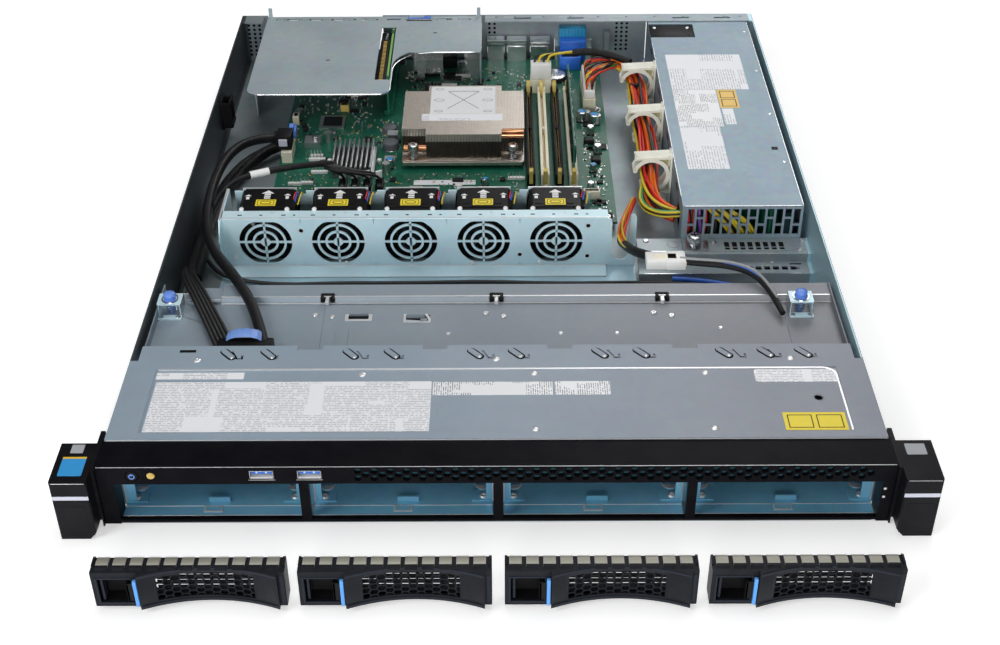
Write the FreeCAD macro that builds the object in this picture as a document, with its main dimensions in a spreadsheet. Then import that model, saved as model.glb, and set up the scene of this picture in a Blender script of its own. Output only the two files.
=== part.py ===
import FreeCAD, Part
import math
import os
import Sketcher
from FreeCAD import Placement, Rotation, Vector

# 1U rack server with its rear lid off and its four bay fillers drawn out in front.
# X to the right, Y to the rear, Z up, millimetres. The origin is on the underside,
# in the middle of the bezel's front face.

doc = FreeCAD.newDocument("RackServer")

sizes = {
    # case: a folded steel tray, open at the top
    "case_width": 436.0, "case_depth": 576.0, "case_height": 43.0, "sheet": 1.2, "gap": 0.3,
    "stud_radius": 3.0, "stud_length": 3.2, "stud_head_radius": 4.5, "stud_head": 1.0,
    "stud_front": 70.0, "stud_pitch": 400.0, "stud_height": 21.5,
    "rear_flange": 14.0, "flange_sheet": 1.0,
    # front cover plate over the drive bays
    "cover_start": 22.2, "cover_wide_end": 93.7, "cover_end": 108.0, "cover_tongue_inset": 5.0,
    "cover_sheet": 1.0, "panel_inset": 17.5, "panel_start": 28.0, "panel_end": 85.5, "panel_recess": 0.4,
    "hook_slot": 1.3, "notch_width": 15.0, "notch_depth": 4.0, "notch_first": -111.8, "notch_pitch": 75.0,
    # bezel
    "bezel_proud": 1.0, "bezel_depth": 22.0, "bezel_wall": 2.5, "bezel_top": 41.8, "band_bottom": 29.8,
    "sill_height": 3.2, "sill_depth": 3.0, "lip_start": 0.6, "post_depth": 12.0,
    "bay_first": -159.4, "bay_pitch": 107.0, "bay_width": 101.6,
    "vent_first": -75.6, "vent_pitch": 8.9, "vent_row": 2.57, "vent_low": 33.6, "hex_radius": 2.25,
    # ears
    "ear_stand": 3.0, "ear_width": 20.3, "ear_front": -12.0, "ear_back": 20.5, "ear_top": 42.0,
    "ear_wall": 2.2, "ear_tab_end": 31.0, "ear_chamfer": 5.0, "stripe_low": 29.0, "stripe_high": 32.0,
    "pad_depth": 12.0, "pad_low": 8.0, "pad_high": 26.0,
    # buttons and sockets in the bezel's band
    "power_x": -199.4, "power_z": 35.7, "power_radius": 3.2, "locator_x": -189.1, "locator_radius": 2.4,
    "button_gap": 0.3, "button_travel": 0.6, "usb_first": -128.4, "usb_pitch": 26.2, "usb_width": 13.2,
    "usb_height": 5.8, "usb_wall": 0.4, "usb_depth": 14.0, "card_top": 33.4, "card_sheet": 1.6,
    # drive cage
    "deck_top": 30.8, "deck_sheet": 1.0, "deck_end": 184.0, "crossbar_start": 168.0, "crossbar_rise": 4.0,
    "crossbar_left": -176.0, "plate_left": -109.0, "plate_right": 182.0, "plate_start": 110.0,
    "divider_sheet": 1.0, "divider_start": 15.0, "divider_end": 148.0, "divider_flange": 7.0,
    "backplane_y": 149.0, "backplane_low": 5.0,
    # lift plungers
    "plunger_y": 161.0, "plunger_left_x": -206.5, "plunger_right_x": 192.6, "plunger_cap": 4.6,
    "plunger_top": 45.0, "plunger_pin": 1.8, "bracket_width": 15.0, "bracket_height": 9.5,
    # fans
    "fan_size": 40.0, "fan_depth": 28.0, "fan_first": -159.6, "fan_pitch": 50.2, "fan_front": 264.4,
    "duct_wall": 1.1, "hub_radius": 10.5, "shaft_radius": 1.5, "shaft_play": 0.05, "blade_gap": 2.2,
    "hub_floor": 2.0, "strut": 3.0,
    "cage_front": 254.5, "cage_left": -189.0, "cage_right": 96.0, "cage_top": 41.0, "cage_wall": 1.0,
    "ring_clear": 1.8, "ring_gap": 3.7, "ring_bar": 1.8, "grille_bar": 1.5, "cage_rear": 293.0,
    "cut_left": 79.5, "cut_width": 12.0,
    # system board
    "board_left": -167.0, "board_right": 87.0, "board_front": 300.0, "board_rear": 562.0,
    "board_top": 8.0, "board_sheet": 1.6, "standoff_radius": 3.2,
    "sink_left": -72.5, "sink_right": 21.0, "sink_front": 375.0, "sink_rear": 463.0, "sink_base": 3.0,
    "sink_top": 36.0, "sink_seat": 11.5, "screw_inset": 9.0, "fin_gap": 1.4, "fin_pitch": 2.3,
    "screw_head_radius": 4.2, "screw_head_top": 27.0,
    "dimm_first": 25.7, "dimm_pitch": 10.6, "dimm_front": 348.0, "dimm_length": 142.0, "dimm_width": 6.4,
    "dimm_height": 8.5, "module_length": 133.4, "module_height": 30.0, "latch_width": 3.0,
    "latch_pivot_in": 2.0, "latch_pivot_up": 4.5, "latch_pin": 0.9,
    # riser cage
    "riser_left": -196.0, "riser_front": 433.0, "riser_shelf": -84.0, "riser_right": -13.0,
    "riser_arm": 506.0, "riser_top": 42.4, "riser_sheet": 1.2, "riser_card_x": -88.0, "riser_round": 8.0,
    # power supply
    "supply_left": 128.5, "supply_right": 212.0, "supply_front": 266.0, "supply_rear": 572.0,
    "supply_low": 1.5, "supply_top": 42.0, "supply_sheet": 1.0, "grille_low": 19.0, "grille_pitch": 6.1,
    "grille_slot": 4.5, "bracket_front": 232.0, "bracket_low": 9.0, "bracket_high": 16.0,
    "thumb_x": 137.0, "thumb_y": 257.0, "thumb_radius": 5.0, "thumb_height": 9.0,
    "clip_x": 113.0, "clip_z": 26.0, "clip_first": 340.0, "clip_pitch": 71.5, "clip_outer": 14.0,
    "clip_inner": 10.6, "clip_depth": 11.0,
    # bay fillers
    "filler_rest": -68.0, "filler_gap": 0.6, "filler_depth": 14.0, "filler_height": 24.6,
    "filler_wall": 1.6, "finger_rise": 0.8, "finger_width": 6.4, "finger_pitch": 8.85,
    "handle_start": -26.0, "handle_end": 46.5, "handle_sag": 7.0, "filler_step": 3.0,
}

sheet = doc.addObject("Spreadsheet::Sheet", "Sizes")
for row, (alias, number) in enumerate(sizes.items(), 1):
    sheet.set("A%d" % row, alias)
    sheet.set("B%d" % row, str(number))
    sheet.setAlias("B%d" % row, alias)
doc.recompute()


class Size:
    # a number that remembers the spreadsheet formula it comes from
    def __init__(self, number, formula):
        self.number = float(number)
        self.formula = formula

    def joined(self, sign, other, flipped=False):
        first, second = (asSize(other), self) if flipped else (self, asSize(other))
        number = {"+": first.number + second.number, "-": first.number - second.number,
                  "*": first.number * second.number,
                  "/": first.number / (second.number or 1.0)}[sign]
        return Size(number, "(%s %s %s)" % (first.formula, sign, second.formula))

    def __add__(self, other):
        return self.joined("+", other)

    def __radd__(self, other):
        return self.joined("+", other, True)

    def __sub__(self, other):
        return self.joined("-", other)

    def __rsub__(self, other):
        return self.joined("-", other, True)

    def __mul__(self, other):
        return self.joined("*", other)

    def __rmul__(self, other):
        return self.joined("*", other, True)

    def __truediv__(self, other):
        return self.joined("/", other)

    def __neg__(self):
        return 0 - self


def asSize(value):
    return value if isinstance(value, Size) else Size(value, "%.6f" % value)


class Dimensions:
    def __getattr__(self, alias):
        return Size(sheet.get(alias), "Sizes." + alias)


s = Dimensions()
nodes = []


def bezelHalf():
    return s.case_width / 2 + s.bezel_proud


def earInner():
    return s.case_width / 2 + s.ear_stand


def earReach():
    return earInner() + s.ear_width


def ductRadius():
    return s.fan_size / 2 - s.duct_wall


# ---- outlines: closed loops of points, with arcs where a radius is given

def poly(points, arcs=None):
    return "poly", [(asSize(x), asSize(y)) for x, y in points], arcs or {}


def rect(x0, y0, x1, y1):
    return poly([(x0, y0), (x1, y0), (x1, y1), (x0, y1)])


def circle(x, y, radius):
    return "circle", (asSize(x), asSize(y)), asSize(radius)


def slot(x0, y0, x1, y1):
    # upright slot with round ends: x0..x1 is its width
    radius = (asSize(x1) - x0) / 2
    return poly([(x0, y0 + radius), (x0, y1 - radius), (x1, y1 - radius), (x1, y0 + radius)],
                {1: (radius, -1), 3: (radius, -1)})


def faceted(x, y, radius, sides=12):
    # a regular polygon, for small turned parts and holes
    corners = [2 * math.pi * turn / sides for turn in range(sides)]
    return poly([(x + radius * math.cos(a), y + radius * math.sin(a)) for a in corners])


def hexagon(x, y, radius):
    return faceted(x, y, radius, 6)


def locate(sketch, geometry, point, x, y, constraints, formulas):
    for kind, value, axis in (("DistanceX", x, -2), ("DistanceY", y, -1)):
        if abs(value.number) < 1e-9:
            constraints.append(Sketcher.Constraint("PointOnObject", geometry, point, axis))
            formulas.append(None)
        elif value.number < 0:
            constraints.append(Sketcher.Constraint(kind, geometry, point, -1, 1, -value.number))
            formulas.append((-value).formula)
        else:
            constraints.append(Sketcher.Constraint(kind, -1, 1, geometry, point, value.number))
            formulas.append(value.formula)


def arcBetween(start, end, radius, side):
    # side +1 keeps the centre to the left of the way from start to end, -1 to the right
    chord = end - start
    middle = (start + end) / 2
    reach = math.sqrt(max(radius ** 2 - (chord.Length / 2) ** 2, 0.0))
    left = Vector(-chord.y, chord.x, 0).normalize()
    centre = middle + left * (reach * side)
    towards = (middle - centre)
    if towards.Length < 1e-9:
        towards = left * -side
    crest = centre + towards.normalize() * radius
    return Part.Arc(start, crest, end)


def drawOutline(sketch, outline):
    constraints = []
    formulas = []
    first = sketch.GeometryCount
    if outline[0] == "circle":
        _, (x, y), radius = outline
        sketch.addGeometry(Part.Circle(Vector(x.number, y.number, 0), Vector(0, 0, 1), radius.number), False)
        locate(sketch, first, 3, x, y, constraints, formulas)
        constraints.append(Sketcher.Constraint("Radius", first, radius.number))
        formulas.append(radius.formula)
    else:
        _, points, arcs = outline
        count = len(points)
        spots = [Vector(x.number, y.number, 0) for x, y in points]
        shapes = []
        starts = []
        for index in range(count):
            start, end = spots[index], spots[(index + 1) % count]
            if index in arcs:
                radius, side = asSize(arcs[index][0]), arcs[index][1]
                shapes.append(arcBetween(start, end, radius.number, side))
                starts.append(1 if side > 0 else 2)
            else:
                shapes.append(Part.LineSegment(start, end))
                starts.append(1)
        sketch.addGeometry(shapes, False)
        for index in range(count):
            following = (index + 1) % count
            constraints.append(Sketcher.Constraint("Coincident", first + index, 3 - starts[index],
                                                   first + following, starts[following]))
            formulas.append(None)
        for index, (x, y) in enumerate(points):
            locate(sketch, first + index, starts[index], x, y, constraints, formulas)
        for index, (radius, side) in arcs.items():
            radius = asSize(radius)
            if abs(radius.number * 2 - (spots[(index + 1) % count] - spots[index]).Length) < 1e-6:
                # a half circle over a level chord is fixed by its centre's height
                level = points[index][1]
                constraints.append(Sketcher.Constraint("DistanceY", -1, 1, first + index, 3, level.number))
                formulas.append(level.formula)
            else:
                constraints.append(Sketcher.Constraint("Radius", first + index, radius.number))
                formulas.append(radius.formula)
    base = sketch.ConstraintCount
    sketch.addConstraint(constraints)
    for index, formula in enumerate(formulas):
        if formula:
            sketch.setExpression("Constraints[%d]" % (base + index), formula)


# ---- features

def newBody(name, x=0, y=0, z=0):
    body = doc.addObject("PartDesign::Body", name)
    body.Label = name
    for axis, value in zip("xyz", (x, y, z)):
        value = asSize(value)
        if abs(value.number) > 0:
            body.setExpression("Placement.Base." + axis, value.formula)
    nodes.append(body)
    return body


def origin(body, role):
    return next(item for item in body.Origin.OriginFeatures if item.Role == role)


def newSketch(body, plane, offset, outlines):
    # XY sketches hold (x, y), XZ sketches (x, z), YZ sketches (y, z)
    sketch = body.newObject("Sketcher::SketchObject", "Sketch")
    sketch.AttachmentSupport = [(origin(body, plane + "_Plane"), "")]
    sketch.MapMode = "FlatFace"
    along = -asSize(offset) if plane == "XZ" else asSize(offset)
    sketch.AttachmentOffset = Placement(Vector(0, 0, along.number), Rotation())
    sketch.setExpression("AttachmentOffset.Base.z", along.formula)
    for outline in outlines:
        drawOutline(sketch, outline)
    return sketch


def extrude(kind, body, plane, start, end, outlines):
    sketch = newSketch(body, plane, start, outlines)
    feature = body.newObject("PartDesign::" + kind, kind)
    feature.Profile = sketch
    length = asSize(end) - start
    feature.Length = length.number
    feature.setExpression("Length", length.formula)
    feature.Reversed = (plane == "XZ") == (kind == "Pad")
    return feature


def pad(body, plane, start, end, *outlines):
    return extrude("Pad", body, plane, start, end, outlines)


def cut(body, plane, start, end, *outlines):
    return extrude("Pocket", body, plane, start, end, outlines)


def repeat(body, features, axis, pitch, count):
    feature = body.newObject("PartDesign::LinearPattern", "LinearPattern")
    feature.Originals = features
    feature.Direction = (origin(body, axis), [""])
    length = asSize(pitch) * (count - 1)
    feature.Length = length.number
    feature.setExpression("Length", length.formula)
    feature.Occurrences = count
    body.Tip = feature
    return feature


def spin(body, features, axis, count):
    feature = body.newObject("PartDesign::PolarPattern", "PolarPattern")
    feature.Originals = features
    feature.Axis = (origin(body, axis), [""])
    feature.Angle = 360
    feature.Occurrences = count
    body.Tip = feature
    return feature


def roundEdges(body, radius, wanted, kind="Fillet"):
    # wanted(edge) picks the edges of the body as it stands
    doc.recompute()
    base = body.Tip
    names = ["Edge%d" % (i + 1) for i, edge in enumerate(base.Shape.Edges) if wanted(edge)]
    feature = body.newObject("PartDesign::" + kind, kind)
    feature.Base = (base, names)
    prop = "Radius" if kind == "Fillet" else "Size"
    setattr(feature, prop, asSize(radius).number)
    feature.setExpression(prop, asSize(radius).formula)
    return feature


def upright(edge, x=None, y=None, reach=0.6):
    # a vertical straight edge near x and y, where those are given
    box = edge.BoundBox
    if box.XLength > 0.01 or box.YLength > 0.01:
        return False
    return ((x is None or abs(box.XMin - asSize(x).number) < reach) and
            (y is None or abs(box.YMin - asSize(y).number) < reach))


# ---- case

def basePan():
    body = newBody("base_pan")
    half = s.case_width / 2
    inner = half - s.sheet
    pad(body, "XZ", s.bezel_depth, s.case_depth,
        poly([(-half, 0), (half, 0), (half, s.case_height), (inner, s.case_height), (inner, s.sheet),
              (-inner, s.sheet), (-inner, s.case_height), (-half, s.case_height)]))
    mouth = s.bay_first - s.bay_width / 2
    pad(body, "XY", 0, s.sheet, rect(mouth, s.lip_start, -mouth, s.bezel_depth))
    seat = s.case_height - s.cover_sheet
    cut(body, "XY", seat, s.case_height + 1,
        rect(-half - 1, s.bezel_depth - 1, -inner + 0.5, s.cover_wide_end + s.gap),
        rect(inner - 0.5, s.bezel_depth - 1, half + 1, s.cover_wide_end + s.gap))
    standoffs = []
    for x in (s.board_left + 8, -80, s.board_right - 8):
        for y in (s.board_front + 8, s.board_rear - 12):
            standoffs.append(hexagon(asSize(x), y, s.standoff_radius))
    pad(body, "XY", s.sheet, s.board_top - s.board_sheet, *standoffs)
    neck = pad(body, "YZ", half, half + s.stud_length, faceted(s.stud_front, s.stud_height, s.stud_radius, 12))
    head = pad(body, "YZ", half + s.stud_length - s.stud_head, half + s.stud_length,
               faceted(s.stud_front, s.stud_height, s.stud_head_radius, 12))
    repeat(body, [neck, head], "Y_Axis", s.stud_pitch, 2)
    neckLeft = pad(body, "YZ", -half - s.stud_length, -half,
                   faceted(s.stud_front, s.stud_height, s.stud_radius, 12))
    headLeft = pad(body, "YZ", -half - s.stud_length, -half - s.stud_length + s.stud_head,
                   faceted(s.stud_front, s.stud_height, s.stud_head_radius, 12))
    repeat(body, [neckLeft, headLeft], "Y_Axis", s.stud_pitch, 2)


def rearPanel():
    body = newBody("rear_panel")
    inner = s.case_width / 2 - s.sheet
    wall = s.case_depth - s.sheet
    top = s.case_height
    pad(body, "XZ", wall, s.case_depth, rect(-inner, s.sheet, inner, top))
    # the folded top flange stops where the riser cage drops in
    for left, right in ((-inner, s.riser_left - 3), (s.riser_right + 3, inner)):
        pad(body, "XY", top - s.flange_sheet, top,
            rect(left, s.case_depth - s.rear_flange, right, wall))
    cut(body, "XZ", wall - 1, s.case_depth + 1, rect(s.riser_left, 11, s.riser_shelf - 14, top + 1))
    cut(body, "XZ", wall - 1, s.case_depth + 1,
        rect(s.supply_left - s.gap, s.sheet + 0.5, s.supply_right + s.gap, s.supply_top - s.flange_sheet))
    ports = [rect(left - s.gap, low - s.gap, right + s.gap, high + s.gap)
             for left, right, low, high in portFaces()]
    cut(body, "XZ", wall - 1, s.case_depth + 1, *ports)
    slots = [rect(x, s.case_depth - 9, x + 14, s.case_depth - 6) for x in (15, 60, 150, 185)]
    cut(body, "XY", top - 2, top + 1, *slots)


def portFaces():
    # left, right, low and high of each socket that reaches the rear wall
    low = s.board_top
    return [(asSize(-72), asSize(-41), low, low + 12), (asSize(-28), asSize(-14), low, low + 15),
            (asSize(-8), asSize(6), low, low + 15), (asSize(9), asSize(25), low, low + 13.5),
            (asSize(29), asSize(45), low, low + 13.5), (asSize(50), asSize(81), low, low + 12.5)]


def hookSlot(x, y):
    # a J slot: a short straight stroke that turns back on itself at its front end
    w = s.hook_slot
    return poly([(x, y + 8), (x + 4, y), (x + 8, y), (x + 8, y + 4), (x + 8 - w, y + 4),
                 (x + 8 - w, y + w), (x + 4 + w * 0.6, y + w), (x + w, y + 8)])


def frontCover():
    body = newBody("front_cover")
    half = s.case_width / 2
    low = s.case_height - s.cover_sheet
    tongue = half - s.cover_tongue_inset
    pad(body, "XY", low, s.case_height,
        poly([(-half, s.cover_start), (half, s.cover_start), (half, s.cover_wide_end),
              (tongue, s.cover_wide_end), (tongue, s.cover_end), (-tongue, s.cover_end),
              (-tongue, s.cover_wide_end), (-half, s.cover_wide_end)]))
    edge = half - s.panel_inset
    cut(body, "XY", s.case_height - s.panel_recess, s.case_height + 1,
        rect(-edge, s.panel_start, edge, s.panel_end))
    notch = cut(body, "XY", low - 1, s.case_height + 1,
                rect(s.notch_first - s.notch_width / 2, s.cover_end - s.notch_depth,
                     s.notch_first + s.notch_width / 2, s.cover_end + 1))
    repeat(body, [notch], "X_Axis", s.notch_pitch, 4)
    pairs = (-159, -138, -84, -63, -9, 12, 66, 87, 141, 162, 183)
    cut(body, "XY", low - 1, s.case_height + 1,
        *[hookSlot(asSize(x), s.cover_wide_end + 1) for x in pairs])
    cut(body, "XY", low - 1, s.case_height + 1, circle(185.3, 57.3, 2.5))


# ---- front end

def bayCentre(index):
    return s.bay_first + s.bay_pitch * index


def bezel():
    body = newBody("bezel")
    half = bezelHalf()
    left = s.bay_first - s.bay_width / 2
    right = bayCentre(3) + s.bay_width / 2
    top = s.bezel_top
    wall = s.bezel_wall
    pad(body, "YZ", -half, half,
        poly([(0, s.band_bottom), (wall, s.band_bottom), (wall, top - 1.8), (s.bezel_depth, top - 1.8),
              (s.bezel_depth, top), (0.8, top), (0, top - 0.8)]))
    pad(body, "XZ", 0, s.post_depth, rect(-half, 0.2, left, s.band_bottom),
        rect(right, 0.2, half, s.band_bottom))
    skin = s.case_width / 2 - s.gap
    pad(body, "XZ", 0.5, s.bezel_depth, rect(-half, 0.2, -skin, top - 1),
        rect(skin, 0.2, half, top - 1))
    pad(body, "XZ", 0, s.sill_depth, rect(left, s.sheet, right, s.sill_height))
    bars = [rect(bayCentre(i) + s.bay_width / 2, s.sill_height, bayCentre(i + 1) - s.bay_width / 2,
                 s.band_bottom) for i in range(3)]
    pad(body, "XZ", 0, s.sill_depth, *bars)
    cells = [hexagon(s.vent_first, s.vent_low, s.hex_radius),
             hexagon(s.vent_first, s.vent_low + s.vent_row * 2, s.hex_radius)]
    between = [hexagon(s.vent_first + s.vent_pitch / 2, s.vent_low + s.vent_row, s.hex_radius)]
    even = cut(body, "XZ", -1, wall + 1, *cells)
    odd = cut(body, "XZ", -1, wall + 1, *between)
    repeat(body, [even, odd], "X_Axis", s.vent_pitch, 32)
    cut(body, "XZ", -1, wall + 1, circle(s.power_x, s.power_z, s.power_radius + s.button_gap),
        circle(s.locator_x, s.power_z, s.locator_radius + s.button_gap))
    reach = s.usb_width / 2 + s.gap
    sockets = [rect(s.usb_first + s.usb_pitch * i - reach, s.card_top - s.gap,
                    s.usb_first + s.usb_pitch * i + reach, s.card_top + s.usb_height + s.gap)
               for i in range(2)]
    cut(body, "XZ", -1, wall + 1, *sockets)


def ear(name, side):
    # a moulded housing, open at the rear, that screws to the case side behind its tab
    body = newBody(name)
    outer = earReach() * side
    inner = earInner() * side
    wall = bezelHalf() * side + 0.1 * side
    tab = wall + 2.6 * side
    pad(body, "XY", 0.2, s.ear_top,
        poly([(outer, s.ear_front), (inner, s.ear_front), (inner, -2), (wall, -2),
              (wall, s.ear_tab_end), (tab, s.ear_tab_end), (tab, s.ear_back), (outer, s.ear_back)]))
    roundEdges(body, 0.8, lambda edge: upright(edge, y=s.ear_front))
    low, high = sorted((outer - s.ear_wall * side, inner + s.ear_wall * side), key=lambda v: v.number)
    cut(body, "XY", 0.2 + s.ear_wall, s.ear_top - s.ear_wall,
        rect(low, s.ear_front + s.ear_wall, high, s.ear_back + 1))
    c = s.ear_chamfer
    cut(body, "XZ", s.ear_front - 1, 4,
        poly([(inner + c * side, -1), (inner - side, -1), (inner - side, c), (inner, c)]))
    x0, x1 = sorted((outer - (s.ear_wall + 1) * side, outer + side), key=lambda v: v.number)
    cut(body, "YZ", x0, x1, rect(-5, s.pad_low, -5 + s.pad_depth, s.pad_high))
    cut(body, "XZ", s.ear_front - 1, s.ear_front + 0.5,
        rect(-earReach() - 1 if side < 0 else earInner() - 1, s.stripe_low,
             -earInner() + 1 if side < 0 else earReach() + 1, s.stripe_high))


def rackLatch(name, side):
    # ribbed thumb pad in the ear's side, with an arm that hooks behind the rack's post
    body = newBody(name)
    outer = earReach() * side
    face = outer - 0.4 * side
    x0, x1 = sorted((face, face - 3.2 * side), key=lambda v: v.number)
    clear = s.gap
    pad(body, "YZ", x0, x1,
        rect(-5 + clear, s.pad_low + clear, -5 + s.pad_depth - clear, s.pad_high - clear))
    x2, x3 = sorted((face - 2.4 * side, face - 4.2 * side), key=lambda v: v.number)
    pad(body, "YZ", x2, x3, rect(-8, s.pad_low - 2, s.ear_back + 8, s.pad_high + 2))
    hook = s.ear_back + 3
    a, b = face, face - 4.2 * side
    pad(body, "XY", s.pad_low, s.pad_high, poly([(b, hook + 5), (b, hook), (a, hook), (a, hook + 1)]))


def operatorPanel():
    # card behind the band, carrying the two front sockets and the two switches
    body = newBody("operator_panel")
    low = s.card_top - s.card_sheet
    pad(body, "XY", low, s.card_top, rect(-208, s.bezel_wall + 2.3, -92, s.bezel_depth - 3))
    pad(body, "XY", s.deck_top, low, *[hexagon(asSize(x), 15, 2.2) for x in (-205, -150, -95)])
    half = s.usb_width / 2
    for i in range(2):
        x = s.usb_first + s.usb_pitch * i
        pad(body, "XZ", 0.4, s.usb_depth, rect(x - half, s.card_top, x + half, s.card_top + s.usb_height))
        w = s.usb_wall
        cut(body, "XZ", -1, s.usb_depth - 1, rect(x - half + w, s.card_top + w, x + half - w,
                                                  s.card_top + s.usb_height - w))
        pad(body, "XZ", 1.2, s.usb_depth - 0.5,
            rect(x - half + 1.2, s.card_top + 3.2, x + half - 1.2, s.card_top + 5.0))
    for x in (s.power_x, s.locator_x):
        pad(body, "XY", s.card_top, s.card_top + 5.5, rect(x - 2.8, 9, x + 2.8, 14))


def pushButton(name, x, radius):
    # cap, retaining flange behind the band's wall, and a stem that meets the switch
    body = newBody(name, x, 0, s.power_z)
    seat = s.bezel_wall + s.gap
    flange = radius + s.button_gap + 0.5
    pad(body, "XZ", 0, seat, faceted(0, 0, radius))
    pad(body, "XZ", -0.4, 0, faceted(0, 0, radius - 0.4))
    pad(body, "XZ", seat, seat + 0.9, faceted(0, 0, flange))
    pad(body, "XZ", seat + 0.9, 9 - s.button_travel - s.gap, faceted(0, 0, 1.2, 8))


def driveDeck():
    body = newBody("drive_deck")
    inner = s.case_width / 2 - s.sheet
    low = s.deck_top - s.deck_sheet
    high = s.deck_top + s.crossbar_rise
    t = s.deck_sheet
    rear = s.deck_end
    start = s.crossbar_start
    mouth = s.bay_first - s.bay_width / 2 + 0.5
    front = s.bezel_depth + s.gap
    pad(body, "XY", low, s.deck_top,
        poly([(mouth, s.bezel_wall + s.gap), (-mouth, s.bezel_wall + s.gap), (-mouth, front), (inner, front),
              (inner, rear - 4), (-inner, rear - 4), (-inner, front), (mouth, front)]))
    pad(body, "YZ", s.crossbar_left, inner - 2,
        poly([(start, s.deck_top), (start + 2, high), (rear, high), (rear, s.sheet + s.gap),
              (rear - t, s.sheet + s.gap), (rear - t, high - t), (start + 3, high - t), (start + 1, s.deck_top)]))
    pad(body, "XY", s.deck_top, s.deck_top + 0.8,
        rect(s.plate_left, s.plate_start, s.plate_right, start - 2))
    # the plungers' pins drop through the deck
    cut(body, "XY", low - 1, s.deck_top + 2, circle(s.plunger_left_x, s.plunger_y, s.plunger_pin + s.gap),
        circle(s.plunger_right_x, s.plunger_y, s.plunger_pin + s.gap))
    cut(body, "XY", low - 1, s.deck_top + 2, rect(-95, 149, -79, 155), rect(-58, 147, -42, 155))
    hooks = [rect(x - 4.5, start - 1, x + 4.5, start + 5) for x in (-108, 0, 106)]
    cut(body, "XY", s.deck_top + 1, high + 1, *hooks)


def bayDividers():
    # folded partitions between the bays; each has a flange that faces the front
    body = newBody("bay_dividers")
    low = s.sheet
    high = s.deck_top - s.deck_sheet
    t = s.divider_sheet
    shapes = []
    for i in range(5):
        x = bayCentre(i) - s.bay_pitch / 2
        if i == 0:
            x = s.bay_first - s.bay_width / 2 - 0.6
        if i == 4:
            x = bayCentre(3) + s.bay_width / 2 + 0.6
        left = x - (s.divider_flange if i > 0 else 2)
        right = x + (s.divider_flange if i < 4 else 2)
        front = s.divider_start
        shapes.append(poly([(left, front), (right, front), (right, front + t), (x + t / 2, front + t),
                            (x + t / 2, s.divider_end), (x - t / 2, s.divider_end),
                            (x - t / 2, front + t), (left, front + t)]))
    pad(body, "XY", low, high, *shapes)
    for i in range(4):
        x = bayCentre(i) - 3.6
        tab = s.divider_start - 0.5
        pad(body, "YZ", x, x + 12, poly([(tab, low), (tab + t, low), (tab + t, low + 5), (tab, low + 5)]))
    shelf = [rect(bayCentre(i) - s.bay_width / 2 + 8, s.divider_start - 0.5,
                  bayCentre(i) + s.bay_width / 2 - 8, s.divider_end) for i in range(4)]
    pad(body, "XY", low, low + 1.6, *shelf)


def backplane():
    body = newBody("backplane")
    inner = s.case_width / 2 - s.sheet - 3
    y = s.backplane_y
    pad(body, "XZ", y, y + 1.6, rect(-inner, s.backplane_low, inner, s.deck_top - s.deck_sheet - s.gap))
    pad(body, "XZ", y - 6, y, *[rect(bayCentre(i) - 22, 9, bayCentre(i) + 21, 14) for i in range(4)])


def plungerBrackets():
    body = newBody("plunger_brackets")
    half = s.bracket_width / 2
    z = s.deck_top
    top = z + s.bracket_height
    for x in (s.plunger_left_x, s.plunger_right_x):
        pad(body, "XZ", s.plunger_y - 6, s.plunger_y + 6,
            poly([(x - half, z), (x - half + 1, z), (x - half + 1, top - 1), (x + half - 1, top - 1),
                  (x + half - 1, z), (x + half, z), (x + half, top), (x - half, top)]))
        cut(body, "XY", top - 2, top + 1, circle(x, s.plunger_y, s.plunger_pin + s.gap))
    roots = [rect(x - half, s.plunger_y - 10, x + half, s.plunger_y - 5.5)
             for x in (s.plunger_left_x, s.plunger_right_x)]
    pad(body, "XY", z, z + 1, *roots)


def plunger(name, x):
    # knob on a sprung pin that locks the drive cage to the case
    body = newBody(name, x, s.plunger_y, 0)
    seat = s.deck_top + s.bracket_height + s.gap
    pad(body, "XY", s.deck_top - 6, seat, faceted(0, 0, s.plunger_pin, 10))
    pad(body, "XY", seat, s.plunger_top - 1.2, faceted(0, 0, s.plunger_cap, 12))
    pad(body, "XY", s.plunger_top - 1.2, s.plunger_top, faceted(0, 0, s.plunger_cap - 1.0, 12))


# ---- fans

def fanX(index):
    return s.fan_first + s.fan_pitch * index


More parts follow.
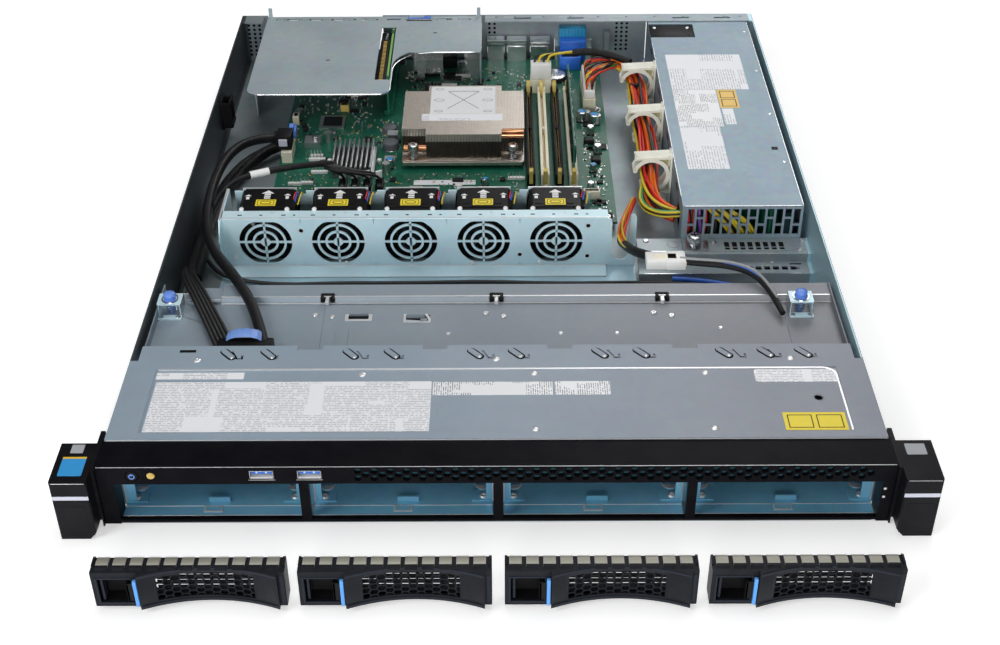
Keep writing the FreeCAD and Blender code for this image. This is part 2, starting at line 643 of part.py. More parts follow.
def fanCage():
    body = newBody("fan_cage")
    y = s.cage_front
    t = s.cage_wall
    floor = s.sheet
    top = s.cage_top
    axis = floor + s.gap + s.fan_size / 2
    pad(body, "XZ", y, y + t, rect(s.cage_left, floor, s.cage_right, top))
    outer = s.fan_size / 2 - s.ring_clear
    wide = outer - s.ring_gap
    small = wide - s.ring_bar - s.ring_gap
    boss = small - s.ring_bar - s.ring_gap
    hole = cut(body, "XZ", y - 1, y + t + 1, faceted(s.fan_first, axis, outer, 16))
    rings = pad(body, "XZ", y, y + t, faceted(s.fan_first, axis, wide, 14),
                faceted(s.fan_first, axis, wide - s.ring_bar, 14), faceted(s.fan_first, axis, small, 10),
                faceted(s.fan_first, axis, small - s.ring_bar, 10), faceted(s.fan_first, axis, boss, 6))
    b = s.grille_bar / 2
    r = outer + s.gap
    x = s.fan_first
    cross = pad(body, "XZ", y, y + t,
                poly([(x - b, axis - r), (x + b, axis - r), (x + b, axis - b), (x + r, axis - b),
                      (x + r, axis + b), (x + b, axis + b), (x + b, axis + r), (x - b, axis + r),
                      (x - b, axis + b), (x - r, axis + b), (x - r, axis - b), (x - b, axis - b)]))
    repeat(body, [hole, rings, cross], "X_Axis", s.fan_pitch, 5)
    # top ledge, floor ledge in front, and the open back wall
    right = s.cut_left - 3
    pad(body, "XY", top - t, top, rect(s.cage_left, y + t, right, s.fan_front - s.gap))
    pad(body, "XY", floor, floor + 0.8, rect(s.cage_left + 4, y - 14, right, y))
    rear = s.cage_rear
    pad(body, "XZ", rear, rear + t, rect(s.cage_left, floor, right, top))
    pad(body, "XY", floor, floor + 0.2, rect(s.cage_left, y, right, rear))
    half = s.fan_size / 2 - 2
    duct = cut(body, "XZ", rear - 1, rear + t + 1,
               rect(s.fan_first - half, axis - half, s.fan_first + half, axis + half - 1))
    repeat(body, [duct], "X_Axis", s.fan_pitch, 5)
    pad(body, "YZ", s.cage_left - t, s.cage_left,
        poly([(y - 8, floor), (rear + t, floor), (rear + t, top), (y - 2, top), (y - 8, top - 12)]))
    # U cut that the supply's leads pass through
    cut(body, "XZ", y - 1, y + t + 1, slot(s.cut_left, 12, s.cut_left + s.cut_width, top + s.cut_width))


def fanFrames():
    body = newBody("fan_frames")
    half = s.fan_size / 2
    low = s.sheet + s.gap
    axis = low + half
    x = s.fan_first
    front, rear = s.fan_front, s.fan_front + s.fan_depth
    c = 3.0
    shell = pad(body, "XZ", front, rear,
                poly([(x - half + c, low), (x + half - c, low), (x + half, low + c),
                      (x + half, low + s.fan_size - c), (x + half - c, low + s.fan_size),
                      (x - half + c, low + s.fan_size), (x - half, low + s.fan_size - c),
                      (x - half, low + c)]))
    duct = cut(body, "XZ", front - 1, rear + 1, faceted(x, axis, ductRadius(), 16))
    r = ductRadius() + 0.4
    b = s.strut / 2
    spider = pad(body, "XZ", rear - s.hub_floor, rear,
                 poly([(x - b, axis - r), (x + b, axis - r), (x + b, axis - b), (x + r, axis - b),
                       (x + r, axis + b), (x + b, axis + b), (x + b, axis + r), (x - b, axis + r),
                       (x - b, axis + b), (x - r, axis + b), (x - r, axis - b), (x - b, axis - b)]))
    hub = pad(body, "XZ", rear - s.hub_floor, rear, faceted(x, axis, s.hub_radius, 12))
    bore = cut(body, "XZ", rear - s.hub_floor - 1, rear + 1, circle(x, axis, s.shaft_radius + s.shaft_play))
    repeat(body, [shell, duct, spider, hub, bore], "X_Axis", s.fan_pitch, 5)


def fanRotor(index):
    # hub cup with seven pitched blades; its shaft runs in the bore of the frame's hub
    body = newBody("fan_rotor_%d" % (index + 1), fanX(index), s.fan_front, s.sheet + s.gap + s.fan_size / 2)
    back = s.fan_depth - s.hub_floor - s.gap
    hub = s.hub_radius
    pad(body, "XZ", 4, back, faceted(0, 0, hub, 14))
    pad(body, "XZ", 3, 4, faceted(0, 0, hub - 1, 14))
    pad(body, "XZ", back, s.fan_depth, circle(0, 0, s.shaft_radius))
    blade = pad(body, "YZ", hub - 3, ductRadius() - s.blade_gap,
                poly([(5, 5.6), (6, 6.6), (14, 1.8), (back - 1, -5.2), (back - 2, -6.2), (12.6, 0.6)]))
    spin(body, [blade], "Y_Axis", 7)


# ---- system board

def motherboard():
    body = newBody("motherboard")
    low = s.board_top - s.board_sheet
    pad(body, "XY", low, s.board_top,
        poly([(s.board_left, s.board_front), (s.board_right, s.board_front), (s.board_right, s.board_rear),
              (s.board_left + 36, s.board_rear), (s.board_left + 36, s.board_rear - 22),
              (s.board_left, s.board_rear - 22)]))
    # processor socket and the slot that takes the riser
    mid = (s.sink_left + s.sink_right) / 2
    pad(body, "XY", s.board_top, s.sink_seat - s.gap, rect(mid - 24, 398, mid + 24, 443))
    pad(body, "XY", s.board_top, s.board_top + 4, rect(s.riser_card_x - 3, 462, s.riser_card_x + 4.6, 548))


def cpuHeatsink():
    body = newBody("cpu_heatsink")
    left, right, front, rear = s.sink_left, s.sink_right, s.sink_front, s.sink_rear
    base = s.sink_seat + s.sink_base
    pad(body, "XY", s.sink_seat, base, rect(left, front, right, rear))
    corner = s.screw_inset * 2
    step = 14.0
    # cross-shaped fin stack that leaves the four screws free
    pad(body, "XY", base, s.sink_top,
        poly([(left, front + step), (left + corner, front + step), (left + corner, front + 5),
              (right - corner, front + 5), (right - corner, front + step), (right, front + step),
              (right, rear - step), (right - corner, rear - step), (right - corner, rear - 5),
              (left + corner, rear - 5), (left + corner, rear - step), (left, rear - step)]))
    channel = cut(body, "XZ", front - 1, rear + 1,
                  rect(left + 0.7, base + 0.4, left + 0.7 + s.fin_gap, s.sink_top - 0.6))
    repeat(body, [channel], "X_Axis", s.fin_pitch, 40)
    holes = [faceted(x, y, 2.0, 8) for x in (left + s.screw_inset, right - s.screw_inset)
             for y in (front + 6, rear - 6)]
    cut(body, "XY", s.sink_seat - 1, base + 1, *holes)


def heatsinkScrews():
    # shank, spring and head of each of the four captive screws
    body = newBody("heatsink_screws")
    base = s.sink_seat + s.sink_base
    top = s.screw_head_top
    spots = [(x, y) for x in (s.sink_left + s.screw_inset, s.sink_right - s.screw_inset)
             for y in (s.sink_front + 6, s.sink_rear - 6)]
    pad(body, "XY", s.board_top, top - 4, *[faceted(x, y, 1.7, 8) for x, y in spots])
    pad(body, "XY", top - 4, top, *[faceted(x, y, s.screw_head_radius, 12) for x, y in spots])


def boardComponents():
    # chipset heatsink, coils, capacitors and the larger chips, each its own solid
    body = newBody("board_components")
    z = s.board_top
    x, y = -125, 362
    pad(body, "XY", z, z + 3, rect(x, y, x + 32, y + 44))
    fins = [rect(x + 3.6 * i, y, x + 3.6 * i + 1.1, y + 44) for i in range(9)]
    pad(body, "XY", z + 3, z + 10, *fins)
    pad(body, "XY", z, z + 1.4, rect(-142, 439, -122, 459), rect(-60, 500, -46, 514), rect(-44, 520, -30, 534))
    pad(body, "XY", z, z + 5, rect(-150, 408, -138, 420), rect(-86, 380, -78, 388), rect(-86, 420, -78, 428))
    tops = [faceted(cx, cy, 3, 10) for cx, cy in ((-132, 420), (-84, 372), (-28, 340), (72, 452), (80, 446))]
    pad(body, "XY", z, z + 8, *tops)


def dimmX(index):
    return s.dimm_first + s.dimm_pitch * index


def dimmSockets():
    body = newBody("dimm_sockets")
    half = s.dimm_width / 2
    z = s.board_top
    high = z + s.dimm_height
    x = s.dimm_first
    front, rear = s.dimm_front, s.dimm_front + s.dimm_length
    block = pad(body, "XY", z, high, rect(x - half, front, x + half, rear))
    edge = (s.dimm_length - s.module_length) / 2 - 0.2
    groove = cut(body, "XY", high - 5.5, high + 1, rect(x - 0.9, front + edge, x + 0.9, rear - edge))
    seat = s.latch_width / 2 + s.gap
    ends = cut(body, "XY", z + 2, high + 1, rect(x - seat, front - 1, x + seat, front + 5.6),
               rect(x - seat, rear - 5.6, x + seat, rear + 1))
    # the latches' pins turn in holes through both cheeks
    pivots = cut(body, "YZ", x - half - 1, x + half + 1,
                 *[faceted(y, z + s.latch_pivot_up, s.latch_pin + 0.12, 8)
                   for y in (front + s.latch_pivot_in, rear - s.latch_pivot_in)])
    repeat(body, [block, groove, ends, pivots], "X_Axis", s.dimm_pitch, 4)


def dimmLatch(index, end):
    # ejector that pivots on a cross pin low in the socket's end
    front = end == "front"
    y = s.dimm_front if front else s.dimm_front + s.dimm_length
    body = newBody("dimm_latch_%s_%d" % (end, index + 1), dimmX(index), y, s.board_top)
    half = s.latch_width / 2
    way = 1 if front else -1
    outline = [(0.6, 2.8), (3.2, 2.8), (3.9, 4.4), (3.9, 13.8), (2.6, 15.6), (-1.4, 15.6), (-1.8, 13.6),
               (0.2, 12.4)]
    pad(body, "YZ", -half, half, poly([(y0 * way, z0) for y0, z0 in outline]))
    pin = s.dimm_width / 2 - 1.0
    pad(body, "YZ", -pin, pin, circle(s.latch_pivot_in * way, s.latch_pivot_up, s.latch_pin))


def memoryModule():
    body = newBody("memory_module")
    x = dimmX(3)
    front = s.dimm_front + (s.dimm_length - s.module_length) / 2
    low = s.board_top + s.dimm_height - 5.2
    high = low + s.module_height
    pad(body, "YZ", x - 0.6, x + 0.6,
        poly([(front, low), (front + s.module_length, low), (front + s.module_length, high), (front, high)]))
    chips = [rect(front + 6 + 13.6 * i, high - 18, front + 15 + 13.6 * i, high - 6) for i in range(9)]
    pad(body, "YZ", x + 0.6, x + 1.7, *chips)


def boardSockets():
    # supply sockets with their plugs' shrouds, and the row of drive sockets
    body = newBody("board_sockets")
    z = s.board_top
    pad(body, "XY", z, z + 12, rect(69.5, 464, 79.5, 515), rect(27.5, 499, 45, 509))
    pad(body, "XY", z, z + 7, *[rect(-116 + 9 * i, 330, -111 + 9 * i, 347) for i in range(4)])
    pad(body, "XY", z, z + 9, rect(-165, 386, -157, 408))


def rearPorts():
    body = newBody("rear_ports")
    depth = (16, 14, 14, 18, 18, 15)
    for back, (left, right, low, high) in zip(depth, portFaces()):
        pad(body, "XZ", s.case_depth - back, s.case_depth, rect(left, low, right, high))
    for left, right in ((-28, -14), (-8, 6)):
        z = s.board_top
        cut(body, "XZ", s.case_depth - 10, s.case_depth + 1, rect(left + 1, z + 1.4, right - 1, z + 6.4),
            rect(left + 1, z + 8.6, right - 1, z + 13.6))
    cut(body, "XZ", s.case_depth - 11, s.case_depth + 1,
        *[rect(left + 2, s.board_top + 2, left + 14, s.board_top + 11) for left in (9, 29)])


# ---- riser

def riserCage():
    body = newBody("riser_cage")
    low = s.riser_top - s.riser_sheet
    rear = s.case_depth - s.sheet - s.gap
    left, right, arm = s.riser_left, s.riser_right, s.riser_arm
    front, shelf = s.riser_front, s.riser_shelf
    pad(body, "XY", low, s.riser_top,
        poly([(left, front), (shelf, front), (shelf, arm - 30), (shelf + 12, arm), (right, arm), (right, rear),
              (left, rear)], {2: (32.0, -1)}))
    roundEdges(body, s.riser_round, lambda e: upright(e, y=front))
    cut(body, "XY", low - 1, s.riser_top + 1, rect(s.riser_card_x - 9, 457, s.riser_card_x + 3, 554))
    slots = [rect(left + 14 + 22 * i, rear - 7, left + 26 + 22 * i, rear - 4) for i in range(7)]
    cut(body, "XY", low - 1, s.riser_top + 1, *slots)
    # legs that carry the plate, and the two locating tabs above the rear edge
    pad(body, "YZ", left, left + s.riser_sheet, rect(front + 40, s.sheet + s.gap, rear, low))
    pad(body, "YZ", right - s.riser_sheet, right, rect(arm + 8, s.board_top + s.gap, rear - 24, low))
    tabs = [rect(x, rear - 1.2, x + 3, rear) for x in (left + 1, right - 4)]
    pad(body, "XY", s.riser_top, s.riser_top + 8, *tabs)
    # moulded touch points
    pad(body, "XY", s.riser_top, s.riser_top + 0.8, rect(-98, front + 0.5, -84 - 3, front + 5))
    pad(body, "XY", s.riser_top, s.riser_top + 1.2, rect(-75, rear - 3, -62, rear))


def riserCard():
    body = newBody("riser_card")
    x = s.riser_card_x
    low = s.board_top + 4 + s.gap
    high = s.riser_top - s.riser_sheet - 0.4
    pad(body, "YZ", x, x + 1.6, rect(458, low, 552, high))
    pad(body, "YZ", x - 8.5, x, rect(462, high - 12, 548, high - 4.5))
    cut(body, "YZ", x - 9, x - 1.5, rect(464, high - 9, 546, high - 7.4))
    pad(body, "XY", high - 0.2, high + 0.4, rect(x, 460, x + 1.6, 466), rect(x, 544, x + 1.6, 550))


# ---- power supply

def psuCase():
    body = newBody("psu_case")
    left, right, front, rear = s.supply_left, s.supply_right, s.supply_front, s.supply_rear
    low, top, t = s.supply_low, s.supply_top, s.supply_sheet
    pad(body, "XY", low, top, rect(left, front, right, rear))
    cut(body, "XY", low + t, top - t, rect(left + t, front + t, right - t, rear - t))
    pitch = s.grille_pitch
    x = left + 4
    width = s.grille_slot
    middle = (s.grille_low + top - 2) / 2
    evens = cut(body, "XZ", front - 1, front + t + 1, rect(x, s.grille_low, x + width, middle - 3.5),
                rect(x, middle - 2, x + width, top - 2.4))
    repeat(body, [evens], "X_Axis", pitch * 2, 7)
    odds = cut(body, "XZ", front - 1, front + t + 1,
               rect(x + pitch, s.grille_low, x + pitch + width, middle + 2),
               rect(x + pitch, middle + 3.5, x + pitch + width, top - 2.4))
    repeat(body, [odds], "X_Axis", pitch * 2, 6)
    # window over the rear corner, lead exit in the side, and the rear openings
    cut(body, "XY", top - t - 1, top + 1, rect(left - 1, 532, left + 37, 558))
    cut(body, "YZ", left - 1, left + t + 1, rect(front + 12, 12, front + 34, 30))
    cut(body, "XZ", rear - t - 1, rear + 1, rect(left + 12.8, 8.8, left + 41.2, 29.2))
    vents = cut(body, "XZ", rear - t - 1, rear + 1, rect(left + 49, 8, left + 52, 36))
    repeat(body, [vents], "X_Axis", 5.2, 6)


def psuBoard():
    # circuit board, coils, capacitors and the cover under the case's window
    body = newBody("psu_board")
    left, right, front = s.supply_left, s.supply_right, s.supply_front
    floor = s.supply_low + s.supply_sheet
    pad(body, "XY", floor + s.gap, floor + 2, rect(left + 3, front + 6, right - 3, s.supply_rear - 30))
    z = floor + 2
    pad(body, "XY", z, z + 22, rect(left + 44, front + 40, right - 8, front + 80),
        rect(left + 8, front + 100, left + 40, front + 150))
    pad(body, "XY", z, z + 30, faceted(right - 18, front + 24, 7, 12), faceted(left + 18, front + 62, 9, 12))
    pad(body, "XY", s.supply_top - 6, s.supply_top - 2.5, rect(left + 2, 531, left + 38, 559))
    pad(body, "XY", z, s.supply_top - 6, rect(left + 14, 531, left + 24, 537))


def acInlet():
    body = newBody("ac_inlet")
    left = s.supply_left + 13
    rear = s.supply_rear
    pad(body, "XZ", rear - 20, rear + 0.5, rect(left, 9, left + 28, 29))
    cut(body, "XZ", rear - 16, rear + 1,
        poly([(left + 2, 11), (left + 26, 11), (left + 26, 22.5), (left + 21.5, 27), (left + 6.5, 27),
              (left + 2, 22.5)]))
    pad(body, "XZ", rear - 16, rear - 6, rect(left + 6, 15, left + 8, 19), rect(left + 20, 15, left + 22, 19),
        rect(left + 13, 20, left + 15, 24))


def psuBracket():
    # stepped shelf that stops the supply, with the tab for its thumbscrew
    body = newBody("psu_bracket")
    t = s.sheet
    f = s.bracket_front
    rear = s.supply_front - s.gap
    right = s.case_width / 2 - t
    lo, hi = s.bracket_low, s.bracket_high
    pad(body, "YZ", s.cage_right + s.gap + 1, right,
        poly([(f, s.sheet), (f, lo), (f + 14, lo), (f + 14, hi), (rear, hi), (rear, hi - t), (f + 14 + t, hi - t),
              (f + 14 + t, lo - t), (f + t, lo - t), (f + t, s.sheet)]))
    holes = [rect(160 + 6 * i, f + 5, 164 + 6 * i, f + 9) for i in range(8)]
    cut(body, "XY", lo - t - 1, lo + 1, *holes)
    cut(body, "XY", hi - t - 1, hi + 1, circle(s.thumb_x, s.thumb_y, 1.9))


def thumbscrew():
    # ribbed head on a waist, and the shank that turns in the shelf's hole
    body = newBody("psu_thumbscrew", s.thumb_x, s.thumb_y, s.bracket_high)
    r = s.thumb_radius
    pad(body, "XY", -5, 0, circle(0, 0, 1.6))
    pad(body, "XY", 0, 2, faceted(0, 0, r - 1.2, 10))
    pad(body, "XY", 2, s.thumb_height - 0.8, faceted(0, 0, r, 14))
    pad(body, "XY", s.thumb_height - 0.8, s.thumb_height, faceted(0, 0, r - 0.8, 14))


def cableClips():
    # nylon hoops beside the supply that hold its leads, and the guide on the left wall
    body = newBody("cable_clips")
    x, z, y = s.clip_x, s.clip_z, s.clip_first
    d = s.clip_depth / 2
    hoop = pad(body, "XZ", y - d, y + d, faceted(x, z, s.clip_outer, 12), faceted(x, z, s.clip_inner, 12))
    mouth = cut(body, "XZ", y - d - 1, y + d + 1,
                poly([(x, z + 4), (x - s.clip_outer, z + 5), (x - s.clip_outer, z + 11), (x, z + 6)]))
    back = s.supply_left - s.gap
    plate = pad(body, "XZ", y - d, y + d,
                rect(back - 1.6, s.sheet + s.gap, back, s.clip_z + s.clip_outer + 1))
    arm = pad(body, "XZ", y - 2, y + 2, rect(x + s.clip_outer - 1.5, z + 2, back - 1, z + 8))
    repeat(body, [hoop, mouth, plate, arm], "Y_Axis", s.clip_pitch, 3)
    wall = -(s.case_width / 2 - s.sheet)
    pad(body, "XY", 12, 38, poly([(wall, 430), (wall + 9, 430), (wall + 9, 446), (wall, 446)]))
    cut(body, "XY", 11, 39, rect(wall + 2, 432, wall + 7, 444))


# ---- cables: straight runs joined by tangent arcs, five-sided in section

def tube(points, radius):
    spots = [Vector(*point) for point in points]
    start = spots[0]
    way = (spots[1] - start).normalize()
    side = way.cross(Vector(0, 0, 1) if abs(way.z) < 0.9 else Vector(1, 0, 0)).normalize()
    corners = [start + Rotation(way, 72 * turn).multVec(side * radius) for turn in range(5)]
    section = Part.Face(Part.makePolygon(corners + corners[:1]))
    area = section.Area
    solids = []
    radii = []
    length = 0.0

    def straight(section, run):
        solids.append(section.extrude(run))
        return section.translated(run)

    here = start
    for before, bend, after in zip(spots, spots[1:], spots[2:]):
        inward = (bend - before).normalize()
        onward = (after - bend).normalize()
        turn = inward.getAngle(onward)
        reach = 0.45 * min((bend - before).Length, (after - bend).Length)
        radius = reach / math.tan(turn / 2)
        radii.append(radius)
        section = straight(section, bend - inward * reach - here)
        length += (bend - inward * reach - here).Length + radius * turn
        axis = inward.cross(onward).normalize()
        centre = bend - inward * reach + axis.cross(inward) * radius
        solids.append(section.revolve(centre, axis, math.degrees(turn)))
        section = section.rotated(centre, axis, math.degrees(turn))
        here = bend + onward * reach
    straight(section, spots[-1] - here)
    length += (spots[-1] - here).Length
    solid = solids[0].multiFuse(solids[1:]).removeSplitter()
    print("  length %.0f, bends %s, volume ratio %.4f" % (
        length, " ".join("%.0f" % value for value in radii), solid.Volume / (area * length)))
    return solid


def cable(name, runs, plugs):
    print(name)
    pieces = [tube(points, radius) for points, radius in runs]
    for low, high in plugs:
        size = [b - a for a, b in zip(low, high)]
        pieces.append(Part.makeBox(size[0], size[1], size[2], Vector(*low)))
    feature = doc.addObject("Part::Feature", name)
    feature.Label = name
    feature.Shape = Part.Compound(pieces[0].multiFuse(pieces[1:]).Solids)
    nodes.append(feature)


frontRun = [(-166, 397, 24), (-186, 391, 27), (-201, 362, 30), (-205.5, 318, 30), (-203, 270, 29),
            (-190, 224, 35), (-170, 188, 40), (-151, 152, 38), (-142, 118, 36)]
driveRun = [(-210, 236, 12), (-207, 214, 24), (-198, 188, 35), (-184, 158, 36), (-166, 118, 35)]
dataRun = [(-196, 298, 33), (-190, 308, 39), (-166, 320, 39.5), (-136, 331, 39), (-112, 341, 34),
           (-102, 342, 19)]
supplyRun = [(127, 290, 20), (115, 295, 21), (110, 318, 24), (112.5, 352, 26), (114, 392, 26), (112, 430, 27),
             (113.5, 466, 26), (111.5, 492, 28), (101, 508, 32), (86, 508, 33), (76, 496, 27)]
lidRun = [(109, 497, 36.6), (94, 508, 38.6), (70, 515, 38.6), (48, 511, 34), (37, 504, 27)]
panelRun = [(100, 318, 16), (92, 292, 18), (85.5, 262, 22), (86, 236, 30), (96, 212, 38), (124, 201, 39),
            (156, 197, 39.2), (174, 180, 38.8), (180, 150, 35)]


def cables():
    cable("front_cables", [(frontRun, 3.8), (driveRun, 3.4)],
          [((-168.5, 389, 17.5), (-157, 404, 31)), ((-170, 110, 32), (-136, 122, 40))])
    cable("drive_data_cable", [(dataRun, 2.6)], [((-117, 331, 15.3), (-84, 346, 19))])
    cable("power_harness", [(supplyRun, 5.0), (lidRun, 2.6)],
          [((70, 466, 20.3), (79, 513, 27)), ((28, 500, 20.3), (44.5, 508.5, 27))])
    cable("panel_cable", [(panelRun, 2.4)], [((98, 199, 35), (124, 211, 42))])


# ---- bay fillers

def filler(index):
    body = newBody("filler_%d" % (index + 1), bayCentre(index), s.filler_rest, s.sill_height + s.gap)
    half = s.bay_width / 2 - s.filler_gap
    depth, height, w = s.filler_depth, s.filler_height, s.filler_wall
    step, sag = s.filler_step, s.handle_sag
    x1, x2 = s.handle_start, s.handle_end
    span = x2 - x1
    bow = (span * span / 4 + sag * sag) / (sag * 2)
    pad(body, "XY", 0, height,
        poly([(-half, step), (x1, step), (x1, 0), (x2, 0), (x2, step), (half, step), (half, depth),
              (-half, depth)], {2: (bow, -1)}))
    inside = span - w * 2
    innerBow = (inside * inside / 4 + sag * sag) / (sag * 2)
    cut(body, "XY", w, height - w,
        poly([(-half + w, step + w), (x1 + w, step + w), (x1 + w, w), (x2 - w, w), (x2 - w, step + w),
              (half - w, step + w), (half - w, depth + 1), (-half + w, depth + 1)], {2: (innerBow, -1)}))
    # finger pocket beside the handle, and the grille's window in the curved wall
    cut(body, "XZ", step - 1, step + w + 1, rect(-half + 3.2, 3, x1 - 3.4, height - 5))
    cut(body, "XZ", -1, depth - w, rect(x1 + 9, 4, x2 - 13, height - 4))
    tip = height + s.finger_rise
    finger = pad(body, "YZ", -half + 2.4, -half + 2.4 + s.finger_width,
                 poly([(4.4, height), (6, tip), (11.5, tip), (depth - 0.4, height)]))
    repeat(body, [finger], "X_Axis", s.finger_pitch, 11)


def fillerLatch(index):
    # strip at the handle's end that unhooks the filler when it is pushed to the left
    body = newBody("filler_latch_%d" % (index + 1), bayCentre(index), s.filler_rest, s.sill_height + s.gap)
    x = s.handle_start - s.gap
    pad(body, "XY", 2, s.filler_height - 4.2, rect(x - 2.2, 0.2, x, s.filler_step - s.gap))
    pad(body, "XY", 5, s.filler_height - 7,
        rect(x - 6, s.filler_step - s.gap - 1.2, x - 2.2, s.filler_step - s.gap))
    pad(body, "XY", 5, s.filler_height - 7,
        rect(x - 6, s.filler_step - s.gap - 1.2, x - 4.6, s.filler_step + s.filler_wall + 1.4))


basePan()
rearPanel()
frontCover()
bezel()
ear("ear_left", -1)
ear("ear_right", 1)
rackLatch("rack_latch_left", -1)
rackLatch("rack_latch_right", 1)
operatorPanel()
pushButton("power_button", s.power_x, s.power_radius)
pushButton("locator_button", s.locator_x, s.locator_radius)
driveDeck()
bayDividers()
backplane()
plungerBrackets()
plunger("plunger_left", s.plunger_left_x)
plunger("plunger_right", s.plunger_right_x)
fanCage()
fanFrames()
for number in range(5):
    fanRotor(number)
motherboard()
cpuHeatsink()
heatsinkScrews()
boardComponents()
dimmSockets()
memoryModule()
for number in range(4):
    dimmLatch(number, "front")
    dimmLatch(number, "rear")
boardSockets()
rearPorts()
riserCage()
riserCard()
psuCase()
psuBoard()
acInlet()
psuBracket()
thumbscrew()
cableClips()
cables()
for number in range(4):
    filler(number)
    fillerLatch(number)
doc.recompute()

# nothing is written unless every object is sound and every cut has cut
faults = []
for item in doc.Objects:
    if "Invalid" in item.State or "Error" in item.State:
        faults.append("%s is %s" % (item.Label, item.State))
    if item.TypeId == "PartDesign::Pocket" and not faults:
        if item.Shape.Volume > item.BaseFeature.Shape.Volume - 1e-3:
            faults.append("%s in %s cuts nothing" % (item.Name, item.getParentGeoFeatureGroup().Label))
for node in nodes:
    if node.Shape.isNull() or not node.Shape.isValid():
        faults.append(node.Label + " has no valid shape")
if faults:
    raise RuntimeError("; ".join(faults))

os.makedirs("parts", exist_ok=True)
for node in nodes:
    node.Shape.exportStep("parts/%s.step" % node.Label)
print(len(nodes), "parts written")
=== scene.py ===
import math
import random
import bmesh
import bpy
from mathutils import Matrix, Vector


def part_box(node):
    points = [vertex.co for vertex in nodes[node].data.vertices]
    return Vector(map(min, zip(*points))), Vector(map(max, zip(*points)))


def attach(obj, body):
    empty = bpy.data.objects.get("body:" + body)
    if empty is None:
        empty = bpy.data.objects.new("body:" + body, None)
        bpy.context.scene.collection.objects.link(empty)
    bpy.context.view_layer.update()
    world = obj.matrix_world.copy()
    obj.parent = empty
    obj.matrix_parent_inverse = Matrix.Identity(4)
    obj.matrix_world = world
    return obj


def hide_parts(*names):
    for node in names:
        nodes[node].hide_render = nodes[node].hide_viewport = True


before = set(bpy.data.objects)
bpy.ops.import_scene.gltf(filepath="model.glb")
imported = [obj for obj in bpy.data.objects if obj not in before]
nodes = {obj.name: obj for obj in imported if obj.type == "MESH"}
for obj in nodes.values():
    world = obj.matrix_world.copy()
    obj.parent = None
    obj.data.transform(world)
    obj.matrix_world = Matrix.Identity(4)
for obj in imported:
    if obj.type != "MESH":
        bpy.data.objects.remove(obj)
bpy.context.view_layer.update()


def corners(node):
    low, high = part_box(node)
    return low * 1000, high * 1000


def numbered(name, count):
    return [name % number for number in range(1, count + 1)]


print("frame loaded:", len(nodes), "nodes")

# camera, lamps and floor

view = {"place": (3.85, -600.95, 581.85), "pitch": 36.371, "yaw": -0.124, "roll": -0.307, "lens": 53.2,
        "film": 36.0}
studio = {"floor": (0.90, 0.90, 0.90), "floorGlow": 0.42, "floorSize": 8.0, "sky": 0.62, "horizon": 0.34}
lamps = {
    "overhead": {"place": (0.1, 0.5, 1.9), "aim": (0, 0.25, 0), "size": 1.6, "power": 17},
    "keyLeft": {"place": (-1.3, -0.9, 1.5), "aim": (0, 0.15, 0), "size": 0.9, "power": 15},
    "frontLow": {"place": (0.0, -1.5, 0.42), "aim": (0, 0, 0.015), "size": 0.8, "power": 18},
    "rearStrip": {"place": (0.5, 2.0, 1.2), "aim": (0.1, 0.3, 0), "size": 0.8, "power": 9},
}


def makeCamera():
    pitch, yaw, roll = (math.radians(view[key]) for key in ("pitch", "yaw", "roll"))
    ahead = Vector((math.sin(yaw) * math.cos(pitch), math.cos(yaw) * math.cos(pitch), -math.sin(pitch)))
    right = Vector((math.cos(yaw), -math.sin(yaw), 0))
    up = right.cross(ahead)
    right, up = right * math.cos(roll) + up * math.sin(roll), up * math.cos(roll) - right * math.sin(roll)
    data = bpy.data.cameras.new("camera")
    data.lens, data.sensor_width = view["lens"], view["film"]
    data.clip_start = 0.01
    camera = bpy.data.objects.new("camera", data)
    camera.matrix_world = Matrix.Translation(Vector(view["place"]) / 1000) @ \
        Matrix((right, up, -ahead)).transposed().to_4x4()
    bpy.context.scene.collection.objects.link(camera)
    bpy.context.scene.camera = camera


def makeLamps():
    for name, lamp in lamps.items():
        data = bpy.data.lights.new(name, "AREA")
        data.shape, data.size, data.energy = "SQUARE", lamp["size"], lamp["power"]
        thing = bpy.data.objects.new(name, data)
        place = Vector(lamp["place"])
        thing.matrix_world = Matrix.Translation(place) @ \
            (Vector(lamp["aim"]) - place).to_track_quat("-Z", "Y").to_matrix().to_4x4()
        bpy.context.scene.collection.objects.link(thing)


# shader graph: sockets that can be added and multiplied

class Field:
    def __init__(self, graph, socket):
        self.graph = graph
        self.socket = socket

    def math(self, operation, other, flipped=False):
        first, second = (other, self) if flipped else (self, other)
        return self.graph.node("Math", {"operation": operation}, {0: first, 1: second})

    def __add__(self, other):
        return self.math("ADD", other)

    def __radd__(self, other):
        return self.math("ADD", other, True)

    def __sub__(self, other):
        return self.math("SUBTRACT", other)

    def __rsub__(self, other):
        return self.math("SUBTRACT", other, True)

    def __mul__(self, other):
        return self.math("MULTIPLY", other)

    def __rmul__(self, other):
        return self.math("MULTIPLY", other, True)

    def __truediv__(self, other):
        return self.math("DIVIDE", other)

    def __gt__(self, other):
        return self.math("GREATER_THAN", other)

    def __lt__(self, other):
        return self.math("LESS_THAN", other)

    def __mod__(self, other):
        return self.math("FLOORED_MODULO", other)

    def __abs__(self):
        return self.math("ABSOLUTE", 0.0)


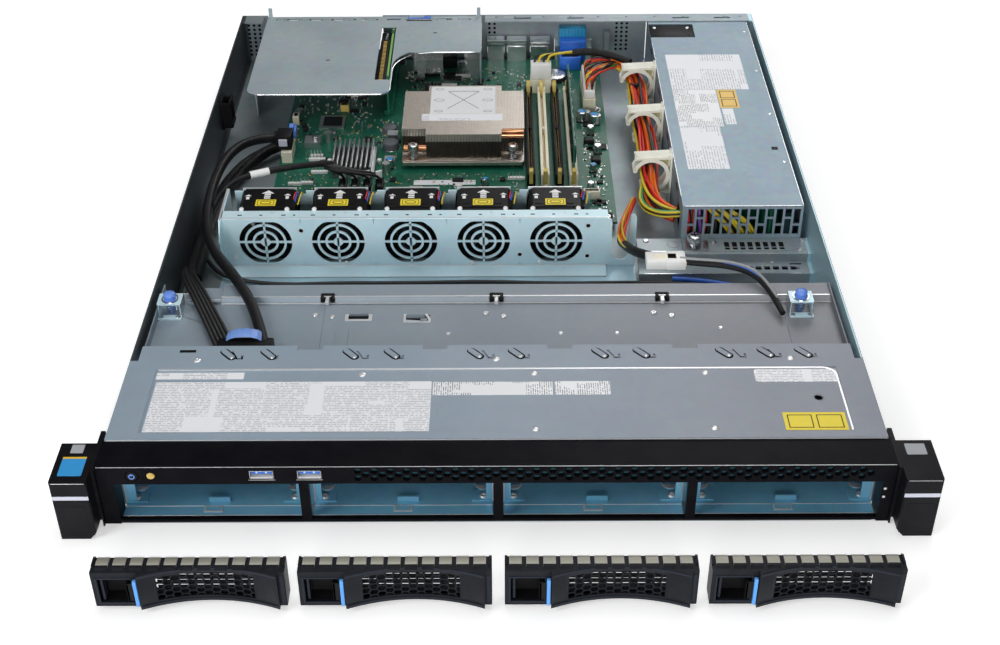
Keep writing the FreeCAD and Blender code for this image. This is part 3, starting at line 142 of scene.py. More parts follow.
class Graph:
    def __init__(self, material):
        material.use_nodes = True
        self.tree = material.node_tree
        self.material = material

    def node(self, kind, settings, values, out=0):
        made = self.tree.nodes.new("ShaderNode" + kind)
        for key, value in settings.items():
            if key == "stops":
                self.setStops(made.color_ramp, value)
            else:
                setattr(made, key, value)
        for key, value in values.items():
            self.feed(made.inputs[key], value)
        return Field(self, made.outputs[out])

    def setStops(self, ramp, stops):
        while len(ramp.elements) < len(stops):
            ramp.elements.new(0.5)
        for element, (place, shade) in zip(ramp.elements, stops):
            element.position = place
            element.color = (*shade, 1) if isinstance(shade, tuple) else (shade, shade, shade, 1)

    def feed(self, socket, value):
        if isinstance(value, Field):
            self.tree.links.new(value.socket, socket)
        elif isinstance(value, tuple) and len(value) == 3 and socket.type == "RGBA":
            socket.default_value = (*value, 1)
        else:
            socket.default_value = value


class Finish(Graph):
    # a material on its piece's own coordinates, in millimetres
    def __init__(self, name):
        super().__init__(bpy.data.materials.new(name))
        self.surface = self.tree.nodes["Principled BSDF"]
        self.place = None

    def space(self, stretch=(1, 1, 1), turn=(0, 0, 0)):
        if self.place is None:
            self.place = self.node("TexCoord", {}, {}, "Object")
        scale = tuple(1000 * value for value in stretch)
        return self.node("Mapping", {}, {"Vector": self.place, "Scale": scale, "Rotation": turn})

    def axis(self, name):
        return self.node("SeparateXYZ", {}, {0: self.space()}, name)

    def noise(self, where, size, detail=2.0, rough=0.5):
        return self.node("TexNoise", {},
                         {"Vector": where, "Scale": 1 / size, "Detail": detail, "Roughness": rough})

    def cells(self, where, size, out="Distance"):
        return self.node("TexVoronoi", {}, {"Vector": where, "Scale": 1 / size}, out)

    def ramp(self, value, *stops):
        return self.node("ValToRGB", {"stops": stops}, {0: value})

    def mix(self, factor, first, second, blend="MIX"):
        return self.node("Mix", {"data_type": "RGBA", "blend_type": blend}, {0: factor, 6: first, 7: second},
                         2)

    def bump(self, height, depth, strength=1.0):
        return self.node("Bump", {}, {"Height": height, "Distance": depth / 1000, "Strength": strength})

    def shine(self, **values):
        for key, value in values.items():
            self.feed(self.surface.inputs[key.replace("_", " ")], value)
        return self.material


def sheetSteel(name, look):
    # rolled sheet: soft streaks along the rolling, cloudy zinc and a fine tooth
    g = Finish(name)
    streaks = g.noise(g.space(look["roll"]), 1.6, 3, 0.6)
    clouds = g.noise(g.space(), 55, 2, 0.5)
    spangle = g.cells(g.space(), 5.0, "Color")
    tooth = g.noise(g.space(), 0.35, 2, 0.6)
    body = g.mix(g.ramp(clouds, (0.32, 0.0), (0.68, 1.0)), look["dark"], look["pale"])
    body = g.mix(look["cloud"], body, spangle, "SOFT_LIGHT")
    body = g.mix(look["streak"] * streaks, body, look["warm"])
    if "left" in look:  # tone that drifts from one side of the case to the other
        part = g.ramp(g.axis("X") / 440 + 0.5, (0.15, 0.0), (0.85, 1.0))
        body = g.mix(0.65, body, g.mix(part, look["left"], look["right"]))
    if "walls" in look:  # painted shade darkens the left wall, and painted light makes the right wall's inner face paler
        x = g.axis("X")
        body = g.mix((x < -214.4) * look["walls"], body, look["wallLeft"])
        body = g.mix((abs(x - 215.9) < 1.5) * look["walls"], body, look["wallRight"])
    if "apron" in look:  # painted light: a paler patch on the floor between the crossbar and the fans
        inside = (abs(g.axis("X") + 47) < 143) * (abs(g.axis("Y") - 222) < 40)
        body = g.mix(0.75 * inside, body, look["apron"])
    rough = look["rough"] + 0.10 * streaks + 0.05 * clouds
    return g.shine(Base_Color=body, Metallic=look["metal"], Roughness=rough,
                   Normal=g.bump(tooth + 0.7 * streaks, 0.02, look["tooth"]))


def mouldedPlastic(name, dark, pale, rough, grain, gloss=0.5):
    # pigmented plastic with a spark-eroded grain, polished by handling in patches
    g = Finish(name)
    tooth = g.noise(g.space(), grain, 3, 0.65)
    handled = g.noise(g.space(), 14, 2, 0.5)
    body = g.mix(g.ramp(handled, (0.3, 0.0), (0.7, 1.0)), dark, pale)
    return g.shine(Base_Color=body, Roughness=rough + 0.12 * tooth - 0.06 * handled, Specular_IOR_Level=gloss,
                   Normal=g.bump(tooth, grain * 0.12, 0.5))


def circuitBoard(name, look):
    # solder mask over copper tracks in two directions, with tinned pads and small vias
    g = Finish(name)
    x, y = (g.axis(letter) for letter in "XY")
    wobble = g.node("TexNoise", {}, {"Vector": g.space((1, 1, 0)), "Scale": 1 / 26, "Detail": 1.0}, "Color")
    sorter = g.cells(g.space((1, 1, 0.001)), 13, "Color")
    pick = g.node("SeparateColor", {}, {0: sorter})
    across = abs((x + 9 * g.node("SeparateColor", {}, {0: wobble})) % 1.27 - 0.635) < 0.2
    along = abs((y + 5 * g.node("SeparateColor", {}, {0: wobble}, 1)) % 1.27 - 0.635) < 0.2
    choose = pick > 0.5
    tracks = choose * across + (1 - choose) * along
    fade = g.ramp(g.noise(g.space((1, 1, 0)), 17, 2), (0.45, 0.0), (0.6, 1.0))
    vias = (g.cells(g.space((1, 1, 0.001)), 3.4) < 0.09) * g.ramp(g.noise(g.space((1, 1, 0)), 21, 1),
                                                                  (0.48, 0.0), (0.52, 1.0))
    mask = g.mix(g.noise(g.space(), 33, 2), look["dark"], look["pale"])
    body = g.mix(tracks * fade * 0.55, mask, look["track"])
    body = g.mix(vias, body, look["tin"])
    return g.shine(Base_Color=body, Roughness=0.30 + 0.12 * g.noise(g.space(), 1.1, 2), Metallic=vias * 0.8,
                   Coat_Weight=0.1, Coat_Roughness=0.2, Specular_IOR_Level=0.25,
                   Normal=g.bump(tracks * fade + vias, 0.03, 0.8))


def brightMetal(name, dark, pale, rough):
    # turned or pressed plated metal with fine marks round and across
    g = Finish(name)
    marks = g.noise(g.space((1, 1, 6)), 0.5, 3, 0.6)
    stain = g.noise(g.space(), 4.0, 2, 0.5)
    return g.shine(Base_Color=g.mix(stain, dark, pale), Metallic=1.0, Roughness=rough + 0.14 * marks,
                   Normal=g.bump(marks, 0.02, 0.4))


def plainPaint(name, colour, rough, metal=0.0):
    # even coat with slight mottling, used for labels, dots and small mouldings
    g = Finish(name)
    mottle = g.noise(g.space(), 3.0, 3)
    body = g.mix(mottle, tuple(value * 0.88 for value in colour), colour)
    return g.shine(Base_Color=body, Roughness=rough + 0.1 * mottle, Metallic=metal,
                   Specular_IOR_Level=0.15 if max(colour) < 0.1 else 0.45,
                   Normal=g.bump(g.noise(g.space(), 0.4, 2), 0.02, 0.3))


finishes = {}
steel = {"roll": (0.03, 1, 1), "cloud": 0.10, "streak": 0.18, "tooth": 0.35}
sheets = {
    "traySteel": {"metal": 0.6, "rough": 0.40, "dark": (0.26, 0.31, 0.33), "pale": (0.37, 0.42, 0.45),
                  "warm": (0.38, 0.43, 0.46), "walls": 0.85, "wallLeft": (0.030, 0.034, 0.038),
                  "wallRight": (0.50, 0.72, 0.80), "apron": (0.50, 0.72, 0.82)},
    "coverSteel": {"metal": 0.45, "rough": 0.44, "dark": (0.25, 0.29, 0.33), "pale": (0.33, 0.37, 0.41),
                   "warm": (0.33, 0.35, 0.39), "left": (0.35, 0.46, 0.56), "right": (0.24, 0.25, 0.29)},
    "deckSteel": {"metal": 0.35, "rough": 0.46, "dark": (0.25, 0.28, 0.31), "pale": (0.32, 0.35, 0.38),
                  "warm": (0.32, 0.34, 0.37), "left": (0.28, 0.36, 0.43), "right": (0.22, 0.22, 0.24)},
    "baySteel": {"metal": 0.15, "rough": 0.30, "dark": (0.14, 0.40, 0.58), "pale": (0.22, 0.54, 0.76),
                 "warm": (0.20, 0.48, 0.66)},
    "cageSteel": {"metal": 0.15, "rough": 0.34, "dark": (0.56, 0.76, 0.84), "pale": (0.66, 0.85, 0.92),
                  "warm": (0.68, 0.86, 0.92)},
    "supplySteel": {"metal": 0.5, "rough": 0.45, "roll": (1, 0.03, 1), "dark": (0.25, 0.33, 0.39),
                    "pale": (0.30, 0.38, 0.44), "warm": (0.31, 0.38, 0.44)},
    "riserSteel": {"metal": 0.3, "rough": 0.44, "roll": (1, 0.03, 1), "dark": (0.36, 0.43, 0.46),
                   "pale": (0.42, 0.49, 0.52), "warm": (0.42, 0.48, 0.51)},
}
# darker and paler tone, roughness, grain in millimetres, and a low gloss on the blacks
plastics = {
    "bezelBlack": ((0.004, 0.004, 0.006), (0.007, 0.007, 0.009), 0.30, 0.5, 0.04),
    "earBlack": ((0.004, 0.004, 0.006), (0.008, 0.008, 0.01), 0.36, 0.6, 0.12),
    "fillerBlack": ((0.007, 0.008, 0.011), (0.012, 0.014, 0.019), 0.38, 0.5, 0.12),
    "fanBlack": ((0.005, 0.005, 0.006), (0.01, 0.01, 0.011), 0.34, 0.7, 0.12),
    "socketBlack": ((0.006, 0.006, 0.007), (0.012, 0.012, 0.014), 0.42, 0.6, 0.12),
    "touchBlue": ((0.10, 0.22, 0.72), (0.17, 0.33, 0.85), 0.32, 0.5),
    "portBlue": ((0.02, 0.13, 0.62), (0.04, 0.20, 0.75), 0.3, 0.6),
    "amberLens": ((0.72, 0.40, 0.03), (0.86, 0.55, 0.08), 0.2, 0.8),
    "creamNylon": ((0.80, 0.74, 0.56), (0.90, 0.86, 0.70), 0.42, 0.9),
    "whiteNylon": ((0.78, 0.79, 0.78), (0.90, 0.90, 0.88), 0.38, 0.9),
    "goldNylon": ((0.62, 0.46, 0.10), (0.80, 0.64, 0.20), 0.36, 0.8),
    "clipNylon": ((0.80, 0.80, 0.68), (0.90, 0.90, 0.80), 0.40, 0.9),
    "clipShade": ((0.42, 0.36, 0.16), (0.55, 0.48, 0.24), 0.5, 0.9),
}
metals = {
    "plated": ((0.52, 0.53, 0.54), (0.74, 0.75, 0.76), 0.20),
    "finAlloy": ((0.56, 0.57, 0.58), (0.72, 0.73, 0.74), 0.30),
    "finBronze": ((0.62, 0.55, 0.49), (0.80, 0.73, 0.66), 0.34),
    "finShade": ((0.16, 0.13, 0.11), (0.26, 0.22, 0.19), 0.36),
    "finPale": ((0.55, 0.50, 0.45), (0.72, 0.67, 0.61), 0.30),
}
# colour, roughness and how metallic it is
paints = {
    "fingerSteel": ((0.33, 0.32, 0.27), 0.40, 0.35), "fingerEdge": ((0.55, 0.55, 0.52), 0.35, 0.4),
    # edgeWhite: pale metal on screws and rivets, and painted highlight on edges, folds and rims
    "edgeWhite": ((0.86, 0.87, 0.88), 0.30, 0.6), "copper": ((0.72, 0.35, 0.18), 0.25, 1.0),
    "lensGold": ((0.80, 0.55, 0.16), 0.22, 0.2), "ventTeal": ((0.020, 0.085, 0.11), 0.4, 0.2),
    "tealDark": ((0.010, 0.035, 0.045), 0.5, 0.2), "fillerFace": ((0.016, 0.020, 0.030), 0.42),
    # slotDark: painted shade in slots, holes and recesses drawn as dark marks, and dark seams
    "pocketBlack": ((0.006, 0.006, 0.007), 0.5), "slotDark": ((0.004, 0.004, 0.005), 0.7),
    "chipBlack": ((0.016, 0.017, 0.019), 0.38), "inkBlack": ((0.03, 0.03, 0.035), 0.5),
    "coilGrey": ((0.10, 0.11, 0.12), 0.5), "paperGrey": ((0.40, 0.42, 0.45), 0.5),
    "paperWhite": ((0.84, 0.85, 0.86), 0.45), "stripeLilac": ((0.66, 0.67, 0.78), 0.34),
    "stickerBlue": ((0.04, 0.33, 0.72), 0.3), "releaseBlue": ((0.11, 0.38, 0.90), 0.3),
    "tabBlue": ((0.20, 0.36, 0.80), 0.35), "hoodBlue": ((0.03, 0.36, 0.62), 0.35),
    "stickerOrange": ((0.86, 0.52, 0.03), 0.3), "stickerYellow": ((0.93, 0.74, 0.03), 0.4),
    "cardEdge": ((0.22, 0.50, 0.12), 0.4),
}
for name, look in sheets.items():
    finishes[name] = sheetSteel(name, {**steel, **look})
for maker, looks in ((mouldedPlastic, plastics), (brightMetal, metals), (plainPaint, paints)):
    for name, look in looks.items():
        finishes[name] = maker(name, *look)
finishes["boardGreen"] = circuitBoard("boardGreen",
                                      {"dark": (0.006, 0.085, 0.052), "pale": (0.012, 0.135, 0.080),
                                       "track": (0.04, 0.27, 0.16), "tin": (0.62, 0.60, 0.50)})
wearing = {
    "traySteel": ["base_pan", "rear_panel", "psu_bracket"], "baySteel": ["bay_dividers"],
    "coverSteel": ["front_cover"], "deckSteel": ["drive_deck"], "cageSteel": ["fan_cage", "plunger_brackets"],
    "supplySteel": ["psu_case"], "riserSteel": ["riser_cage"],
    "bezelBlack": ["bezel"], "earBlack": ["ear_left", "ear_right", "rack_latch_left", "rack_latch_right"],
    "fillerBlack": numbered("filler_%d", 4),
    "fanBlack": ["fan_frames"] + numbered("fan_rotor_%d", 5),
    "touchBlue": ["plunger_left", "plunger_right"] + numbered("filler_latch_%d", 4),
    "socketBlack": ["power_button", "ac_inlet", "dimm_sockets"], "amberLens": ["locator_button"],
    "creamNylon": ["cable_clips", "board_sockets"],
    "goldNylon": numbered("dimm_latch_front_%d", 4) + numbered("dimm_latch_rear_%d", 4),
    "boardGreen": ["motherboard", "riser_card", "operator_panel", "backplane", "memory_module", "psu_board"],
    "plated": ["heatsink_screws", "rear_ports", "psu_thumbscrew"],
    "finAlloy": ["board_components"], "finBronze": ["cpu_heatsink"],
}


def dressFrame():
    for finish, names in wearing.items():
        for name in names:
            nodes[name].data.materials.clear()
            nodes[name].data.materials.append(finishes[finish])


def makeStage():
    mesh = bpy.data.meshes.new("floor")
    shape = bmesh.new()
    bmesh.ops.create_grid(shape, x_segments=2, y_segments=2, size=studio["floorSize"] / 2)
    shape.to_mesh(mesh)
    shape.free()
    floor = bpy.data.objects.new("floor", mesh)
    floor.location.z = -0.0002
    bpy.context.scene.collection.objects.link(floor)
    g = Finish("floorPaper")
    rays = g.node("LightPath", {}, {}, "Is Camera Ray")
    mirrored = g.node("LightPath", {}, {}, "Is Glossy Ray")
    g.shine(Base_Color=studio["floor"], Roughness=0.9, Specular_IOR_Level=0.1,
            Emission_Color=(1.0, 1.0, 1.0), Emission_Strength=(rays + mirrored) * studio["floorGlow"])
    mesh.materials.append(g.material)

    world = bpy.data.worlds.new("studio")
    bpy.context.scene.world = world
    w = Graph(world)
    background = w.tree.nodes["Background"]
    ways = w.node("TexCoord", {}, {}, "Generated")
    height = w.node("SeparateXYZ", {}, {0: ways}, "Z")
    tilt = w.node("SeparateXYZ", {}, {0: ways}, "X")
    level = studio["horizon"] + (studio["sky"] -
                                 studio["horizon"]) * w.node("Clamp", {}, {0: height * 1.4}) + 0.14 * tilt
    seen = w.node("LightPath", {}, {}, "Is Camera Ray")
    shown = w.node("Mix", {"data_type": "FLOAT"}, {0: seen, 2: level, 3: 1.0})
    w.feed(background.inputs["Strength"], shown)
    bpy.context.scene.view_settings.view_transform = "Standard"


makeCamera()
makeLamps()
makeStage()
dressFrame()
print("stage and frame finishes")


# mesh under construction, in millimetres

class Shape:
    def __init__(self):
        self.bm = bmesh.new()

    def paint(self, verts, number):
        for face in {face for vert in verts for face in vert.link_faces}:
            face.material_index = number

    def block(self, low, high, soft=0.0, paint=0, segments=1, turn=None):
        # between two opposite corners, given in either order
        low, high = Vector(map(min, low, high)), Vector(map(max, low, high))
        size = high - low
        place = Matrix.Translation((low + high) / 2) @ (turn
                                                        or Matrix.Identity(4)) @ Matrix.Diagonal((*size, 1))
        verts = bmesh.ops.create_cube(self.bm, size=1, matrix=place)["verts"]
        self.paint(verts, paint)
        if soft:
            edges = list({edge for vert in verts for edge in vert.link_edges})
            bmesh.ops.bevel(self.bm, geom=edges, offset=soft, segments=segments, profile=0.5,
                            affect="EDGES", material=-1)
        return verts

    def rod(self, start, end, radius, sides=12, paint=0):
        start, end = Vector(start), Vector(end)
        run = end - start
        place = Matrix.Translation((start + end) / 2) @ run.to_track_quat("Z", "Y").to_matrix().to_4x4()
        verts = bmesh.ops.create_cone(self.bm, cap_ends=True, segments=sides, radius1=radius, radius2=radius,
                                      depth=run.length, matrix=place)["verts"]
        self.paint(verts, paint)
        return verts

    def lathe(self, profile, centre, axis=(0, 0, 1), steps=24, paint=0):
        # profile is radius and height along the axis; an end at radius 0 closes the shape
        axis = Vector(axis).normalized()
        side = axis.orthogonal().normalized()
        centre = Vector(centre)
        before = set(self.bm.verts)
        verts = [self.bm.verts.new(centre + side * radius + axis * height) for radius, height in profile]
        edges = [self.bm.edges.new(pair) for pair in zip(verts, verts[1:])]
        bmesh.ops.spin(self.bm, geom=verts + edges, cent=centre, axis=axis, angle=2 * math.pi,
                       steps=steps, use_merge=True)
        made = [vert for vert in self.bm.verts if vert not in before]
        bmesh.ops.remove_doubles(self.bm, verts=made, dist=0.0005)
        made = [vert for vert in made if vert.is_valid]
        self.paint(made, paint)
        bmesh.ops.recalc_face_normals(self.bm,
                                      faces=list({face for vert in made for face in vert.link_faces}))
        return made

    def spring(self, x, y, low, high, radius, wire, turns, steps):
        # a coil of short rods round an upright axis
        coil = [2 * math.pi * turns * step / steps for step in range(steps + 1)]
        spots = [(x + radius * math.cos(turn), y + radius * math.sin(turn), low + (high - low) * step / steps)
                 for step, turn in enumerate(coil)]
        for start, end in zip(spots, spots[1:]):
            self.rod(start, end, wire, sides=6)

    def screw(self, spot, radius, height=0.8, way=(0, 0, 1), paint=0):
        # pan head with a round recess
        r, h = radius, height
        return self.lathe([(0, h * 0.3), (r * 0.40, h * 0.3), (r * 0.46, h), (r * 0.78, h), (r, h * 0.55),
                           (r, 0)],
                          spot, way, 14, paint)

    def prism(self, outline, start, end, paint=0, soft=0.0):
        # an outline in Y and Z, run along X
        turned = Matrix(((0, 0, 1, start), (1, 0, 0, 0), (0, 1, 0, 0), (0, 0, 0, 1)))
        return self.plate(outline, end - start, paint, turned, soft)

    def plate(self, outline, thick, paint=0, place=None, soft=0.0):
        # a flat outline in X and Y, raised by its thickness, then put in its place
        verts = [self.bm.verts.new((x, y, 0)) for x, y in outline]
        face = self.bm.faces.new(verts)
        raised = bmesh.ops.extrude_face_region(self.bm, geom=[face])["geom"]
        tops = [item for item in raised if isinstance(item, bmesh.types.BMVert)]
        bmesh.ops.translate(self.bm, verts=tops, vec=(0, 0, thick))
        whole = verts + tops
        self.paint(whole, paint)
        faces = list({face for vert in whole for face in vert.link_faces})
        bmesh.ops.recalc_face_normals(self.bm, faces=faces)
        if soft:
            rim = [edge for edge in {edge for vert in tops for edge in vert.link_edges}
                   if edge.verts[0] in tops and edge.verts[1] in tops]
            whole += bmesh.ops.bevel(self.bm, geom=rim, offset=soft, segments=1, profile=0.5,
                                     affect="EDGES", material=-1)["verts"]
        if place is not None:
            bmesh.ops.transform(self.bm, matrix=place, verts=[vert for vert in whole if vert.is_valid])
        return whole

    def done(self, name, body, paints, slot=None, smooth=30):
        bmesh.ops.scale(self.bm, vec=(0.001, 0.001, 0.001), verts=self.bm.verts)
        mesh = bpy.data.meshes.new(name)
        self.bm.to_mesh(mesh)
        self.bm.free()
        for paint in paints:
            mesh.materials.append(finishes[paint])
        if smooth:
            mesh.shade_smooth()
            mesh.set_sharp_from_angle(angle=math.radians(smooth))
        piece = bpy.data.objects.new(name, mesh)
        bpy.context.scene.collection.objects.link(piece)
        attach(piece, body)
        return piece


def arcSpots(x, y, radius, start, end, steps):
    turns = [math.radians(start + (end - start) * step / steps) for step in range(steps + 1)]
    return [(x + radius * math.cos(turn), y + radius * math.sin(turn)) for turn in turns]


def rounded(left, front, right, rear, radius):
    # rectangle outline with rounded corners
    corner = ((right - radius, rear - radius, 0), (left + radius, rear - radius, 90),
              (left + radius, front + radius, 180), (right - radius, front + radius, 270))
    return [spot for x, y, start in corner for spot in arcSpots(x, y, radius, start, start + 90, 4)]


def outlineBars(left, front, right, rear, wide):
    # the four bars of a rectangle's outline
    return (((left, front), (right, front + wide)), ((left, rear - wide), (right, rear)),
            ((left, front), (left + wide, rear)), ((right - wide, front), (right, rear)))


def flatOn(height):
    return Matrix.Translation((0, 0, height))


def facing(y):
    # turns a flat outline so that its X and Y run along X and Z, with its top towards the front
    return Matrix.Translation((0, y, 0)) @ Matrix.Rotation(math.radians(90), 4, "X")


# cables: each follows its route's own smooth line

routes = {
    "front": [(-0.166, 0.397, 0.024), (-0.186, 0.391, 0.027), (-0.201, 0.362, 0.030), (-0.2055, 0.318, 0.030),
              (-0.203, 0.270, 0.029), (-0.190, 0.224, 0.035), (-0.170, 0.188, 0.040), (-0.151, 0.152, 0.038),
              (-0.142, 0.118, 0.036)],
    "drive": [(-0.210, 0.236, 0.012), (-0.207, 0.214, 0.024), (-0.198, 0.188, 0.035), (-0.184, 0.158, 0.036),
              (-0.166, 0.118, 0.035)],
    "data": [(-0.196, 0.298, 0.033), (-0.190, 0.308, 0.039), (-0.166, 0.320, 0.0395), (-0.136, 0.331, 0.039),
             (-0.112, 0.341, 0.034), (-0.102, 0.342, 0.019)],
    "supply": [(0.127, 0.290, 0.020), (0.115, 0.295, 0.021), (0.110, 0.318, 0.024), (0.1125, 0.352, 0.026),
               (0.114, 0.392, 0.026), (0.112, 0.430, 0.027), (0.1135, 0.466, 0.026), (0.1115, 0.492, 0.028),
               (0.101, 0.508, 0.032), (0.086, 0.508, 0.033), (0.076, 0.496, 0.027)],
    "lid": [(0.109, 0.497, 0.0366), (0.094, 0.508, 0.0386), (0.070, 0.515, 0.0386), (0.048, 0.511, 0.034),
            (0.037, 0.504, 0.027)],
    "panel": [(0.100, 0.318, 0.016), (0.092, 0.292, 0.018), (0.0855, 0.262, 0.022), (0.086, 0.236, 0.030),
              (0.096, 0.212, 0.038), (0.124, 0.201, 0.039), (0.156, 0.197, 0.0392), (0.174, 0.180, 0.0388),
              (0.180, 0.150, 0.035)],
}


def smoothLine(points):
    data = bpy.data.curves.new("route", "CURVE")
    data.dimensions = "3D"
    data.resolution_u = 10
    spline = data.splines.new("NURBS")
    spline.points.add(len(points) - 1)
    for spot, point in zip(spline.points, points):
        spot.co = (*point, 1)
    spline.order_u = 3
    spline.use_endpoint_u = True
    holder = bpy.data.objects.new("route", data)
    bpy.context.scene.collection.objects.link(holder)
    bpy.context.view_layer.update()
    mesh = bpy.data.meshes.new_from_object(holder.evaluated_get(bpy.context.evaluated_depsgraph_get()))
    spots = [vert.co * 1000 for vert in mesh.vertices]
    bpy.data.objects.remove(holder)
    bpy.data.meshes.remove(mesh)
    return spots


def sideways(spots):
    # two directions across the line at each spot, that turn as little as they can
    ways = [(after - before).normalized() for before,
            after in zip(spots[:1] + spots[:-1], spots[1:] + spots[-1:])]
    side = Vector((0, 0, 1))
    result = []
    for way in ways:
        side = (side - way * side.dot(way)).normalized()
        result.append((way.cross(side), side))
    return result


def layWires(name, body, lines, sides=3):
    # lines are the spots in millimetres, the radius and the finish of each wire
    data = bpy.data.curves.new(name, "CURVE")
    data.dimensions = "3D"
    data.bevel_depth = 0.001
    data.bevel_resolution = sides
    data.use_fill_caps = True
    data.resolution_u = 3
    paints = sorted({paint for spots, radius, paint in lines})
    for paint in paints:
        data.materials.append(finishes[paint])
    for spots, radius, paint in lines:
        spline = data.splines.new("NURBS")
        spline.points.add(len(spots) - 1)
        for knot, spot in zip(spline.points, spots):
            knot.co = (*(Vector(spot) / 1000), 1)
            knot.radius = radius
        spline.order_u = 3
        spline.use_endpoint_u = True
        spline.material_index = paints.index(paint)
    holder = bpy.data.objects.new(name + "Line", data)
    bpy.context.scene.collection.objects.link(holder)
    bpy.context.view_layer.update()
    mesh = bpy.data.meshes.new_from_object(holder.evaluated_get(bpy.context.evaluated_depsgraph_get()))
    bpy.data.objects.remove(holder)
    mesh.name = name
    mesh.shade_smooth()
    mesh.set_sharp_from_angle(angle=math.radians(50))
    piece = bpy.data.objects.new(name, mesh)
    bpy.context.scene.collection.objects.link(piece)
    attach(piece, body)
    return piece


def bundleLines(spots, look):
    # wires round a middle one, each drifting in and out as the bundle goes along
    rng = random.Random(look["seed"])
    across = sideways(spots)
    lines = []
    wires = look["wires"]
    for number, paint in enumerate(wires):
        ring = 0 if number == 0 else 1 if number < 7 else 2
        base = 2 * math.pi * number / (6 if ring < 2 else max(1, len(wires) - 7))
        phase, wave = rng.uniform(0, 6.28), rng.uniform(0.6, 1.3)
        line = []
        for index in range(0, len(spots), look.get("every", 4)):
            part = index / (len(spots) - 1)
            angle = base + look["twist"] * part + 0.5 * math.sin(wave * 9 * part + phase)
            beat = 0.5 + 0.5 * math.sin(7 * wave * part + phase)
            swell = 1 + look["loose"] * math.sin(math.pi * part) * beat
            reach = look["wire"] * 2.05 * ring * swell
            side, up = across[index]
            line.append(spots[index] + side * reach * math.cos(angle) * look.get("wide", 1.0) +
                        up * reach * math.sin(angle) * look.get("flat", 1.0))
        lines.append((line, look["wire"], paint))
    return lines


def insulation(name, colour):
    # extruded sheath: a faint orange peel and slight fading along it
    g = Finish(name)
    fade = g.noise(g.space(), 9, 2)
    peel = g.noise(g.space(), 0.5, 2)
    body = g.mix(fade, tuple(value * 0.75 for value in colour), colour)
    return g.shine(Base_Color=body, Roughness=0.35 + 0.15 * peel, Normal=g.bump(peel, 0.03, 0.4))


def braid(name, look):
    # woven sleeve: two crossing sets of fine ribs on the piece's own coordinates
    g = Finish(name)
    turned = g.space(turn=(0.6, 0.5, 0.78))
    first, second = (g.node("TexWave", {"wave_type": "BANDS", "bands_direction": way},
                            {"Vector": turned, "Scale": look["rib"], "Distortion": 0.3}, "Fac")
                     for way in "XY")
    weave = first * second
    body = g.mix(weave, look["dark"], look["pale"])
    return g.shine(Base_Color=body, Roughness=look["rough"] - 0.12 * weave, Specular_IOR_Level=0.3,
                   Normal=g.bump(weave, 0.12, 0.8))


wireColours = {"Red": (0.78, 0.025, 0.015), "Orange": (0.90, 0.17, 0.01), "Yellow": (0.80, 0.62, 0.04),
               "Black": (0.012, 0.012, 0.013),
               "Green": (0.03, 0.36, 0.12), "Purple": (0.25, 0.08, 0.45), "Blue": (0.03, 0.14, 0.62),
               "Grey": (0.32, 0.33, 0.34), "White": (0.80, 0.80, 0.78)}
for word, colour in wireColours.items():
    finishes["wire" + word] = insulation("wire" + word, colour)
finishes["sleeveBlack"] = braid("sleeveBlack", {"dark": (0.004, 0.004, 0.005), "pale": (0.014, 0.014, 0.016),
                                                "rib": 0.9, "rough": 0.36})

cables = {
    "lidSleeve": 3.0, "frontSleeve": 3.6, "driveWire": 1.35, "dataSleeve": 2.4, "pairWire": 1.0,
    "supply": {"seed": 4, "wire": 1.1, "twist": 2.2, "loose": 0.62,
               "wires": ["wireRed", "wireOrange", "wireRed", "wireBlack", "wireOrange", "wireRed",
                         "wireOrange", "wireOrange",
                         "wireRed", "wireBlack", "wireOrange", "wireRed", "wireYellow", "wireBlack",
                         "wireOrange", "wireRed"]},
    "lid": {"seed": 9, "wire": 0.95, "twist": 1.4, "loose": 0.3, "every": 3,
            "wires": ["wireYellow", "wireBlack", "wireYellow", "wireBlack"]},
    "panel": {"seed": 12, "wire": 0.75, "twist": 2.2, "loose": 0.9, "every": 4,
              "wires": ["wireOrange", "wireYellow", "wireRed", "wireOrange", "wireBlack", "wireYellow",
                        "wireOrange"]},
}


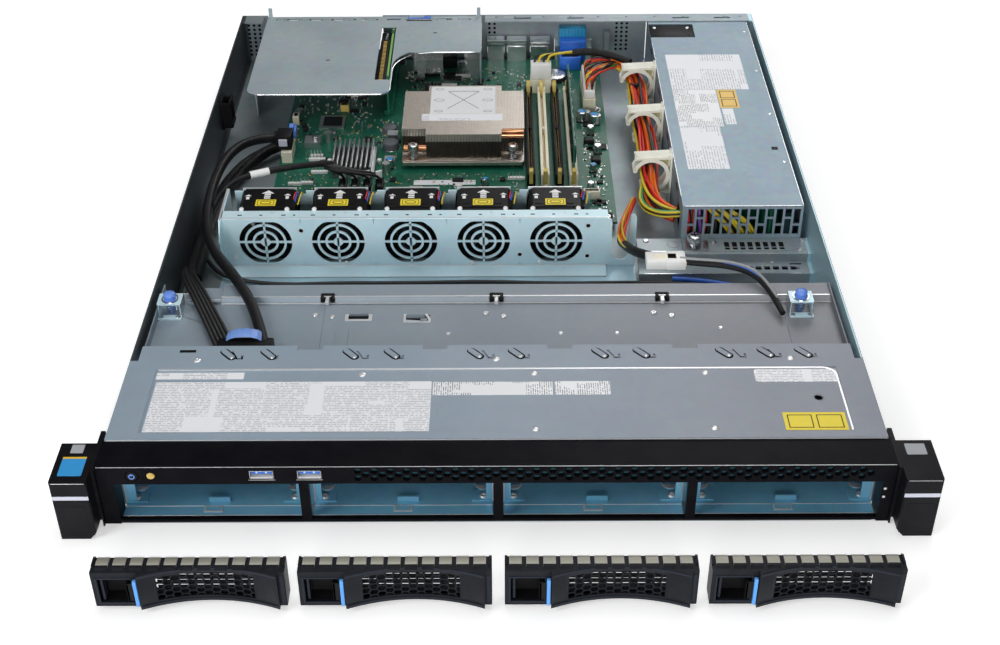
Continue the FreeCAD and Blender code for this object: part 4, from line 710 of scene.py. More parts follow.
def frontCables():
    # thick sleeved lead from the board's edge, and a flat set of five from the drive cage
    front = smoothLine(routes["front"])
    drive = smoothLine(routes["drive"])
    lines = [(front[::2] + front[-1:], cables["frontSleeve"], "sleeveBlack")]
    across = sideways(drive)
    for number in range(5):
        shift = (number - 2) * cables["driveWire"] * 1.9
        line = []
        for index in range(0, len(drive), 3):
            part = index / (len(drive) - 1)
            side, up = across[index]
            line.append(drive[index] + side * shift * (0.55 + 0.45 * part) + up * 1.2 *
                        math.sin(number * 2.1 + 5 * part) * (1 - part))
        lines.append((line, cables["driveWire"], "wireBlack"))
    # wrapped trunk that the flat set comes out of, low along the left wall, and the thin floor lead
    for shift in (0, 1):
        lines.append(([(-207.5 + 3 * shift, 226, 14 - 3 * shift), (-209 + 4 * shift, 246, 11),
                       (-209.5 + 5 * shift, 280, 9.5),
                       (-208 + 5 * shift, 320, 8.5), (-203 + 4 * shift, 360, 8), (-188 + 4 * shift, 396, 9),
                       (-170, 408 + 3 * shift, 10)], 4.2, "sleeveBlack"))
    lines.append(([(-206, 262, 9), (-199, 249, 6), (-186, 236, 4), (-150, 229, 3), (-110, 231.5, 3),
                   (-60, 231, 2.9), (-10, 233, 2.9),
                   (40, 229.5, 3), (90, 230, 3.4), (125, 226.5, 5), (150, 224, 5), (185, 215, 4)], 1.5,
                  "wireBlack"))
    lines.append(([(120, 230.2, 6.4), (140, 227.4, 7.4), (160, 221.5, 6.6)], 1.7, "wireBlue"))
    piece = layWires("frontLeads", "chassis", lines)
    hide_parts("front_cables")
    s = Shape()
    s.block((-168.5, 389, 17.5), (-157, 404, 29), 0.8, segments=2)
    s.block((-166.5, 388.2, 21), (-160, 389.4, 27), 0.3, paint=1)
    s.block((-171, 392, 20), (-167, 401, 28), 0.5)
    s.block((-170, 110, 32), (-136, 122, 39), 0.9, segments=2)
    for x in range(-166, -138, 4):
        s.block((x, 109.2, 33.5), (x + 2, 112, 37.5), 0.2)
    s.block((-160, 404, 24), (-156.6, 409, 30), 0.5, paint=2, segments=2)
    s.block((-167, 107.5, 31.6), (-139.5, 123, 38.4), 0.9, segments=2)
    s.done("frontLeadPlugs", "chassis", ["socketBlack", "stripeLilac", "touchBlue"], "cable_jacket")
    # woven pull ribbon arched over the plug that enters the drive cage
    arch = Shape()
    steps = 8
    turns = [math.pi * step / steps for step in range(steps + 1)]
    bend = [(-154 - 11.6 * math.cos(turn), 122.6, 37 + 5.2 * math.sin(turn)) for turn in turns]
    for start, end in zip(bend, bend[1:]):
        arch.rod(start, end, 0.5, sides=8)
    bmesh.ops.scale(arch.bm, vec=(1, 9, 1), space=Matrix.Translation((0, -122.6, 0)), verts=arch.bm.verts)
    arch.done("frontPullTab", "chassis", ["tabBlue"], "blue_plastic", smooth=60)


def dataCable():
    run = smoothLine(routes["data"])
    lines = [(run[:-9:2], cables["dataSleeve"], "sleeveBlack")]
    lines.append(([run[2], run[0], run[0] + (run[0] - run[2]).normalized() * 4, Vector((-204, 289, 23)),
                   Vector((-206, 280, 13))], 2.4, "sleeveBlack"))
    start = run[-14]
    for number in range(4):
        x = -113.5 + 9 * number
        top = Vector((x, 340, 19))
        lines.append(([start + Vector((0, (number - 1.5) * 1.6, 0)),
                       (start + top) / 2 + Vector((0, -3 - number, 5)),
                       top + Vector((0, -3, 9)), top], cables["pairWire"], "wireBlack"))
        lines.append(([start + Vector((0, (number - 1.5) * 1.6, -1.6)),
                       (start + top) / 2 + Vector((0, -4 - number, 3.4)),
                       top + Vector((1.4, -4.6, 8)), top + Vector((1.4, -1.6, 0))], cables["pairWire"],
                      "wireBlack"))
    piece = layWires("driveLeads", "chassis", lines)
    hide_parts("drive_data_cable")
    s = Shape()
    for number in range(4):
        x = -116 + 9 * number
        s.block((x - 0.6, 331, 15.3), (x + 5.6, 346, 19.4), 0.5, segments=2)
        s.block((x + 0.6, 335, 19.2), (x + 4.4, 343, 23), 0.5, segments=2)
        s.block((x + 1.2, 331.6, 19.3), (x + 3.8, 335.5, 20.4), 0.2, paint=2)
        s.block((x + 0.2, 336.6, 23.4), (x + 4.8, 338, 29.5), 0.2, paint=1,
                turn=Matrix.Rotation(0.15 * number, 4, "Z"))
    s.done("driveLeadPlugs", "chassis", ["socketBlack", "whiteNylon", "plated"], "cable_jacket")
    tag = Shape()
    middle = run[len(run) // 3]
    way = (run[len(run) // 3 + 1] - middle).normalized()
    tag.rod(middle - way * 7, middle + way * 7, cables["dataSleeve"] + 0.45, sides=20)
    tag.done("driveLeadTag", "chassis", ["whiteNylon"], "cream_plastic", smooth=40)


def powerHarness():
    supply, lid = smoothLine(routes["supply"]), smoothLine(routes["lid"])
    lines = bundleLines(supply[:-8], cables["supply"]) + bundleLines(lid[len(lid) * 5 // 8:-16],
                                                                     cables["lid"])
    lines.append((lid[:len(lid) * 2 // 3:2], cables["lidSleeve"], "sleeveBlack"))
    # second set of leads that leaves the supply lower down and joins the bundle
    for number, paint in enumerate(("wireYellow", "wireBlack", "wireYellow", "wireBlack", "wireYellow",
                                    "wireGreen", "wireBlack")):
        lift, wide = 1.6 * (number % 3), 1.5 * (number // 3)
        lines.append(([(130, 281 + wide, 25 + lift), (122, 281 + wide, 24 + lift),
                       (112, 286 + 1.4 * wide, 22 + lift),
                       (104 + wide, 296, 21 + lift), (102 + wide, 312, 22 + 0.6 * lift),
                       (107 + wide, 330, 25)], 0.9, paint))
    # leads of the long plug leave the bundle one after another
    colours = ["wireOrange", "wireRed", "wireBlack", "wireYellow", "wireOrange", "wireBlack", "wireRed",
               "wireGreen", "wireBlack", "wireRed", "wireYellow", "wireGrey"]
    rng = random.Random(21)
    for row in range(2):
        for number in range(12):
            pin = Vector((72.4 + 4.2 * row, 468.5 + 3.9 * number, 26.5))
            root = Vector((96 + rng.uniform(-2, 4), 506 + rng.uniform(-4, 3), 31 + rng.uniform(-2, 3)))
            rise = pin + Vector((rng.uniform(0, 2), rng.uniform(-1, 2), 6 + 1.6 * row + rng.uniform(0, 3)))
            lean = (rise + root) / 2 + Vector((rng.uniform(-1, 3), rng.uniform(-3, 1), rng.uniform(0.5, 4)))
            lines.append(([pin, pin + Vector((0, 0, 3)), rise, lean, root], 0.8,
                          colours[(number + 5 * row) % 12]))
    for number in range(4):
        pin = Vector((31 + 3.6 * number, 503.8, 33))
        lines.append(([pin, pin + Vector((0, 0.5, 3.2)), pin + Vector((3.0, 4, 6.5)),
                       lid[-18] + Vector((0, 0, number * 0.5 - 0.5))], 1.0,
                      "wireYellow" if number % 2 else "wireBlack"))
    piece = layWires("powerLeads", "chassis", lines)
    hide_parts("power_harness")
    s = Shape()
    s.block((70, 466, 20.3), (79, 513, 26.4), 0.5, paint=1, segments=2)
    for number in range(12):
        for row in range(2):
            y, x = 466.9 + 3.88 * number, 70.6 + 4.1 * row
            s.block((x, y, 26.2), (x + 3.7, y + 3.3, 27), 0.25, paint=1)
    s.block((79, 484, 19), (80.3, 495, 27), 0.4, segments=2)
    s.block((27.8, 499.6, 20.3), (44.7, 508.7, 33.4), 0.5, paint=1, segments=2)
    s.block((31.5, 508.4, 19), (41, 509.6, 27), 0.4, paint=1, segments=2)
    for number in range(4):
        s.block((28.9 + 3.7 * number, 500.4, 33.2), (31.9 + 3.7 * number, 503.4, 34.0), 0.25, paint=1)
        s.block((28.9 + 3.7 * number, 504.8, 33.2), (31.9 + 3.7 * number, 507.8, 34.0), 0.25, paint=1)
        s.block((28.9 + 3.7 * number, 499.2, 10), (31.0 + 3.7 * number, 499.8, 17), 0.2)
    s.done("powerPlugs", "chassis", ["creamNylon", "whiteNylon"], "cream_plastic")
    ties = Shape()
    for index in (26, 62):
        spot = supply[index]
        way = (supply[index + 1] - spot).normalized()
        ties.rod(spot - way * 1.3, spot + way * 1.3, 5.5, sides=20)
        ties.block(spot + Vector((-6.6, -1.6, 2)), spot + Vector((-4, 1.6, 5)), 0.4)
    ties.done("powerTies", "chassis", ["wireBlack"], "cable_jacket", smooth=40)


def panelCable():
    run = smoothLine(routes["panel"])
    half = len(run) * 62 // 100
    lines = bundleLines(run[:half], cables["panel"])
    lines.append((run[half * 58 // 100:half * 96 // 100:2], 3.3, "sleeveBlack"))
    lines.append((run[half::3] + run[-1:], 1.9, "sleeveBlack"))
    drift = [spot + Vector((0.4, 2.4 * math.sin(0.2 * index), 2.2 + 0.6 * math.cos(0.15 * index))) for index,
             spot in enumerate(run[half::4])]
    lines.append((drift, 1.0, "wireGrey"))
    tape = [spot + Vector((0.2, 1.5, 1.3))
            for spot in run[half + (len(run) - half) // 3:-(len(run) - half) // 4:4]]
    lines.append((tape, 1.2, "wireBlue"))
    piece = layWires("panelLeads", "chassis", lines)
    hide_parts("panel_cable")
    s = Shape()
    s.block((98, 199, 35), (112.5, 211, 41.6), 0.6, segments=2)
    s.block((111.6, 198.6, 34.8), (124, 211.4, 42), 0.7, segments=2)
    s.block((103, 202, 41.4), (118, 208, 42.0), 0.2, paint=1)
    for y in (201, 204, 207):
        s.block((123.8, y - 0.9, 37), (124.6, y + 0.9, 40), 0.1, paint=1)
    s.done("panelPlug", "chassis", ["whiteNylon", "creamNylon"], "cream_plastic")


frontCables()
dataCable()
powerHarness()
panelCable()
print("cables")


# front end: fillers, ears, bezel and the bays behind it

def soften(names, width, segments=2):
    # moulded and folded edges catch the light
    for name in names:
        weld = nodes[name].modifiers.new("weld", "WELD")
        weld.merge_threshold = 0.000002
        bevel = nodes[name].modifiers.new("edges", "BEVEL")
        bevel.width = width / 1000
        bevel.segments = segments
        bevel.limit_method = "ANGLE"
        bevel.angle_limit = math.radians(35)
        bevel.use_clamp_overlap = True
        bevel.harden_normals = True


filler = {
    "bow": 97.36, "middle": 10.25, "sag": 7.0, "half": 50.2, "height": 24.6,
    "window": (-17.0, 4.0, 33.5, 20.6),
    "cell": (4.06, 4.1), "bar": 0.75, "mesh": 1.0, "sink": 0.35, "step": 3.0,
    "finger": {"first": -47.8, "pitch": 8.85, "width": 6.4, "count": 11,
               "bend": [(6.6, 0.02), (7.0, 0.45), (7.9, 0.92), (9.6, 1.08), (11.6, 0.94), (12.9, 0.6),
                        (13.95, 0.02)]},
    "pocket": (-47.2, 2.8, -29.2, 19.8), "slats": ((1.6, 8.6), (9.7, 12.3), (13.2, 16.2), (17.2, 24.0)),
    "lip": {"left": -25.4, "length": 71.3, "steps": 22, "levels": ((22.6, 1.5), (1.4, 0.9))},
}


def wallFront(x):
    # the handle's concave front, as a distance behind the filler's foremost line
    away = x - filler["middle"]
    return filler["sag"] - filler["bow"] + math.sqrt(filler["bow"] ** 2 - away ** 2)


def honeycomb(shape, window, cell, bar, thick, depthAt, paint=0):
    # hexagons that share their walls, inset, opened and given a thickness, then laid along the curve
    low, foot, high, top = window
    across, up = cell
    radius = across / 1.5
    squash = up / (math.sqrt(3) * radius)
    before = set(shape.bm.verts)
    cells = []
    for column in range(-1, int((high - low) / across) + 2):
        for row in range(-1, int((top - foot) / up) + 2):
            x = low + across * (column + 0.4)
            z = foot + up * (row + 0.4 + (0.5 if column % 2 else 0))
            ring = [(x + radius * math.cos(math.pi * turn / 3),
                     z + squash * radius * math.sin(math.pi * turn / 3))
                    for turn in range(6)]
            cells.append(shape.bm.faces.new([shape.bm.verts.new((spot[0], 0, spot[1])) for spot in ring]))
    made = [vert for vert in shape.bm.verts if vert not in before]
    bmesh.ops.remove_doubles(shape.bm, verts=made, dist=0.01)
    walls = bmesh.ops.inset_individual(shape.bm, faces=cells, thickness=bar / 2)["faces"]
    bmesh.ops.delete(shape.bm, geom=cells, context="FACES")
    raised = bmesh.ops.extrude_face_region(shape.bm, geom=walls)["geom"]
    backs = [item for item in raised if isinstance(item, bmesh.types.BMVert)]
    bmesh.ops.translate(shape.bm, verts=backs, vec=(0, thick, 0))
    made = [vert for vert in shape.bm.verts if vert not in before]
    # cells past the window's edge end inside the wall's thickness
    for vert in made:
        vert.co.x = min(max(vert.co.x, low - 0.6), high + 0.6)
        vert.co.z = min(max(vert.co.z, foot - 0.6), top + 0.6)
        vert.co.y += depthAt(vert.co.x)
    shape.paint(made, paint)
    bmesh.ops.dissolve_degenerate(shape.bm, dist=0.001,
                                  edges=list({edge for vert in made for edge in vert.link_edges}))
    made = [vert for vert in made if vert.is_valid]
    bmesh.ops.recalc_face_normals(shape.bm, faces=list({face for vert in made for face in vert.link_faces}))
    return made


def makeFiller(number):
    body = "filler_%d" % number
    low, high = corners(body)
    x, y, z = (low.x + high.x) / 2, low.y, low.z
    s = Shape()
    honeycomb(s, filler["window"], filler["cell"], filler["bar"], filler["mesh"],
              lambda spot: wallFront(spot) + filler["sink"], 0)
    # lip that follows the handle's top, and a second along its foot, in a bluish black that paints the
    # reflection on the face
    lip = filler["lip"]
    for level, tall in lip["levels"]:
        for step in range(lip["steps"]):
            a, b = (lip["left"] + lip["length"] * value / lip["steps"] for value in (step, step + 1))
            at, bt = wallFront(a), wallFront(b)
            verts = [s.bm.verts.new(spot)
                     for spot in ((a, max(at - 0.34, 0.02), level), (b, max(bt - 0.34, 0.02), level),
                                  (b, bt + 0.3, level), (a, at + 0.3, level))]
            face = s.bm.faces.new(verts)
            raised = bmesh.ops.extrude_face_region(s.bm, geom=[face])["geom"]
            tops = [item for item in raised if isinstance(item, bmesh.types.BMVert)]
            bmesh.ops.translate(s.bm, verts=tops, vec=(0, 0, tall))
            s.paint(verts + tops, 1)
    # recess beside the handle: frame, back and sloping floor
    left, foot, right, top = filler["pocket"]
    step = filler["step"]
    for a, b in (((left, step - 0.35, foot - 1.1), (right, step + 0.4, foot)),
                 ((left, step - 0.35, top), (right, step + 0.4, top + 1.1)),
                 ((left - 1.1, step - 0.35, foot - 1.1), (left, step + 0.4, top + 1.1)),
                 ((right, step - 0.35, foot - 1.1), (right + 0.5, step + 0.4, top + 1.1))):
        s.block(a, b, 0.15, paint=1)
    s.block((left + 0.1, step + 8.6, foot), (right - 0.1, step + 9.2, top), 0, paint=2)
    s.block((left - 0.5, step + 0.4, foot - 0.4), (left + 0.2, step + 9, top + 0.4), 0, paint=2)
    s.block((right - 0.2, step + 0.4, foot - 0.4), (right + 0.5, step + 9, top + 0.4), 0, paint=2)
    for level in (foot - 0.5, top - 0.1):
        s.block((left, step + 0.5, level), (right, step + 9, level + 0.6), 0, paint=2)
    s.block((left + 1.2, step + 1.0, foot + 1.0), (left + 2.6, step + 6.0, top - 1.2), 0.2, paint=1)
    # dark slats behind the mesh, which let a little light through between them
    for low, high in filler["slats"]:
        s.block((filler["window"][0] - 1, 9.4, low), (filler["window"][2] + 1, 10.0, high), 0, paint=2)
    # ribs on the right shoulder
    s.block((47.3, step - 0.3, 2.2), (49.4, step + 0.2, 22), 0.2, paint=1)
    for vert in s.bm.verts:
        vert.co += Vector((x, y, z))
    s.done("fillerFront_%d" % number, body, ["fillerBlack", "fillerFace", "pocketBlack"], "black_plastic",
           smooth=25)
    # sprung earthing fingers along the top, their carrier strip and the end tabs
    f = filler["finger"]
    g = Shape()
    for index in range(f["count"]):
        start = x + f["first"] + f["pitch"] * index
        line = [(y + a, z + filler["height"] + b) for a, b in f["bend"]]
        g.prism(line, start - 0.05, start + f["width"] + 0.05, 0, 0.0)
        g.block((start + 0.2, y + 13.75, z + 16.5),
                (start + f["width"] - 0.2, y + 14.05, z + filler["height"] + 0.1), 0.0, 0)
        g.block((start - 0.05, y + 13.4, z + filler["height"] + 0.28),
                (start + f["width"] + 0.05, y + 14.05, z + filler["height"] + 0.62), 0.1, 1)
    for edge in (x - filler["half"] + 0.05, x + filler["half"] - 1.5):
        g.block((edge, y + 7.4, z + 23.6), (edge + 1.4, y + 14.0, z + filler["height"] + 1.0), 0.15, 2)
        g.block((edge + 0.4, y + 13.2, z + 23.6), (edge + 1.0, y + 14.0, z + filler["height"] + 1.05), 0.1, 1)
    g.done("fillerFingers_%d" % number, body, ["fingerSteel", "fingerEdge", "fillerBlack"], "zinc_steel",
           smooth=25)
    # upright release strip with its rib and hook
    body = "filler_latch_%d" % number
    a, b = corners(body)
    k = Shape()
    k.block((b.x - 2.1, a.y + 0.1, a.z), (b.x - 0.1, a.y + 2.4, b.z), 0.4, segments=2)
    for index in range(3):
        k.block((b.x - 1.7, a.y, a.z + 5 + 3.4 * index), (b.x - 0.5, a.y + 0.3, a.z + 6.2 + 3.4 * index), 0.2)
    k.block((a.x, a.y + 1.5, a.z + 3), (b.x - 1.9, a.y + 2.4, b.z - 2.8), 0.2, paint=1)
    k.block((a.x, a.y + 1.5, a.z + 3), (a.x + 1.4, b.y, b.z - 2.8), 0.25, paint=1)
    piece = k.done("fillerRelease_%d" % number, body, ["releaseBlue", "pocketBlack"], "blue_plastic",
                   smooth=25)
    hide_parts(body)


def makeEar(side):
    word = "left" if side < 0 else "right"
    left, right = sorted((221.0 * side, 241.3 * side))
    s = Shape()
    # pale stripe let into the groove, running round the outer side
    s.block((left + 0.4, -12.05, 29.15), (right - 0.25, -11.55, 31.85), 0.12)
    # name plate left plain, with a hairline frame
    s.plate(rounded(left + 3.2, 6, right - 3.2, 24.5, 1.2), 0.18, 1, facing(-11.95), 0.06)
    # painted highlight as a pale rim on the top edge, and vertical moulding lines
    s.block((left + 1.2, -12.12, 41.0), (right - 1.0, -11.7, 41.35), 0.1, paint=2)
    for spot in (left + 1.0, right - 1.5):
        s.block((spot, -12.1, 3), (spot + 0.5, -11.7, 27.8), 0.12, paint=1)
    # retaining screw in the tab, and a washer on the ear's inner wall
    s.screw((side * 221.9, 26, 12), 2.6, 0.9, (side, 0, 0), 3)
    s.screw((side * 221.9, 26, 31), 2.6, 0.9, (side, 0, 0), 3)
    s.done("earTrim_" + word, "chassis",
           ["stripeLilac", "earBlack", "edgeWhite", "plated"], "black_plastic")
    k = Shape()
    if side < 0:
        k.plate(rounded(left + 3.6, -6.5, right - 3.6, 7.5, 0.8), 0.12, 0, flatOn(42.0))
        k.plate(rounded(left + 3.6, 7.5, right - 3.6, 9.0, 0.3), 0.12, 1, flatOn(42.0))
        k.plate(rounded(left + 6.5, 12.2, left + 13.5, 19.2, 0.4), 0.12, 2, flatOn(42.0))
    else:
        k.plate(rounded(left + 4.6, 8.5, right - 4.6, 17.5, 0.6), 0.12, 2, flatOn(42.0))
    k.done("earStickers_" + word, "chassis",
           ["stickerBlue", "stickerOrange", "paperGrey"], "blue_plastic", smooth=0)
    # grip ribs on the sprung thumb pad
    r = Shape()
    for index in range(7):
        z = 9.2 + 2.35 * index
        r.block((side * 240.85, -4.4, z), (side * 241.28, 6.4, z + 1.1), 0.12)
    r.done("earGrip_" + word, "rack_latch_" + word, ["earBlack"], "black_plastic", smooth=25)


panel = {"power": (-199.4, 35.7), "locator": (-189.1, 35.7), "usb": [-128.4, -102.2], "usbHalf": 6.6,
         "usbLow": 33.4}


def makePanel():
    x, z = panel["power"]
    s = Shape()
    s.lathe([(0, -0.42), (2.0, -0.42), (2.9, -0.3), (3.15, 0.1), (3.15, 2.5), (3.9, 2.55), (3.9, 3.4),
             (1.2, 3.4), (1.2, 8.2), (0, 8.2)],
            (x, 0, z), (0, 1, 0), 32, 0)
    s.lathe([(1.15, -0.42), (1.3, -0.62), (1.65, -0.62), (1.8, -0.42), (1.65, -0.3), (1.3, -0.3),
             (1.15, -0.42)],
            (x, 0, z), (0, 1, 0), 28, 1)
    s.block((x - 0.22, -0.64, z + 0.4), (x + 0.22, -0.4, z + 2.1), 0.05, paint=1)
    piece = s.done("powerKnob", "power_button", ["socketBlack", "touchBlue"], "blue_plastic")
    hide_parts("power_button")
    x, z = panel["locator"]
    k = Shape()
    k.lathe([(0, -0.45), (1.2, -0.36), (2.0, -0.1), (2.35, 0.4), (2.35, 2.5), (3.1, 2.55), (3.1, 3.4),
             (1.2, 3.4), (1.2, 8.2), (0, 8.2)],
            (x, 0, z), (0, 1, 0), 28, 0)
    piece = k.done("locatorLens", "locator_button", ["lensGold"], "amber_plastic")
    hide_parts("locator_button")
    t = Shape()
    # ring round each button, pale lines along the band's top edges as painted highlight, a dark teal strip
    # behind the vents as painted shade, lights in the right post
    for (x, z), radius in ((panel["power"], 3.9), (panel["locator"], 3.0)):
        t.lathe([(radius - 0.35, 0.02), (radius - 0.25, -0.22), (radius + 0.15, -0.22), (radius + 0.3, 0.02)],
                (x, 0, z), (0, 1, 0), 30, 0)
    t.block((-218.4, 0.45, 41.5), (218.4, 0.95, 41.72), 0.06, paint=1)
    t.block((-217.5, 22.02, 41.9), (217.5, 22.35, 42.5), 0.08, paint=1)
    t.block((-84, 3.2, 31.0), (212, 3.6, 41.0), 0, paint=6)
    for level in (18.5, 24.5):
        t.lathe([(0, -0.2), (0.7, -0.15), (1.0, 0.1)], (214.3, 0, level), (0, 1, 0), 12, 1)
    for x in panel["usb"]:
        # shell rim, tongue and contacts
        low, half = panel["usbLow"], panel["usbHalf"]
        for a, b in (((x - half, 0.1, low), (x + half, 0.6, low + 0.5)),
                     ((x - half, 0.1, low + 5.3), (x + half, 0.6, low + 5.8)),
                     ((x - half, 0.1, low), (x - half + 0.5, 0.6, low + 5.8)),
                     ((x + half - 0.5, 0.1, low), (x + half, 0.6, low + 5.8))):
            t.block(a, b, 0.1, paint=3)
        t.block((x - half + 0.9, 0.8, low + 3.0), (x + half - 0.9, 12, low + 5.1), 0.15, paint=4)
        for index in range(4):
            t.block((x - 4.2 + 2.5 * index, 1.0, low + 2.8), (x - 3.2 + 2.5 * index, 10, low + 3.02), 0,
                    paint=3)
        t.block((x - half + 0.6, 0.4, low + 0.5), (x + half - 0.6, 11, low + 0.9), 0.1, paint=5)
        for spot in (-2.6, 2.6):
            t.lathe([(0, -0.12), (0.5, -0.1), (0.65, 0.05)], (x + spot, 0.8, low + 4.1), (0, 1, 0), 10, 5)
        t.block((x - half - 0.8, -0.03, low - 0.9), (x + half + 0.8, 0.25, low - 0.55), 0.08, paint=5)
    t.done("panelTrim", "chassis", ["bezelBlack", "edgeWhite", "tealDark", "plated", "portBlue", "whiteNylon",
                                    "ventTeal"], "screw_steel")


bay = {"first": -159.4, "pitch": 107.0, "half": 50.8, "floor": 2.8}


def makeBays():
    s = Shape()
    for index in range(4):
        c = bay["first"] + bay["pitch"] * index
        floor = bay["floor"]
        # lip behind the sill and a line across the floor in pale painted highlight, and the bent centre tab,
        # also pale, with its hole
        s.block((c - 50.3, 3.1, 2.5), (c + 50.3, 3.7, 3.2), 0.12, paint=1)
        s.block((c - 50.3, 3.7, 2.4), (c + 50.3, 141, 2.86), 0)
        s.block((c - 50.3, 11.0, 2.8), (c + 50.3, 11.5, 3.12), 0.1, paint=1)
        s.block((c - 5.6, 6.0, 2.8), (c + 5.2, 11.2, 3.2), 0.15, paint=1)
        s.block((c - 4.6, 7.2, 3.1), (c + 4.2, 10.2, 3.22), 0.05)
        for side in (-1, 1):
            edge = c + side * 50.0
            inward = -side
            # foot plate with a crescent cut out of its inner edge
            arc = [(edge + inward * (11.5 - 5.2 * math.sin(math.pi * step / 10)), 22 + 9 * step / 10)
                   for step in range(11)]
            outline = [(edge, 14.3),
                       (edge + inward * 11.5, 14.3)] + arc + [(edge + inward * 11.5, 34), (edge, 34)]
            outline = outline if side > 0 else outline[::-1]
            s.plate(outline[::-1], 0.9, 0, flatOn(floor + 0.02))
            s.block((edge, 15.6, floor), (edge + inward * 0.9, 41, 13.5), 0.2)
            s.screw((edge + inward * 4.9, 17.6, floor + 0.9), 2.3, 1.2, paint=1)
            moon = [(edge + inward * 5.4 + 4.6 * math.cos(a), 27.4 - 4.4 * math.sin(a))
                    for a in [math.pi * step / 10 for step in range(11)]]
            s.plate(moon + [(2 * (edge + inward * 5.4) - px, py + 2.6 * (1 - abs(index - 5) / 5) + 1.2)
                            for index, (px, py) in enumerate(moon)],
                    0.5, 1, flatOn(floor + 0.9))
            s.block((edge, 41, 8.4), (edge + inward * 3.6, 146, 9.3), 0.15)
            s.block((edge + inward * 0.2, 41, floor), (edge + inward * 1.0, 146, 9.3), 0.1)
            # pale upright strip on the divider's front edge, painted highlight
            s.block((c + side * 50.75, 14.2, floor), (c + side * 49.9, 14.9, 29.4), 0.1, paint=1)
        # ribs pressed in the bay's floor, and dark contacts on the backplane's connector
        for spot in (-28, -10, 14, 30):
            s.block((c + spot, 52, floor), (c + spot + 5, 128, floor + 0.45), 0.2)
        s.block((c - 21, 142.6, 9.4), (c + 20, 143.2, 11.2), 0.1, paint=2)
        s.block((c - 19, 142.5, 11.9), (c - 4, 143.1, 13.4), 0.1, paint=2)
        s.block((c + 1, 142.5, 11.9), (c + 18, 143.1, 13.4), 0.1, paint=2)
    s.done("bayFittings", "chassis", ["baySteel", "edgeWhite", "socketBlack"], "zinc_steel", smooth=25)


soften(numbered("filler_%d", 4), 0.3)
soften(["ear_left", "ear_right"], 0.5)
soften(["drive_deck", "riser_cage", "psu_bracket"], 0.25, 1)
for number in range(1, 5):
    makeFiller(number)
makeEar(-1)
makeEar(1)
makePanel()
makeBays()
print("front end")

# cover, drive deck and plungers

def printed(name, look):
    # paper with broken grey lines where a label has its small print, in blocks with bare margins
    g = Finish(name)
    across, along = g.axis(look["across"]), g.axis(look["along"])
    line = abs(across % look["pitch"] - look["pitch"] / 2) < look["pitch"] * 0.22
    row = g.node("Math", {"operation": "FLOOR"}, {0: across / look["pitch"]})
    spot = g.node("CombineXYZ", {}, {0: along * 0.001, 1: row * 0.0077})
    words = g.node("TexNoise", {}, {"Vector": spot, "Scale": 620.0, "Detail": 2.0, "Roughness": 0.7}) > 0.46
    patch = g.node("CombineXYZ", {}, {0: along, 1: across})
    blocks = g.node("TexVoronoi", {"distance": "CHEBYCHEV"},
                    {"Vector": patch, "Scale": 1 / look["block"], "Randomness": 0.8})
    zone = blocks < look.get("cover", 0.47)
    ink = line * words * zone * look["ink"]
    body = g.mix(ink, look["paper"], look["print"])
    return g.shine(Base_Color=body, Roughness=0.42 + 0.1 * g.noise(g.space(), 2, 2), Coat_Weight=0.15,
                   Normal=g.bump(g.noise(g.space(), 1.4, 2), 0.02, 0.3))


finishes["labelFlat"] = printed("labelFlat", {"across": "Y", "along": "X", "pitch": 1.55, "block": 26,
                                              "ink": 0.55, "cover": 0.50,
                                              "paper": (0.86, 0.87, 0.90), "print": (0.20, 0.22, 0.26)})
finishes["labelDeep"] = printed("labelDeep", {"across": "X", "along": "Y", "pitch": 2.0, "block": 27,
                                              "ink": 0.6, "cover": 0.50,
                                              "paper": (0.82, 0.84, 0.88), "print": (0.22, 0.24, 0.28)})
finishes["labelBars"] = printed("labelBars",
                                {"across": "X", "along": "Y", "pitch": 1.3, "block": 14, "ink": 0.8,
                                 "paper": (0.86, 0.87, 0.89), "print": (0.12, 0.13, 0.15)})

cover = {"top": 43.0, "panel": 42.6,
         "slots": (-160.8, -136.8, -87.6, -62.9, -13, 11.5, 61.5, 86.2, 135.6, 160.5, 183),
         "dimples": ((-78.6, 80.3), (22.3, 80.8), (122.9, 80.8), (22.0, 30.2), (122.5, 30.7), (-178, 94),
                     (0, 94), (175, 94))}


def capsule(centre, length, width, angle):
    spots, steps = [], 7
    for end, start in ((1, -90), (-1, 90)):
        for step in range(steps + 1):
            turn = math.radians(start + 180 * step / steps)
            x = end * (length - width) / 2 + width / 2 * math.cos(turn)
            y = width / 2 * math.sin(turn)
            spots.append((centre[0] + x * math.cos(angle) - y * math.sin(angle),
                          centre[1] + x * math.sin(angle) + y * math.cos(angle)))
    return spots


